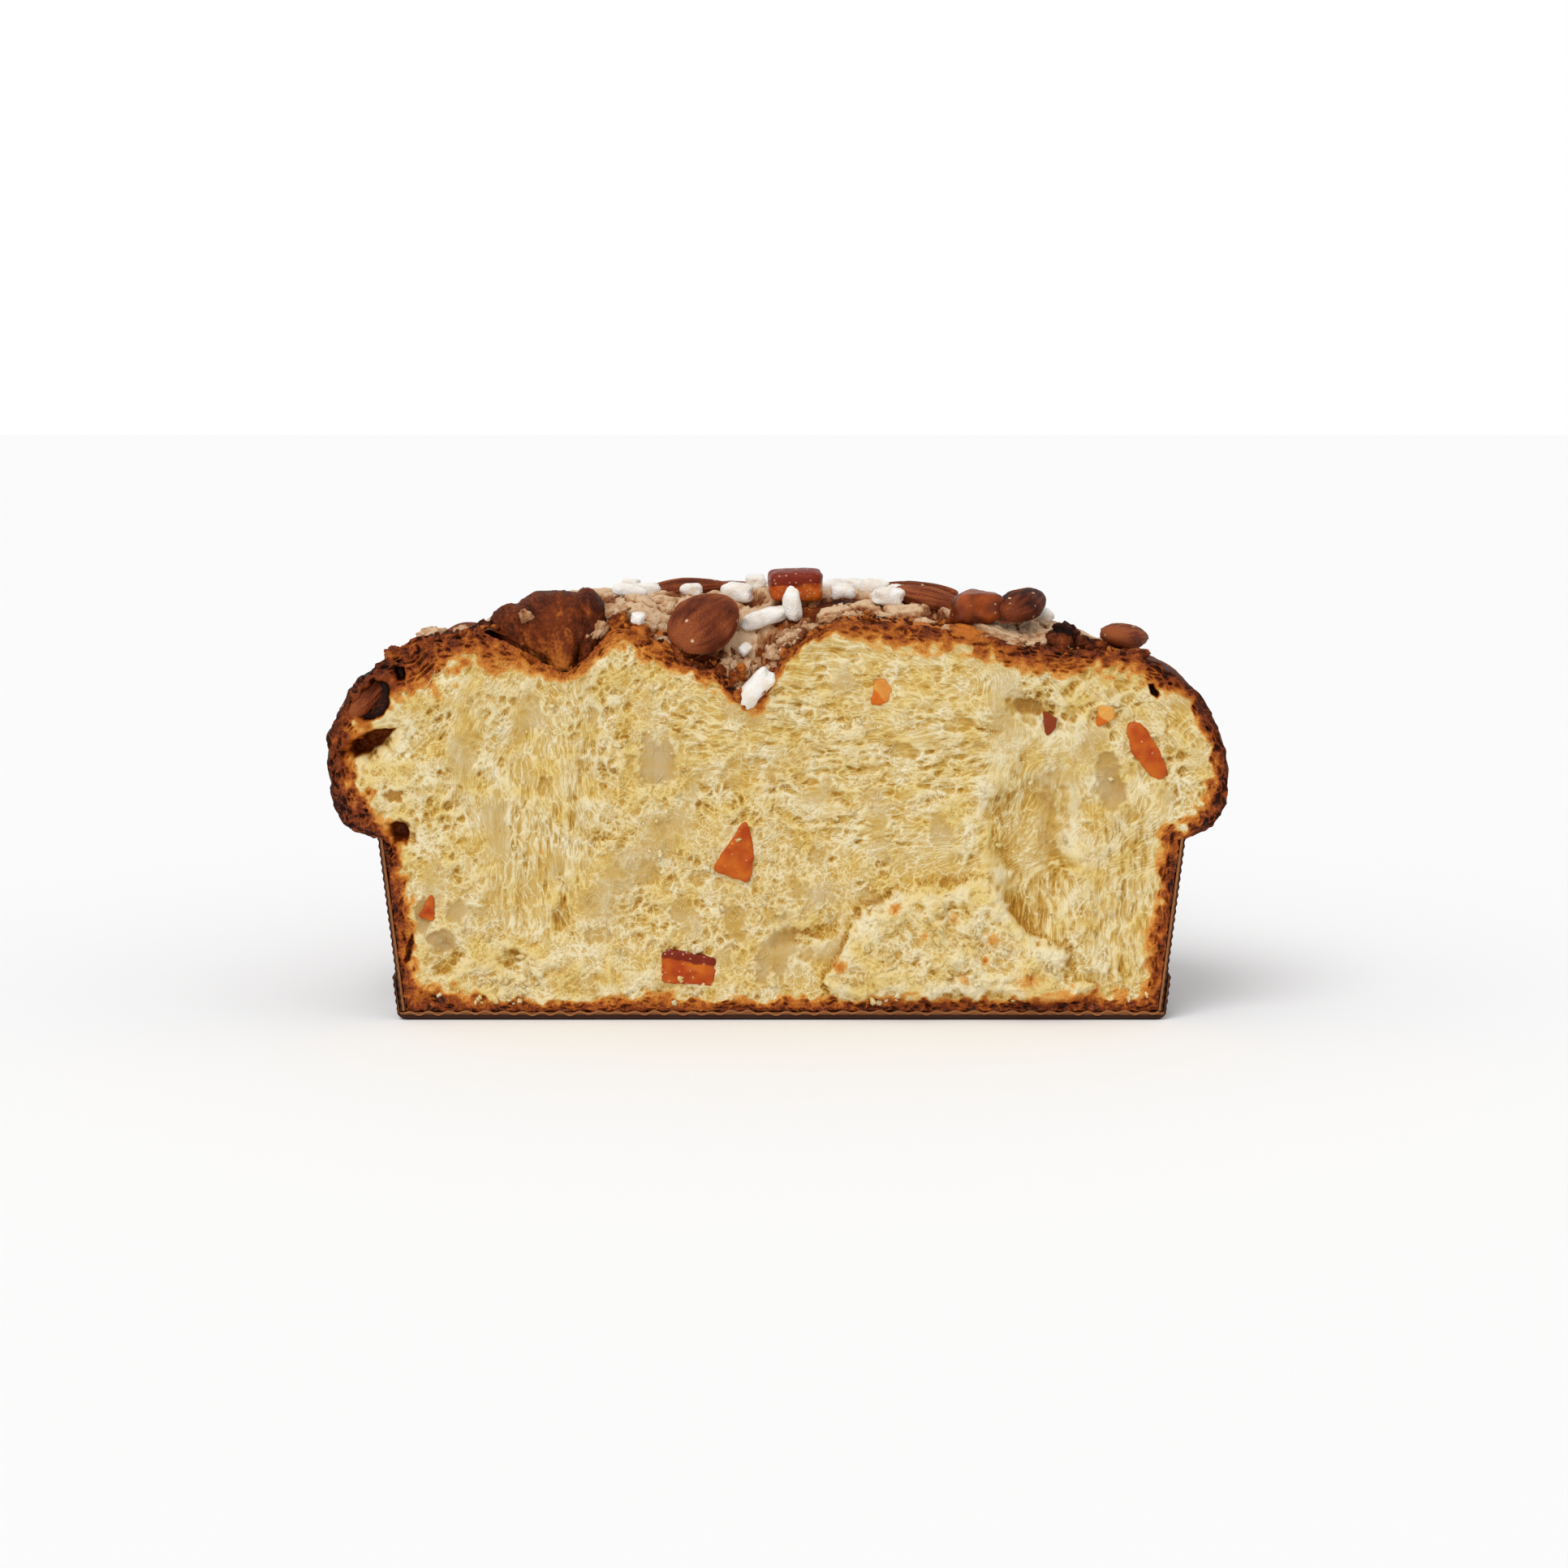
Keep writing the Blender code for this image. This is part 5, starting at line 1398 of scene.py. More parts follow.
        clumps = smooth_step(0.15, 0.6, lumps(warped_x, warped_z, 3.4, 98)) * (1 - torn)
        out = out + 0.45 * clumps * (1 - calm)
        threads = self.threads(x, z, weights)
        shreds = roughened(0, warped_x, warped_z, (1.1, 5.5, 79), (0.8, 2.4, 80), (0.25, 1.0, 83))
        out = out + torn * shreds
        crusty = smooth_step(0.12, 0.4, toast)
        wobble = 0.8 * lumps(x, z, 2.3, 67)
        layers = Pores(1.5, 2.0, 0, 0.9, 0.6).depths(place + wobble, inward * 1.3 + wobble, 92)
        baked = roughened(0.5 * webs(warped_x, warped_z, 1.6, 68), x, z, (0.5, 3.1, 87)) - layers
        out = out * (1 - 0.75 * crusty) + baked * crusty
        film, pocket_shade_and_stains = 0.5 * calm * smooth_step(-0.1, 0.4, lumps(x, z, 10, 93)), np.zeros(x.shape)
        for *bubble, deep, grey in self.bubbles:
            near = roughened(oval(x, z, *bubble), x, z, (0.34, 2.6, 69), (0.16, 0.9, 70))
            inside = 1 - smooth_step(0.66, 1.06, near)
            bowl = -0.6 * deep * np.sqrt(np.clip(1 - 0.7 * near**2, 0.1, 1)) + 0.35 * out
            out = out * (1 - inside) + bowl * inside
            out = out + 0.12 * np.exp(-(((near - 1.1) / 0.12) ** 2))
            film = np.maximum(film, (1 - smooth_step(0.6, 1.15, near)) * grey)
        # Pockets: sunk, and darkened inside by browning and painted shade
        for corners, deep, dark in self.pockets:
            away, _ = distance_to(np.array(corners + corners[:1]), x, z)
            away = np.where(in_polygon(np.array(corners), x, z), -away, away)
            inside = 1 - smooth_step(-0.9, 0.3, roughened(away, x, z, (0.35, 1.4, 73)))
            out = out * (1 - 0.7 * inside) - deep * inside
            pocket_shade_and_stains = np.maximum(pocket_shade_and_stains, inside * dark * roughened(1, x, z, (0.12, 2.2, 84)))
        out = out - form.behind_cut(rough_x, rough_z) * smooth_step(0, 4, inward)
        return out * smooth_step(-0.6, 1.4, inward), film, pocket_shade_and_stains, threads, torn

    @staticmethod
    def threads(x: Array, z: Array, weights: list) -> Array:
        """Coordinates that grow slowly along the crumb's threads, summed from edge to edge."""
        lens = sum(share for kind, share in weights if kind is LENS)
        strands = sum(share for kind, share in weights if kind is STRANDS)
        step_x, step_z = np.diff(x, axis=1, prepend=0), np.diff(z, axis=0, prepend=0)
        across = np.cumsum(step_x * (1 - 0.5 * lens), axis=1)
        along = np.cumsum(step_z * (1 - 0.75 * strands), axis=0)
        across = across + 0.7 * lumps(x, z, 3.1, 90)
        return np.stack([across, along + 0.7 * lumps(x, z, 3.3, 91), 0 * x], axis=-1)

    def foot(self, x: Array, z: Array) -> Array:
        """1 on the crumbly band low on the left of the face, and 0 off it."""
        top = 15 + 5 * lumps(x, 0 * z, 17, 74)
        band = smooth_step(-3, 3, top - z) * smooth_step(-84, -76, x) * smooth_step(-6, -16, x)
        return band * 0.85


@dataclass
class Crown:
    """The baked skin from the case's floor up the sides and over the top, closed at the cut."""

    form: LoafForm
    # The columns' steps along the rim: fine near the cut, coarse behind
    fine_reach: float = 34.0
    fine_step: float = 0.5
    coarse_step: float = 1.5
    side_rows: int = 84
    top_rows: int = 124
    # z of the skin's rows inside the case
    inside_case: tuple = (2.3, 24.0)
    # Share of the depth at which the top's rows meet
    spine: float = 0.85
    cut_inset: float = 1.2
    cut_depth: float = 9.0
    # Wrinkles, as (height, cell, seed)
    wrinkles: tuple = ((0.34, 5.0, 90), (0.24, 2.3, 91), (0.16, 1.1, 92))
    # The smooth domed fold left of the crease, as (x, y, half width, half depth)
    dome: tuple = (-60.0, 10.0, 13.0, 15.0)
    # Scorched places, as (x, y, z, reach, how dark)
    scorched: tuple = (
        (-103, 0, 84, 16, 0.4), (-112, 4, 66, 16, 0.25), (-84, 4, 98, 16, 0.2),
        (-16, 0, 90, 9, 0.35), (100, 6, 88, 14, 0.2), (-60, 4, 92, 8, 0.25),
        (108, 10, 56, 12, 0.15),
    )

    def shares(self) -> Array:
        """Shares of the rim's length for the columns: close together near the cut."""
        half = self.form.rim_length / 2
        fine = np.arange(0, self.fine_reach, self.fine_step)
        count = int((half - self.fine_reach) / self.coarse_step)
        places = np.concatenate([fine, np.linspace(self.fine_reach, half, count)])
        places = places / self.form.rim_length
        return np.concatenate([places, 1 - places[-2::-1]])

    def surface(self) -> Array:
        """Points of the skin before it wrinkles, from the floor to the spine, row by row."""
        form, share = self.form, self.shares()
        rows = [form.case_ring(share, form.wall_outside(z) - 1.5, z) for z in self.inside_case]
        steps = np.linspace(0, len(form.side_right) - 1, self.side_rows)[:, None] + 0 * share
        side = form.side(share + 0 * steps, steps)
        end = side[-1]
        spine_y = self.spine * (end[:, 1] + end[::-1, 1]) / 2
        t = np.linspace(0, 1, self.top_rows + 1)[1:, None]
        x = end[:, 0] * (1 - t)
        y = end[:, 1] * (1 - t) + spine_y * t
        top = np.stack([x, y, form.height(x, y)], axis=-1)
        return np.concatenate([np.stack(rows), side, top])

    def build(self, finish: Material) -> None:
        """Builds the skin.

        Args:
            finish: The crust's material.
        """
        form = self.form
        points = self.surface()
        normals = grid_normals(points)
        x, y, z = np.moveaxis(points, -1, 0)
        bump = roughened_in_space(0, points, *self.wrinkles)
        domed = 1 - smooth_step(0.7, 1.1, oval(x, y, *self.dome))
        stripes = webs(x, (y + z) * 0.12, 1.5, 95)
        bump = bump * (1 - 0.8 * domed) + 0.35 * domed * stripes
        front = (1 - smooth_step(4, 10, y + 2 * lumps(x, y, 6, 94))) * smooth_step(78, 86, z)
        front = front * smooth_step(-49, -44, x) * (1 - smooth_step(70, 95, x))
        crumbly = roughened_in_space(0, points, (0.7, 1.7, 98), (0.4, 0.9, 99))
        bump = bump + front * roughened_in_space(crumbly, points, (0.5, 3.6, 89))
        rough_left = smooth_step(-74, -90, x) * (1 - smooth_step(14, 40, y))
        rough_left = rough_left * smooth_step(60, 80, z)
        bump = bump + rough_left * (1.1 * lumps_in_space(points, 6.5, 87) + 0.6 * crumbly)
        free = smooth_step(0.0, 2.5, y) * smooth_step(44, 50, z)
        points = points + normals * (bump * free)[..., None]
        shift = form.ragged(x, z, 1 - smooth_step(0, 5, y))
        points = points + np.stack([shift[..., 0], 0 * y, shift[..., 1]], axis=-1)
        spine = points[-1]
        points[-1] = (spine + spine[::-1]) / 2
        toast = roughened_in_space(0.46, points, (0.13, 17, 97), (0.08, 5, 96))
        # Browner over the domed fold, and darker between its raised stripes, as painted shade in
        # the grooves
        toast = toast + 0.16 * domed * (1 - stripes * 1.6)
        toast = toast - front * (0.3 + 0.35 * crumbly) - 0.2 * rough_left * crumbly
        for spot_x, spot_y, spot_z, reach, dark in self.scorched:
            away = np.sqrt((x - spot_x) ** 2 + (y - spot_y) ** 2 + (z - spot_z) ** 2)
            toast = toast + dark * (1 - smooth_step(0.3, 1.0, away / reach))
        toast = toast - 0.12 * (1 - smooth_step(50, 62, z))
        self.close(points, toast, 1 - domed, finish)

    def close(self, points: Array, toast: Array, dust: Array, finish: Material) -> None:
        """Closes the skin below and behind the torn face, and adds it.

        Args:
            points: The skin's grid.
            toast: Its browning.
            dust: Where glaze dust may lie.
            finish: The crust's material.
        """
        rows, columns = points.shape[:2]
        index = numbered(rows, columns)
        index[-1] = np.minimum(index[-1], index[-1, ::-1])
        skin = quads_over(index)
        loop = np.concatenate([index[:, 0], index[-2::-1, -1]])
        flat = points.reshape(-1, 3)
        middle = np.array([0, self.cut_depth, 50.0])
        inward = middle - flat[loop]
        inward[:, 1] = 0
        inward = inward / np.linalg.norm(inward, axis=1, keepdims=True)
        inset = flat[loop] + inward * self.cut_inset
        inset[:, 1] = self.cut_depth
        count = rows * columns
        behind = count + np.arange(len(loop))
        walls = np.stack([loop[1:], behind[1:], behind[:-1], loop[:-1]], axis=1)[:, ::-1]
        foot = np.array([[loop[0], loop[-1], behind[-1], behind[0]]])[:, ::-1]
        centre, base = count + len(loop), count + len(loop) + 1
        fan = np.stack([behind, np.roll(behind, -1), np.full(len(loop), centre)], axis=1)
        floor = np.stack([np.roll(index[0], -1), index[0], np.full(columns, base)], axis=1)
        whole = np.vstack([flat, inset, middle[None], [[0, 60, self.inside_case[0]]]])
        extra = len(whole) - count
        masks = {"toast": np.concatenate([toast.ravel(), np.full(extra, 0.4)]),
                 "dust": np.concatenate([dust.ravel(), np.zeros(extra)])}
        add_piece("crust", whole, [skin, walls, foot, fan, floor], finish,
                  "loaf", masks)


@dataclass
class Glaze:
    """The cracked almond glaze on the crown."""

    form: LoafForm
    thickness: float = 1.5
    thin_edge: float = 0.45
    uneven: float = 0.35
    # How far inside the shoulder glaze begins, and how far it reaches inwards, as (mean, sway)
    inset: tuple = (5.0, 5.0)
    hold: tuple = (7.0, 9.5)
    # Bare spots, as (x, y, half width, half depth), and how soon glaze is whole round them
    bare_spots: tuple = ((-60.0, 12.0, 17.0, 22.0),)
    bare_edge: float = 14.0
    # Bare corners of the crown beyond an x and before a y
    bare_left: tuple = (-70.0, 26.0)
    bare_right: tuple = (76.0, 22.0)
    # Size of the plates between cracks, and how far glaze lies under the skin where it ends
    plates: float = 11.0
    sunk: float = 1.2
    # How far behind the cut the glaze begins, as (x, y)
    front: tuple = (
        (-96, 4), (-52, 3), (-44, 2.5), (-38, 5), (-30, 7), (-16, 5), (-11, 0.5), (-6, -1), (0, 2),
        (6, 6), (20, 7), (40, 7.5), (48, 5), (58, 3), (68, 5), (80, 8), (96, 9),
    )

    def cover(self, x: Array, y: Array) -> Array:
        """Positive where glaze lies: ragged at the shoulder, broken by bare spots."""
        inward, _ = distance_to(self.form.shoulder[:, :2], x, y)
        inward = np.where(in_polygon(self.form.shoulder[:, :2], x, y), inward, -inward)
        cover = inward - self.inset[0] + self.inset[1] * lumps(x, y, 11, 41)
        cover = np.minimum(cover, self.hold[0] + self.hold[1] * lumps(x, y, 15, 43))
        for spot in self.bare_spots:
            cover = np.minimum(cover, (oval(x, y, *spot) - 1) * self.bare_edge)
        left = np.maximum(x - self.bare_left[0], y - self.bare_left[1])
        right = np.maximum(self.bare_right[0] - x, y - self.bare_right[1])
        return np.minimum(cover, np.minimum(left, right))

    def build(self, finish: Material) -> None:
        """Builds the front and rear parts.

        Args:
            finish: The glaze's material.
        """
        self.part("glaze_front", np.arange(-96, 96.1, 0.5), np.arange(0.0, 45.1, 0.45), finish)
        self.part("glaze_rear", np.arange(-96, 96.1, 1.0), np.arange(45.0, 147.1, 1.0), finish)

    def part(self, name: str, across: Array, back: Array, finish: Material) -> None:
        """One part over a grid of places.

        The glaze's top lies at the crown's height plus a thickness that falls below the skin
        where the cover ends, and sinks along cracks between plates and into pores.

        Args:
            name: The piece's name.
            across: x of the columns.
            back: y of the rows.
            finish: The glaze's material.
        """
        x, y = np.meshgrid(across, back)
        warped_x = roughened(x, x, y, (1.6, 5, 51), (0.5, 1.7, 52))
        warped_y = roughened(y, x, y, (1.6, 5, 53), (0.5, 1.7, 54))
        nearest, second, owner = cells(warped_x, warped_y, self.plates, 55)
        gap = (second - nearest) * self.plates
        width = roughened(0.3, x, y, (1.0, 11, 56))
        crack = 1 - smooth_step(width * 0.3, width + 0.5, gap)
        front = roughened(y - self.front_edge(x), x, y, (-1.2, 2.3, 57), (-1.4, 6, 58))
        cover = np.minimum(self.cover(x, y), front)
        cover = np.minimum(cover, roughened(11 * (owner - 0.08), x, y, (3, 7, 48)))
        ragged = roughened(cover, x, y, (0.6, 1.5, 59), (0.3, 0.8, 64))
        swell = smooth_step(-0.3, 2.6, ragged)
        thick = self.thickness * (self.thin_edge + (1 - self.thin_edge) * swell)
        thick = thick * roughened(1, x, y, (self.uneven, 5, 47)) + 0.45 * lumps(x, y, 2.2, 60)
        pits, _, open_pit = cells(warped_x, warped_y, 1.6, 61)
        pit = (1 - smooth_step(0.15, 0.5, pits)) * (open_pit > 0.4)
        thick = thick - 0.7 * pit - 0.9 * crack + 0.35 * webs(x, y, 1.3, 62)
        on = smooth_step(-0.5, 0.3, ragged)
        rise = self.form.gap + thick * on - self.sunk * (1 - on)
        ground = self.form.height(x, y)
        top = np.stack([x, y, ground + rise], axis=-1)
        bottom = np.stack([x, y, ground - self.sunk - 0.4], axis=-1)
        corner = ragged > -1.2
        keep = corner[:-1, :-1] | corner[:-1, 1:] | corner[1:, 1:] | corner[1:, :-1]
        points, faces = shell(top, bottom, keep)
        edge = 1 - smooth_step(0.1, 1.6, ragged)
        dark = np.clip(0.85 * np.maximum(crack, 0.7 * edge) + 0.35 * pit, 0, 1)
        masks = {"crack": self.masked(dark, keep)}
        add_piece(name, points, faces, finish, "icing", masks)

    def front_edge(self, x: Array) -> Array:
        """How far behind the cut the glaze begins."""
        return np.interp(x, *np.array(self.front, float).T)

    @staticmethod
    def masked(values: Array, keep: Array) -> Array:
        """Values at the top and bottom points that a shell keeps, in its own order."""
        near = np.pad(keep, 1)
        used = near[:-1, :-1] | near[:-1, 1:] | near[1:, 1:] | near[1:, :-1]
        return np.concatenate([values[used], values[used]])


@dataclass
class PearlSugar:
    """Coarse white sugar on the glaze, as (x, y, heading, length, width)."""

    form: LoafForm
    thickness: float = 1.5
    sinks: float = 0.4
    places: tuple = (
        (-37.0, 2.5, 80, 4.4, 3.4), (-11.5, 22.5, -28, 8.4, 4.6), (-23.5, 27.0, -15, 5.4, 3.6),
        (13.8, 30.0, 10, 6.4, 4.0), (-9.8, 9.6, 70, 3.4, 2.8),
        (19.0, 34.0, -10, 5.6, 3.8), (15.6, 20.0, 5, 6.0, 4.2), (23.6, 27.5, 0, 7.2, 4.6),
        (29.5, 24.0, -12, 6.0, 4.0), (26.8, 14.0, 15, 7.6, 5.0), (-39.5, 24.0, 0, 8.2, 4.0),
        (-35.0, 31.0, 10, 7.0, 4.0), (66.0, 24.0, -20, 6.0, 4.2),
        (6.9, 79.1, 13, 5.6, 4.3), (18.1, 126.7, 41, 6.7, 4.9), (-2.6, 40.5, 62, 5.8, 4.0),
        (-4.4, 110.5, 129, 5.2, 4.5), (-6.6, 31.9, 97, 6.9, 4.8), (-30.4, 88.6, 169, 8.4, 3.9),
        (-40.1, 38.8, 164, 4.7, 4.5), (0.3, 123.8, 69, 7.1, 4.4), (-18.3, 114.5, 156, 7.9, 4.6),
        (-43.9, 51.0, 27, 6.6, 4.2), (26.3, 123.7, 165, 8.2, 4.9), (-7.4, 127.3, 109, 5.9, 4.1),
        (35.5, 69.6, 126, 6.6, 4.3), (6.6, 91.5, 120, 8.1, 4.3), (-9.2, 116.7, 0, 8.4, 4.4),
        (46.8, 50.4, 9, 4.7, 3.8), (-26.9, 128.7, 134, 4.8, 4.6), (17.2, 86.9, 43, 6.9, 5.0),
        (13.1, 96.1, 100, 7.2, 3.7), (4.7, 31.6, 58, 8.3, 4.9),
    )
    # Rods that lean in the crease and on the peel, as (middle, slope, length, width)
    leaning: tuple = (
        ((-6.4, 0.4, 85.2), 48, 10.8, 6.0), ((2.7, 10.6, 105.2), 96, 8.6, 5.0),
        ((-4.4, 12.4, 101.9), 20, 11.6, 5.2),
    )

    def build(self, finish: Material) -> None:
        """Builds the grains as one piece.

        Args:
            finish: The sugar's material.
        """
        unit, faces = ball(15, 18)
        boxy = np.sign(unit) * np.abs(unit) ** 0.6
        shapes, frames, spots = [], [], []
        for number, (x, y, heading, length, width) in enumerate(self.places):
            lift = self.form.gap + self.thickness * (1 - self.sinks) + width * 0.45
            frame, spot = self.form.resting(x, y, heading, lift)
            frames.append(frame)
            spots.append(spot)
            shapes.append(self.grain(boxy, length, width, number))
        for number, (spot, slope, length, width) in enumerate(self.leaning, 99):
            frames.append(rotation(1, -slope))
            spots.append(np.array(spot))
            shapes.append(self.grain(boxy, length, width, number))
        points, blocks = scattered(np.array(shapes), faces, np.array(frames), np.array(spots))
        add_piece("pearl_sugar", points, blocks, finish, "icing")

    @staticmethod
    def grain(boxy: Array, length: float, width: float, seed: int) -> Array:
        """One nugget: a rounded block with broken corners."""
        uneven = swollen(1, boxy, seed, 5, (0.2, 1.3, 0), (0.1, 3.1, 0.5))
        return boxy * uneven[:, None] * [length / 2, width / 2, width * 0.45]


@dataclass
class Folds:
    """Folds of skin beside the crease, as (middle, half sizes, narrowing, lean, browning)."""

    folds: tuple = (
        ((-57.6, 9.8, 98.4), (12.4, 10.4, 10.8), 0.22, -1.0, 0.5),
        ((-66.0, 11.0, 95.6), (8.2, 9.6, 9.6), 0.12, 1.4, 0.54),
        ((-48.8, 9.6, 98.8), (5.2, 9.0, 10.6), 0.06, 0.6, 0.52),
        ((-55.8, 5.2, 95.4), (4.9, 6.6, 8.4), 0.3, -0.4, 0.34),
    )

    def build(self, finish: Material) -> None:
        """Builds the folds as one piece.

        Each is a sphere drawn out and narrowed downwards, with fine wrinkles that run down it.

        Args:
            finish: The crust's material.
        """
        unit, faces = ball(90, 96)
        across, back, up = unit[:, 1], unit[:, 2], unit[:, 0]
        shapes, toasts = [], []
        for seed, (middle, size, narrow, lean, brown) in enumerate(self.folds):
            x = across * size[0] * (1 + narrow * up) - lean * up
            y = back * size[1] * (1 + 0.5 * narrow * up)
            z = up * size[2]
            shape = np.stack([x, y, z], axis=-1)
            slant = x + 0.35 * z
            wrinkle = webs(slant, z * 0.28 + y * 0.1, 1.7, 141 + seed)
            swell = 0.7 * lumps_in_space(shape, 6.0, 145 + seed) + 0.4 * wrinkle
            swell = swell + 0.12 * lumps_in_space(shape, 0.9, 149 + seed)
            shapes.append(shape + unit[:, [1, 2, 0]] * swell[:, None])
            tip = smooth_step(0.1, -0.95, up)
            # Painted shade: darker in the wrinkles' grooves and down each fold's right side; the
            # tip stays lighter
            toast = brown + 0.3 * (0.5 - wrinkle) - 0.3 * tip + 0.34 * smooth_step(0.45, 1, across)
            toasts.append(toast + 0.08 * lumps_in_space(shape, 4.0, 153 + seed))
        frames = np.repeat(np.eye(3)[None], len(shapes), axis=0)
        spots = np.array([fold[0] for fold in self.folds])
        points, blocks = scattered(np.array(shapes), faces, frames, spots)
        toast = np.concatenate(toasts)
        add_piece("skin_folds", points, blocks, finish, "loaf",
                  {"toast": toast, "dust": 0 * toast})


@dataclass
class Flakes:
    """Broken bits of glaze and crust that lie along the cut, and loose crumb on the torn face."""

    form: LoafForm
    seed: int = 11
    # Larger flakes of glaze as (x, y, heading, length, width, thickness, lift)
    flakes: tuple = (
        (53.0, 3.6, 8, 11.0, 6.0, 2.4, 0.6), (58.0, 1.6, -12, 7.6, 4.0, 1.8, 0.2),
        (44.0, 2.6, 0, 8.0, 4.2, 2.2, 0.2), (66.5, 4.6, -20, 6.0, 5.0, 4.2, 1.2),
        (71.0, 3.0, -8, 7.0, 4.6, 3.0, 0.4), (-46.0, 5.0, 20, 8.0, 6.5, 4.6, 2.2),
        (-42.6, 8.0, -10, 8.0, 6.0, 4.4, 2.2), (-47.5, 9.0, 40, 7.0, 6.0, 4.4, 3.0),
        (-11.6, 3.2, 70, 6.6, 3.6, 2.8, 0.6), (-8.6, 1.4, 60, 6.0, 3.4, 2.8, 0.6),
        (-2.0, 5.4, 40, 7.0, 4.6, 3.0, 0.4), (-9.6, 7.6, 80, 6.4, 4.2, 3.0, 0.4),
        (-30.4, 3.2, 8, 6.0, 3.0, 2.2, 0.2), (-88.6, 2.2, 10, 7.6, 4.4, 4.0, 0.4),
        (-80.4, 2.0, 0, 5.0, 3.4, 3.0, 0.2), (-67.6, 1.4, 10, 3.6, 2.4, 3.0, 7.0),
        (3.0, 6.4, 20, 6.4, 4.0, 2.6, 0.4), (12.0, 6.0, 10, 6.0, 3.4, 2.2, 0.2),
        (-10.4, 4.4, 75, 5.0, 3.4, 2.6, 0.2), (-6.8, 4.0, 60, 5.4, 3.4, 2.4, 0.2),
        (-8.0, 0.8, 70, 4.4, 2.6, 2.4, 0.0), (-3.4, 2.0, 35, 4.6, 3.0, 2.4, 0.0),
        (-12.4, 6.0, 80, 4.6, 3.0, 2.6, 0.4), (0.6, 3.4, 30, 5.2, 3.0, 2.2, 0.2),
        (6.8, 5.0, 20, 5.4, 3.2, 2.2, 0.2), (-6.0, 7.4, 50, 5.0, 3.6, 2.4, 0.2),
        (-34.0, 5.4, 20, 5.4, 3.6, 2.4, 0.4), (-28.0, 4.4, -20, 5.0, 3.2, 2.2, 0.2),
        (18.0, 7.0, 0, 6.0, 3.2, 2.0, 0.2), (62.4, 3.2, 10, 6.4, 4.2, 2.4, 0.4),
        (27.0, 6.6, 0, 6.4, 3.0, 2.0, 0.2), (36.0, 5.6, -4, 6.0, 3.4, 2.0, 0.2),
    )
    # Burnt and browned lumps of crust as (x, y, heading, length, width, thickness, lift, browning)
    lumps: tuple = (
        (71.6, 5.6, 10, 6.6, 6.0, 6.6, 3.0, 0.85), (69.4, 2.6, -20, 7.6, 5.0, 5.4, 1.4, 0.5),
        (74.6, 3.4, 0, 6.0, 4.6, 4.4, 1.2, 0.75), (79.0, 3.0, -15, 7.0, 4.6, 3.4, 0.8, 0.6),
        (46.6, 1.6, -8, 9.6, 4.4, 3.8, 0.4, 0.1), (50.0, 1.2, 0, 6.0, 4.0, 3.0, -0.6, 0.2),
        (-10.0, 0.6, 60, 5.0, 3.4, 3.4, 0.0, 0.3), (-4.6, 0.6, 40, 4.4, 3.0, 3.0, 0.0, 0.3),
        (-15.0, 1.6, 50, 5.0, 3.4, 3.0, 0.0, 0.5), (1.6, 1.2, 30, 5.0, 3.0, 2.6, 0.0, 0.25),
        (-12.6, 2.4, 60, 6.0, 4.0, 4.4, 0.6, 0.3), (-11.4, 5.4, 70, 4.6, 3.4, 3.6, 1.0, 0.15),
        (-7.4, 3.0, 50, 4.2, 3.0, 3.2, 0.8, 0.2), (-3.0, 3.6, 30, 4.4, 3.0, 3.0, 0.8, 0.3),
        (-41.0, 4.0, 0, 5.0, 4.0, 4.0, 1.0, 0.35),
        (-35.0, 1.4, -10, 6.0, 3.6, 3.4, 0.2, 0.25), (-27.0, 1.4, -30, 5.0, 3.4, 3.0, 0.0, 0.4),
        (-98.0, 2.0, 30, 5.0, 4.0, 3.6, -0.8, 0.3), (-92.6, 2.6, 10, 6.0, 4.0, 3.4, -0.4, 0.2),
        (-86.0, 6.0, 0, 7.0, 5.0, 3.4, -0.4, 0.25), (-75.6, 6.6, 10, 6.0, 5.0, 4.0, 0.0, 0.7),
        (90.0, 2.0, -20, 6.0, 4.0, 2.6, 0.2, 0.5),
    )
    rubble: int = 460
    grit: int = 260
    crease: tuple = (-15.0, 6.0)
    crumbs: int = 360
    threads: int = 420

    def build(self, glaze: Material, crust: Material,
              crumb: Material, face: Array) -> None:
        """Builds the flakes, the rubble, the crumbs and the threads.

        Args:
            glaze: The glaze's material.
            crust: The crust's material.
            crumb: The crumb's material.
            face: The torn face's grid of points.
        """
        draw = Random(self.seed)
        points, blocks = self.lumpy(self.flakes, 0)
        pitted = lumps_in_space(points, 1.1, 161)
        crack = roughened_in_space(0.22, points, (0.3, 3.0, 160)) + 0.25 * np.maximum(-pitted, 0)
        add_piece("glaze_flakes", points, blocks, glaze, "icing", {"crack": crack})
        points, blocks = self.lumpy([lump[:7] for lump in self.lumps], 40)
        toast = np.repeat([lump[7] for lump in self.lumps], len(points) // len(self.lumps))
        toast = toast + 0.3 * lumps_in_space(points, 1.6, 162)
        add_piece("crust_lumps", points, blocks, crust, "loaf",
                  {"toast": toast, "dust": 0 * toast})
        self.add_rubble("crust_rubble", crust, draw, self.rubble, (-92, 92))
        self.add_rubble("glaze_rubble", glaze, draw, self.grit, self.crease)
        self.add_crumbs(crumb, face, draw)
        self.add_threads(crumb, face, draw)

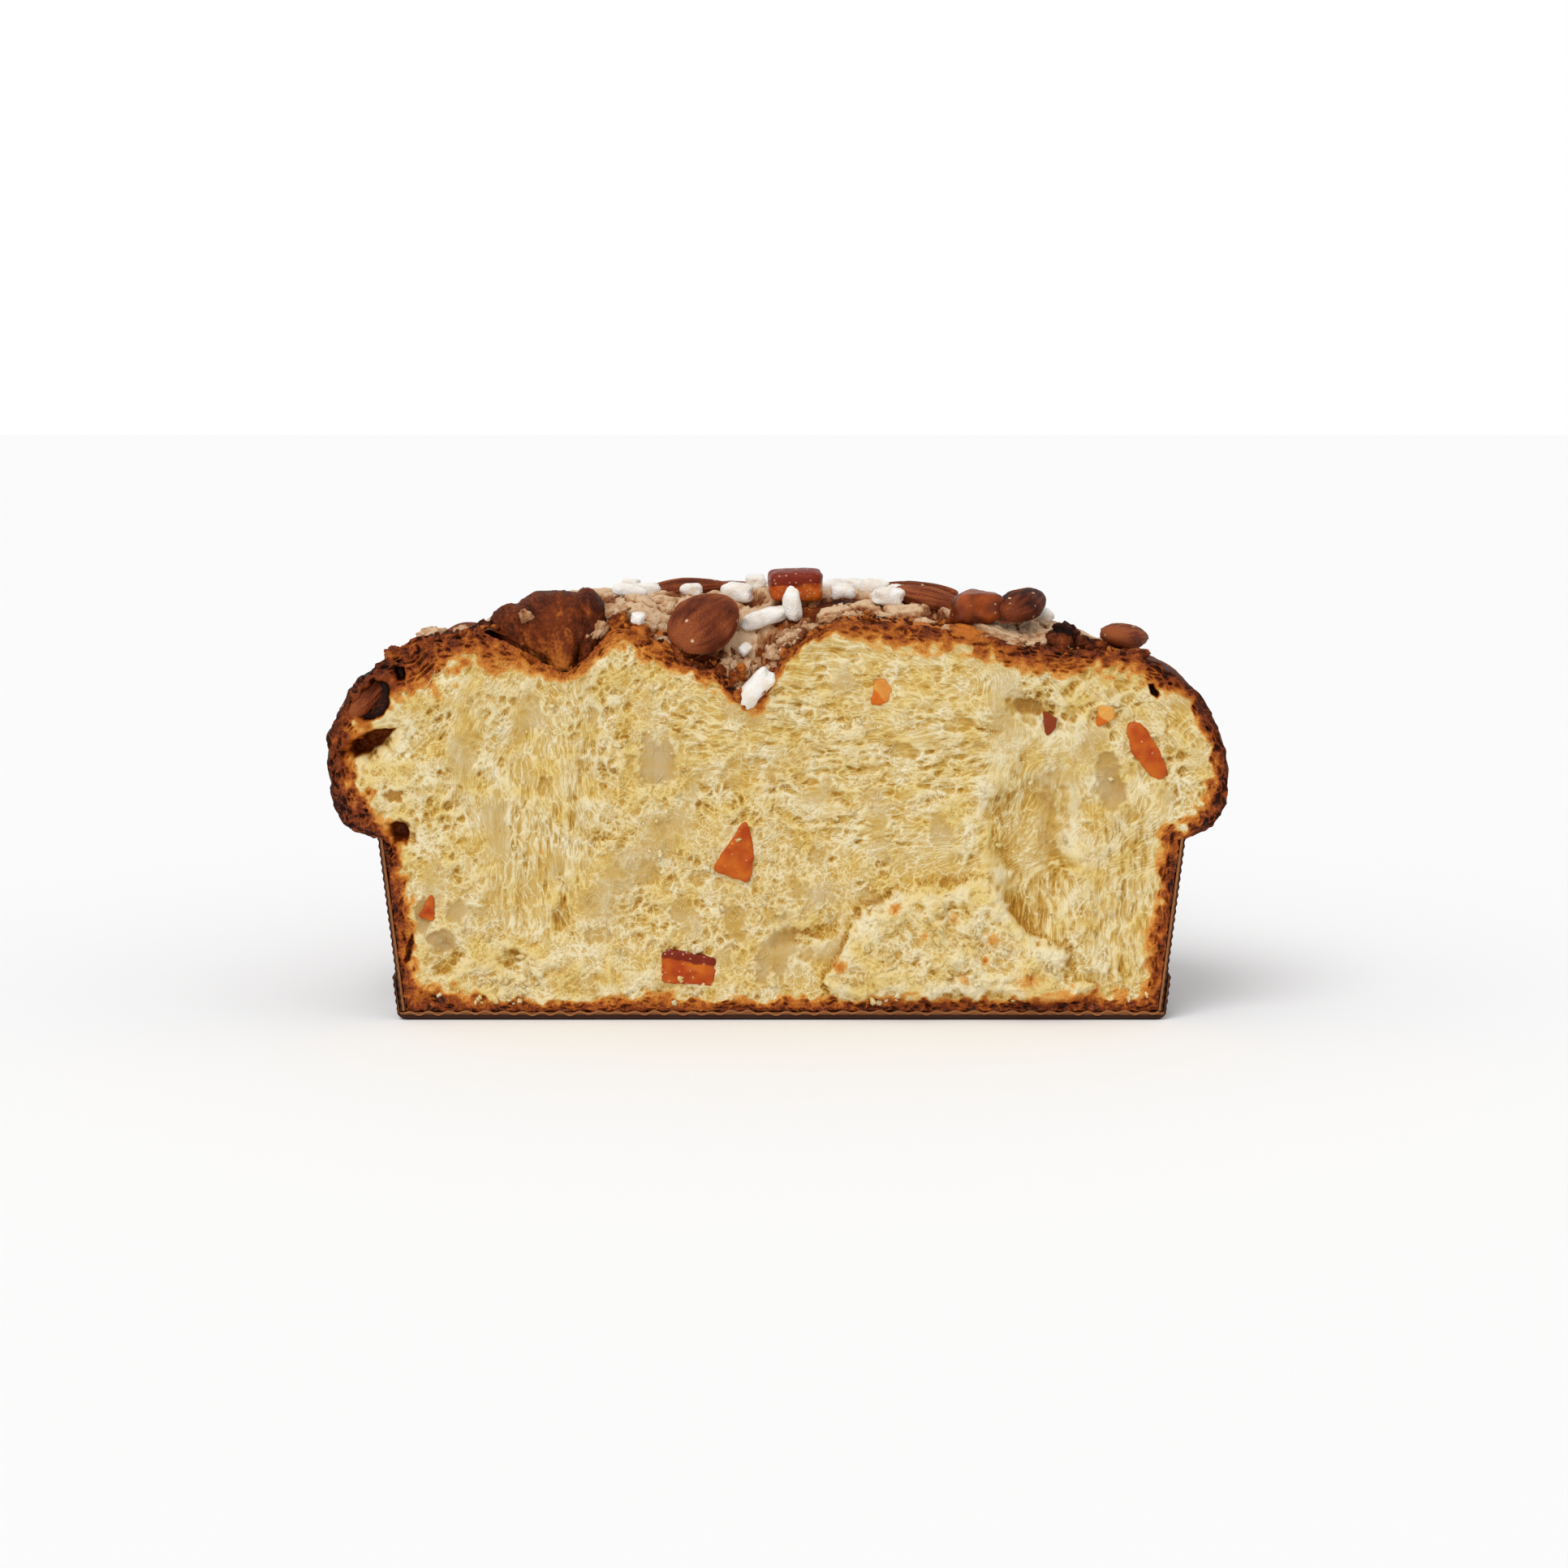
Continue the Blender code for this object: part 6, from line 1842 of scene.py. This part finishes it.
    def lumpy(self, places: Sequence[tuple], seeds: int) -> tuple[Array, Faces]:
        """Flattened, porous lumps that rest on the crown."""
        unit, faces = ball(30, 36)
        shapes, frames, spots = [], [], []
        for seed, (x, y, heading, length, width, thick, lift) in enumerate(places, seeds):
            frame, spot = self.form.resting(x, y, heading, lift)
            swell = swollen(1, unit, seed, 9, (0.34, 1.6, 0), (0.22, 4, 0.4), (0.12, 9, 0.7))
            shapes.append(unit * swell[:, None] * [length / 2, width / 2, thick / 2])
            frames.append(frame)
            spots.append(spot)
        return scattered(np.array(shapes), faces, np.array(frames), np.array(spots))

    def add_rubble(self, name: str, finish: Material, draw: Random,
                   count: int, across: tuple) -> None:
        """Small crumbs of crust, or of glaze, along the crown's edge.

        Args:
            name: The piece's name.
            finish: Its material.
            draw: Random draws.
            count: How many crumbs.
            across: The least and the greatest x.
        """
        glazed = name.startswith("glaze")
        unit, faces = ball(4, 6)
        x = draw.uniform(*across, count)
        y = draw.uniform(0.4, 8.0, count)
        size = draw.uniform(0.5, 1.5, count) * (1.5 if glazed else 1.0)
        z = self.form.height(x, y) + 0.15 * size + (0.9 if glazed else 0.0)
        uneven = 1 + draw.uniform(-0.35, 0.35, (count, len(unit), 1))
        shapes = unit * uneven * size[:, None, None] * [0.75, 0.55, 0.45]
        points, blocks = scattered(shapes, faces, turned(count, draw),
                                   np.stack([x, y, z], axis=-1))
        browning = np.repeat(draw.uniform(0.0, 0.75, count), len(unit))
        if glazed:
            add_piece(name, points, blocks, finish, "icing", {"crack": browning})
        else:
            add_piece(name, points, blocks, finish, "loaf",
                      {"toast": browning, "dust": 0 * browning})

    def add_crumbs(self, finish: Material, face: Array,
                   draw: Random) -> None:
        """Loose crumb: most on the torn chunk and along the foot, a few elsewhere."""
        unit, faces = ball(5, 7)
        rows, columns = face.shape[:2]
        row = draw.randint(10, rows - 10, self.crumbs * 12)
        column = draw.randint(10, columns - 10, self.crumbs * 12)
        x, z = face[row, column, 0], face[row, column, 2]
        heaped = np.exp(-(((x + 69) / 9) ** 2)) * (z < 12)
        likely = np.maximum(0.12 * self.form.chunk(x, z), np.maximum(heaped, 0.06 * (z < 7.5)))
        likely = likely + 0.03 * (np.abs(x) < 88) * (z < 82)
        chosen = np.flatnonzero(draw.uniform(0, 1, len(row)) < likely)[:self.crumbs]
        row, column = row[chosen], column[chosen]
        size = draw.uniform(0.4, 1.5, len(chosen))
        spots = face[row, column] - np.stack([0 * size, 0.15 * size, 0 * size], axis=-1)
        uneven = 1 + draw.uniform(-0.4, 0.4, (len(chosen), len(unit), 1))
        shapes = unit * uneven * size[:, None, None] * [0.9, 0.6, 0.5]
        points, blocks = scattered(shapes, faces, turned(len(chosen), draw), spots)
        hollow = np.repeat(draw.uniform(0.0, 0.45, len(chosen)), len(unit))
        add_piece("loose_crumb", points, blocks, finish, "loaf",
                  {"hollow": hollow, "toast": 0 * hollow, "film": 0 * hollow, "threads": points})

    def add_threads(self, finish: Material, face: Array,
                    draw: Random) -> None:
        """Fine threads of crumb, each following the face's grid and lifted a little off it."""
        rows, columns = face.shape[:2]
        count, steps, sides = self.threads, 9, 4
        row = draw.uniform(40, rows - 40, count)
        column = draw.uniform(60, columns - 60, count)
        heading = draw.normal(0.5 * math.pi, 0.6, count)
        length = draw.uniform(8, 24, count)
        t = np.linspace(-0.5, 0.5, steps)
        bend = draw.uniform(-0.5, 0.5, count)[:, None] * t**2 * 3
        along, aside = t * length[:, None], bend * length[:, None]
        c, s = np.cos(heading)[:, None], np.sin(heading)[:, None]
        at_column = np.clip(column[:, None] + along * c - aside * s, 2, columns - 3)
        at_row = np.clip(row[:, None] + along * s + aside * c, 2, rows - 3)
        path = face[at_row.astype(int), at_column.astype(int)].copy()
        path[:, 1:-1] = (path[:, :-2] + path[:, 1:-1] + path[:, 2:]) / 3
        path[..., 1] -= 0.25 * np.sin(math.pi * (t + 0.5))
        thick = draw.uniform(0.05, 0.11, count)[:, None] * (1.1 - np.abs(2 * t) ** 3)
        turn = np.linspace(0, 2 * math.pi, sides, endpoint=False)
        side = np.stack([-s, 0 * s, c], axis=-1)
        down = np.array([0, 1, 0]) * np.sin(turn)[:, None]
        ring = side[:, :, None] * np.cos(turn)[:, None] - down
        points = path[:, :, None] + ring * thick[:, :, None, None]
        index = numbered(steps, sides)
        ahead = np.roll(index, -1, axis=1)
        quads = np.stack([index[:-1], ahead[:-1], ahead[1:], index[1:]], axis=-1).reshape(-1, 4)
        caps = np.stack([index[0, ::-1], index[-1]])
        shapes = points.reshape(count, -1, 3)
        whole, blocks = scattered(shapes, [quads, caps], np.repeat(np.eye(3)[None], count, axis=0),
                                  np.zeros((count, 3)))
        hollow = np.repeat(draw.uniform(0.0, 0.3, count), steps * sides)
        add_piece("crumb_threads", whole, blocks, finish, "loaf",
                  {"hollow": hollow, "toast": 0 * hollow, "film": 0 * hollow, "threads": whole})


@dataclass(frozen=True)
class Almond:
    """One almond: where it lies or leans, its size, and how it was baked."""

    name: str
    place: tuple
    size: tuple
    sunk: float = 2.6
    roll: float = 0.0
    skin_darkening: float = 0.0
    dusting: float = 0.05
    blunt: float = 0.0


@dataclass
class Almonds:
    """Whole almonds with their skin, each lying in the frame's place for it."""

    form: LoafForm
    lift: float = 1.8
    almonds: tuple = (
        Almond("almond_front", (-20.4, 9.6, 62), (20.0, 17.8, 11.4), 2.0, -8, 0.04, 0.06, 0.8),
        Almond("almond_behind", (-25.0, 37.0, 8), (22.5, 13.5, 8.0), 3.4),
        Almond("almond_ridge_right", (34.0, 42.0, 5), (23.0, 13.0, 8.0), 4.4),
        Almond("almond_flat", (38.5, 19.0, -10), (21.0, 13.0, 7.6), 4.0, 0, -0.16),
        Almond("almond_end_on", (60.6, 13.8, 66), (21.0, 12.0, 8.0), -1.2, 8, 0.3, 0.1, 0.3),
        Almond("almond_shoulder", (87.6, 14.5, 62), (21.0, 12.6, 8.0), 2.0, 6, -0.16),
        Almond("almond_left_wing", (-83.0, 31.0, 70), (22.5, 13.5, 8.2), 5.4),
        Almond("almond_right_wing", (70.0, 38.0, -35), (22.0, 13.0, 8.0), 4.6),
        Almond("almond_body_left", (-32.0, 64.0, 100), (23.0, 13.5, 8.4)),
        Almond("almond_body_right", (20.0, 71.0, 30), (22.5, 14.0, 8.2)),
        Almond("almond_body_middle", (-9.0, 93.0, -25), (23.5, 13.5, 8.0), 2.4),
        Almond("almond_tail_right", (37.0, 104.0, 75), (22.0, 13.0, 8.4)),
        Almond("almond_tail_left", (-35.0, 110.0, 40), (22.5, 13.5, 8.0)),
    )
    # The burnt almond's skin is set a little lighter than plain, as painted light against the
    # shade where it lies
    burnt: Almond = Almond("almond_burnt", (-104.0, 7.0, 83.6), (20.0, 12.0, 8.0), skin_darkening=-0.05)
    burnt_turn: tuple = (40.0, 48.0)

    def build(self, effects: Effects) -> None:
        """Builds every almond.

        Args:
            effects: The shared node groups.
        """
        unit, faces = ball(70, 60)
        for seed, almond in enumerate(self.almonds):
            x, y, heading = almond.place
            lift = self.lift + almond.size[2] / 2 - almond.sunk
            frame, spot = self.form.resting(x, y, heading, lift)
            frame = frame @ rotation(0, almond.roll)
            self.add(almond, unit, faces, frame, spot, effects, seed)
        heading, lean = self.burnt_turn
        frame = rotation(1, -lean) @ rotation(2, heading)
        self.add(self.burnt, unit, faces, frame, np.array(self.burnt.place), effects, 30)

    def add(self, almond: Almond, unit: Array, faces: Faces, frame: Array, spot: Array,
            effects: Effects, seed: int) -> None:
        """Adds one almond: a sphere drawn out to a tip, with ridges that run from end to end.

        Args:
            almond: The almond.
            unit: Directions of a sphere.
            faces: Faces over them.
            frame: Its rotation.
            spot: Its middle.
            effects: The shared node groups.
            seed: Picks its ridges.
        """
        ahead, across, flat = unit.T
        turn = np.arctan2(flat, across)
        tip, base = np.maximum(ahead, 0), np.maximum(-ahead, 0)
        slim = (1 + 0.16 * base**2) * (1 - 0.3 * (1 - almond.blunt) * (ahead + 1) / 2)
        point = tip + 0.1 * tip**3 - base**1.35
        c, s = np.cos(turn), np.sin(turn)
        around = np.stack([c * 5.5, s * 5.5, ahead * 0.9], axis=-1)
        fine = np.stack([c * 13, s * 13, ahead * 1.6], axis=-1)
        ridge = 0.6 * np.abs(lumps_in_space(around, 1.0, seed)) + 0.4 * np.abs(
            lumps_in_space(fine, 1.0, seed + 0.3))
        body = smooth_step(1.0, 0.8, np.abs(ahead))
        swell = swollen(1, unit, seed, 4, (0.05, 1.2, 0.7)) - 0.085 * (1 - ridge * 1.6) * body
        length, width, thickness = almond.size
        points = np.stack([point * length / 2, across * slim * width / 2 * swell,
                           flat * slim * thickness / 2 * swell], axis=-1)
        # The grooves, which the finish darkens partly as painted shade
        groove = np.clip(0.75 - 1.1 * ridge, 0, 1) * smooth_step(1.1, 0.5, np.abs(ahead))
        finish = AlmondFinish().build(effects, almond.name + "_skin", almond.skin_darkening,
                                      almond.dusting)
        add_piece(almond.name + "_baked", points @ frame.T + spot, faces, finish,
                  almond.name, {"groove": groove})


@dataclass(frozen=True)
class Dice:
    """One diced piece of peel on the crown, and the share of its height that is rind."""

    name: str
    place: tuple
    size: tuple
    sunk: float
    rind: float
    crystals: float
    ragged: float = 0.09
    finish: PeelFinish = PeelFinish()


@dataclass(frozen=True)
class Slice:
    """One piece of peel in the torn face: depth, corners as (x, z), and its rind's edge."""

    name: str
    depth: float
    corners: tuple
    rind: tuple = (0.0, 1.0, 9.0)
    crystals: float = 0.06
    finish: PeelFinish = PeelFinish()


CLEAR_PEEL = PeelFinish(paint(222, 160, 74), paint(204, 112, 28), paint(208, 104, 20))


@dataclass
class CandiedPeel:
    """Diced peel on the crown, and pieces laid open by the cut."""

    form: LoafForm
    levelled: float = 0.65
    lift: float = 1.8
    proud: float = 0.8
    slack: float = 1e-6
    dice: tuple = (
        Dice("candied_top", (3.5, 19.0, 3), (14.4, 11.0, 8.4), 1.2, 0.15, 0.4),
        Dice("candied_glazed", (49.0, 8.8, 16), (12.0, 9.0, 8.4), 0.6, 2.0, 0.05, 0.26,
             PeelFinish(paint(158, 72, 22), paint(92, 34, 10))),
        Dice("candied_body", (-14.0, 74.0, 50), (12.0, 10.0, 7.6), 1.0, 0.4, 0.2),
        Dice("candied_tail", (10.0, 118.0, -20), (11.5, 9.5, 7.2), 1.0, 0.4, 0.2),
        Dice("candied_rear", (-41.0, 89.0, 15), (11.0, 9.5, 7.0), 1.0, 0.4, 0.2),
    )
    slices: tuple = (
        Slice("candied_wedge", 6, ((-9.0, 52.3), (-7.0, 44.2), (-7.7, 35.2), (-17.9, 38.4))),
        Slice("candied_slab", 7, ((-30.2, 18.5), (-16.3, 16.2), (-17.0, 8.7), (-30.9, 9.7)),
              (0.15, 1.0, 1.6), 0.2),
        Slice("candied_strip", 6, ((86.8, 76.4), (91.2, 76.2), (96.3, 67.6), (98.2, 62.6),
                                   (94.6, 61.3), (88.2, 68.9)), crystals=0.05),
        Slice("candied_chip_arch", 4, ((23.4, 87.3), (25.9, 87.4), (28.0, 84.5), (27.0, 81.4),
                                       (22.4, 80.2)), (-0.7, -0.7, 1.2), 0.0, CLEAR_PEEL),
        Slice("candied_chip_wing", 4, ((80.0, 80.7), (83.5, 80.2), (84.4, 77.6), (79.5, 75.0)),
              (-0.7, -0.7, 1.0), 0.0, CLEAR_PEEL),
        Slice("candied_sliver", 4, ((-88.7, 33.3), (-88.2, 27.5), (-88.8, 25.2), (-92.4, 26.4))),
        Slice("candied_dark_chip", 4, ((66.0, 79.5), (69.7, 77.2), (69.0, 74.8), (66.7, 72.4)),
              (0.0, 1.0, -9.0), 0.0, PeelFinish(skin=paint(136, 54, 14))),
    )

    def build(self, effects: Effects) -> None:
        """Builds the dice and the slices.

        Args:
            effects: The shared node groups.
        """
        unit, faces = ball(52, 56)
        for seed, piece in enumerate(self.dice):
            finish = piece.finish.build(effects, piece.name + "_flesh", piece.crystals)
            self.add_dice(piece, unit, faces, finish, seed)
        for seed, piece in enumerate(self.slices):
            finish = piece.finish.build(effects, piece.name + "_flesh", piece.crystals)
            self.add_slice(piece, finish, seed)

    def add_dice(self, piece: Dice, unit: Array, faces: Faces, finish: Material,
                 seed: int) -> None:
        """Adds one block: a sphere drawn out to rounded corners, sunk a little on its sides.

        Args:
            piece: The piece.
            unit: Directions of a sphere.
            faces: Faces over them.
            finish: Its material.
            seed: Picks its unevenness.
        """
        x, y, heading = piece.place
        lift = self.lift + piece.size[2] / 2 - piece.sunk
        frame, spot = self.form.resting(x, y, heading, lift, self.levelled)
        boxy = unit / np.sum(np.abs(unit) ** 5, axis=1, keepdims=True) ** 0.2
        swell = swollen(0.93, boxy, seed, 7, (piece.ragged, 1.1, 0), (0.03, 3.3, 0.5))
        points = boxy * swell[:, None] * np.array(piece.size) / 2
        up = swollen(boxy[:, 2], boxy, seed, 0, (0.2, 2, 3))
        rind = smooth_step(piece.rind - 0.15, piece.rind + 0.15, up)
        add_piece(piece.name + "_baked", points @ frame.T + spot, faces, finish,
                  piece.name, {"rind": rind})

    def add_slice(self, piece: Slice, finish: Material, seed: int) -> None:
        """Adds one piece in the face: its outline in rings, rounded over the front edge.

        Args:
            piece: The piece.
            finish: Its material.
            seed: Picks its unevenness.
        """
        corners = np.array(piece.corners)
        middle = corners.mean(axis=0)
        front = float(self.form.behind_cut(middle[:1], middle[1:])[0]) - self.proud
        segments = 90
        turn = np.linspace(0, 2 * math.pi, segments, endpoint=False)
        reach = self.reach(corners - middle, turn)
        padded = np.concatenate([reach[-3:], reach, reach[:3]])
        reach = np.convolve(padded, np.array([1, 2, 3, 4, 3, 2, 1]) / 16, "valid")
        profile = np.array([[0.18, 0], [0.36, 0], [0.54, 0.0], [0.7, 0.02], [0.82, 0.06],
                            [0.91, 0.16], [0.97, 0.38], [1.0, 0.75], [1.0, 1.4],
                            [0.97, piece.depth * 0.8], [0.7, piece.depth]])
        share, back = profile[:, 0, None], profile[:, 1, None]
        x = middle[0] + reach * share * np.cos(turn)
        z = middle[1] + reach * share * np.sin(turn)
        rough = 0.3 * lumps(x, z, 1.8, seed + 120) + 0.14 * lumps(x, z, 0.7, seed + 121)
        y = front + back + rough * (back < 1)
        rings = np.stack([x + 0.25 * lumps(x, z, 1.3, seed + 122), y,
                          z + 0.25 * lumps(x, z, 1.3, seed + 123)], axis=-1)
        count = len(rings)
        blocks = ring_faces(numbered(count, segments), count * segments, count * segments + 1)
        points = np.vstack([rings.reshape(-1, 3), [[middle[0], front, middle[1]]],
                            [[middle[0], front + piece.depth, middle[1]]]])
        lean_x, lean_z, edge = piece.rind
        across = (points[:, 0] - middle[0]) * lean_x + (points[:, 2] - middle[1]) * lean_z
        across = across + 0.5 * lumps(points[:, 0], points[:, 2], 2.0, seed)
        rind = smooth_step(edge - 0.7, edge + 0.7, across)
        add_piece(piece.name + "_cut", points, blocks, finish, piece.name,
                  {"rind": rind})

    def reach(self, corners: Array, turn: Array) -> Array:
        """Distance from the middle to the outline's edge in each direction."""
        heading = np.stack([np.cos(turn), np.sin(turn)], axis=-1)
        best = np.full(len(turn), FAR)
        for start, end in zip(corners, np.roll(corners, -1, axis=0)):
            span = end - start
            cross = heading[:, 0] * span[1] - heading[:, 1] * span[0]
            cross = np.where(cross == 0, 1 / FAR, cross)
            away = (start[0] * span[1] - start[1] * span[0]) / cross
            along = (start[0] * heading[:, 1] - start[1] * heading[:, 0]) / cross
            hit = (away > 0) & (along >= -self.slack) & (along <= 1 + self.slack)
            best = np.where(hit, np.minimum(best, away), best)
        return best


@dataclass
class PaperCase:
    """The ribbed paper case: its wall, its tray, and the fluted edge that the cut shows."""

    form: LoafForm
    columns: int = 261
    rib_pitch: float = 2.1
    rib_height: float = 0.13
    # How far the ribs' middle lies inside the outer face
    inset: float = 0.1
    rib_rows: int = 7
    rim_height: float = 11.0
    rim_thickness: float = 0.6
    tray_thickness: float = 2.0
    flute_pitch: float = 4.8
    flute_height: float = 0.3
    flute_depth: float = 5.0

    def wave(self, z: Any) -> Array:
        """The ribs' sine from -1 to 1; they run round the case."""
        return np.sin(2 * math.pi * z / self.rib_pitch)

    def ring(self, share: Array, z: float, *outward: float) -> Array:
        """Points round the wall at a height, moved out from its outer face in steps."""
        return self.form.case_ring(share, sum(outward, self.form.wall_outside(z)), z)

    def swept(self, name: str, rows: Array, finish: Material, replaces: str,
              crest: Array, kraft: Array) -> None:
        """A closed strip from rows of points that turn round its section, with flat ends.

        Args:
            name: The piece's name.
            rows: Points as (rows, columns, 3); the last row joins the first.
            finish: The paper's material.
            replaces: The CAD node it stands for.
            crest: How far each row is worn.
            kraft: How far each row is bare kraft.
        """
        count, columns = rows.shape[:2]
        index = numbered(count, columns)
        index = np.vstack([index, index[:1]])
        body = quads_over(index)
        half = count // 2
        near, far = index[:half, 0], index[count - 1:half - 1:-1, 0]
        start = np.stack([near[:-1], near[1:], far[1:], far[:-1]], axis=1)
        near, far = index[:half, -1], index[count - 1:half - 1:-1, -1]
        end = np.stack([near[1:], near[:-1], far[:-1], far[1:]], axis=1)
        masks = {"crest": np.repeat(crest, columns), "kraft": np.repeat(kraft, columns)}
        add_piece(name, rows.reshape(-1, 3), [body, start, end], finish,
                  replaces, masks)

    def build(self, finish: Material) -> None:
        """Builds wall, tray and flute.

        Args:
            finish: The paper's material.
        """
        self.add_wall(finish)
        self.add_tray(finish)
        self.add_flute(finish)

    def add_wall(self, finish: Material) -> None:
        """The wall: ribs outside and inside, and a plain top edge."""
        form = self.form
        share = np.linspace(0, 1, self.columns)
        low, high = self.tray_thickness + form.gap, form.wall_top
        count = int((high - low) / self.rib_pitch * self.rib_rows)
        z = np.linspace(low, high, count)
        outer = [self.ring(share, h, -self.inset, self.rib_height * self.wave(h)) for h in z]
        inner = [self.ring(share, h, -form.wall_thickness) for h in z[::-1]]
        crest = np.concatenate([0.5 + 0.5 * self.wave(z), 0 * z])
        kraft = np.concatenate([0 * z, 0 * z + 1])
        kraft[count - 1] = 0.5
        rows = np.stack(outer + inner)
        fade = smooth_step(2, 8, rows[..., 1])
        waver = 0.25 * fade * lumps(rows[..., 0], rows[..., 1], 16, 131)
        rows[..., 2] += waver * smooth_step(30, 46, rows[..., 2])
        self.swept("paper_wall", rows, finish, "case_wall", crest, kraft)

    def add_tray(self, finish: Material) -> None:
        """The tray: underside and lowest edge painted black as shadow, ribbed rim lapping the
        wall's foot, and its floor.
        """
        form = self.form
        share = np.linspace(0, 1, self.columns)
        lap = form.gap + self.rim_thickness
        count = int(self.rim_height / self.rib_pitch * self.rib_rows)
        z = np.linspace(2.2, self.rim_height, count)
        corner = ((-2.8, 0.0), (-1.5, 0.2), (-0.6, 0.8), (-0.1, 1.5))
        rings = [self.ring(share, h, lap, out) for out, h in corner]
        for h in z:
            rib = self.rib_height * self.wave(h) * smooth_step(2.2, 3.5, h)
            rings.append(self.ring(share, h, lap, -self.inset, rib))
        rings += [self.ring(share, h, form.gap)
                  for h in (self.rim_height, 6.0, self.tray_thickness)]
        rows = np.stack(rings)
        mirrored = (rows[:, :, 1] + rows[:, ::-1, 1]) / 2
        under = np.stack([0 * share, 0.85 * mirrored[0], 0 * share], axis=-1)
        over = under + [0, 0, self.tray_thickness]
        rows = np.concatenate([under[None], rows, over[None]])
        count, columns = rows.shape[:2]
        index = numbered(count, columns)
        for spine in (0, -1):
            index[spine] = np.minimum(index[spine], index[spine, ::-1])
        skin = quads_over(index)
        ends = np.concatenate([index[:, 0], index[-2:0:-1, -1]])[None, ::-1]
        crest = np.concatenate([[0, 0, 0, 0, 0.3], 0.5 + 0.5 * self.wave(z), [0.3, 0, 0, 0]])
        # Below 0 on the underside and its edge, which the finish paints black as shadow
        kraft = np.concatenate([[-1, -1, -0.6, 0, 0], 0 * z, [0.6, 1, 1, 1]])
        masks = {"crest": np.repeat(crest, columns), "kraft": np.repeat(kraft, columns)}
        add_piece("paper_tray", rows.reshape(-1, 3), [skin, ends], finish,
                  "case_tray", masks)

    def add_flute(self, finish: Material) -> None:
        """The corrugated sheet's wavy edge in the cut."""
        half = self.form.rim_half[0][0] + float(self.form.wall_outside(2.0)) - 1.0
        x = np.linspace(-half, half, 600)
        wave = 1.8 + self.flute_height * np.sin(2 * math.pi * x / self.flute_pitch)
        wave = wave + 0.2 * lumps(x, 0 * x, 3, 133) + 0.2 * lumps(x, 0 * x, 11, 134)
        section = ((-0.25, -0.28), (-0.45, 0.0), (-0.25, 0.28), (self.flute_depth, 0.28),
                   (self.flute_depth, 0.0), (self.flute_depth, -0.28))
        rows = np.stack([np.stack([x, y + 0 * x, wave + up], axis=-1) for y, up in section])
        ones = np.ones(len(section))
        self.swept("paper_flute", rows, finish, "case_tray", 0 * ones, ones)


@dataclass
class Studio:
    """A pale floor, soft light from all round and above, and the photograph's viewing angle."""

    aim: tuple = (0.6, 0.0, 60.6)
    elevation: float = 7.0
    distance: float = 900.0
    view_width: float = 396.7
    floor_size: float = 12.0
    sky: float = 0.72
    key_strength: float = 1.35
    key_angle: float = 35.0
    key_from: tuple = (-0.35, -0.75, 1.0)

    def build(self) -> None:
        """Builds floor, lights and camera."""
        self.add_floor()
        self.add_light()
        self.add_camera()

    def add_floor(self) -> None:
        """A plain white floor."""
        half = self.floor_size / 2
        mesh = bpy.data.meshes.new("floor")
        corners = [(-half, -half, 0), (half, -half, 0), (half, half, 0), (-half, half, 0)]
        mesh.from_pydata(corners, [], [(0, 1, 2, 3)])
        material, _ = new_material("studio_floor")
        shader = material.node_tree.nodes["Principled BSDF"]
        shader.inputs["Base Color"].default_value = (0.93, 0.93, 0.93, 1)
        shader.inputs["Roughness"].default_value = 0.9
        mesh.materials.append(material)
        floor = bpy.data.objects.new("floor", mesh)
        bpy.context.scene.collection.objects.link(floor)

    def add_light(self) -> None:
        """An even pale sky, seen as white, and one large soft lamp above the front."""
        world = bpy.data.worlds.new("studio_sky")
        world.use_nodes = True
        graph = Graph(world.node_tree)
        seen = graph.add("LightPath").outputs["Is Camera Ray"]
        background = world.node_tree.nodes["Background"]
        background.inputs["Color"].default_value = (1, 1, 1, 1)
        strength = graph.remap(seen, 0, 1, self.sky, 1.0)
        world.node_tree.links.new(strength, background.inputs["Strength"])
        bpy.context.scene.world = world
        lamp = bpy.data.lights.new("key", "SUN")
        lamp.energy, lamp.angle = self.key_strength, math.radians(self.key_angle)
        key = bpy.data.objects.new("key", lamp)
        key.rotation_euler = (-Vector(self.key_from)).to_track_quat("-Z", "Y").to_euler()
        bpy.context.scene.collection.objects.link(key)

    def add_camera(self) -> None:
        """A camera that sees view_width at the cut face, as the photograph does."""
        lens = bpy.data.cameras.new("camera")
        lens.lens = lens.sensor_width * self.distance / self.view_width
        lens.clip_start, lens.clip_end = 0.05, 20
        aim = Vector((self.aim[0], self.aim[1] + CUT_FACE_Y, self.aim[2])) * MM
        tilt = math.radians(self.elevation)
        back = Vector((0, -math.cos(tilt), math.sin(tilt)))
        camera = bpy.data.objects.new("camera", lens)
        camera.location = aim + back * self.distance * MM
        camera.rotation_euler = (-back).to_track_quat("-Z", "Y").to_euler()
        bpy.context.scene.collection.objects.link(camera)
        bpy.context.scene.camera = camera
        bpy.context.scene.view_settings.view_transform = "Standard"


def main() -> None:
    """Builds every piece in order, then the stage, the lights and the camera."""
    logging.basicConfig(level=logging.INFO, format="%(name)s: %(message)s")
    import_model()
    effects = Effects.build()
    form = LoafForm()
    crumb, crust = CrumbFinish().build(effects), CrustFinish().build(effects)
    glaze = GlazeFinish().build(effects)
    face = TornFace(form).build(crumb)
    Crown(form).build(crust)
    Folds().build(crust)
    Glaze(form).build(glaze)
    Flakes(form).build(glaze, crust, crumb, face)
    PearlSugar(form).build(SugarFinish().build(effects))
    Almonds(form).build(effects)
    CandiedPeel(form).build(effects)
    PaperCase(form).build(PaperFinish().build(effects))
    Studio().build()


if __name__ == "__main__":
    main()
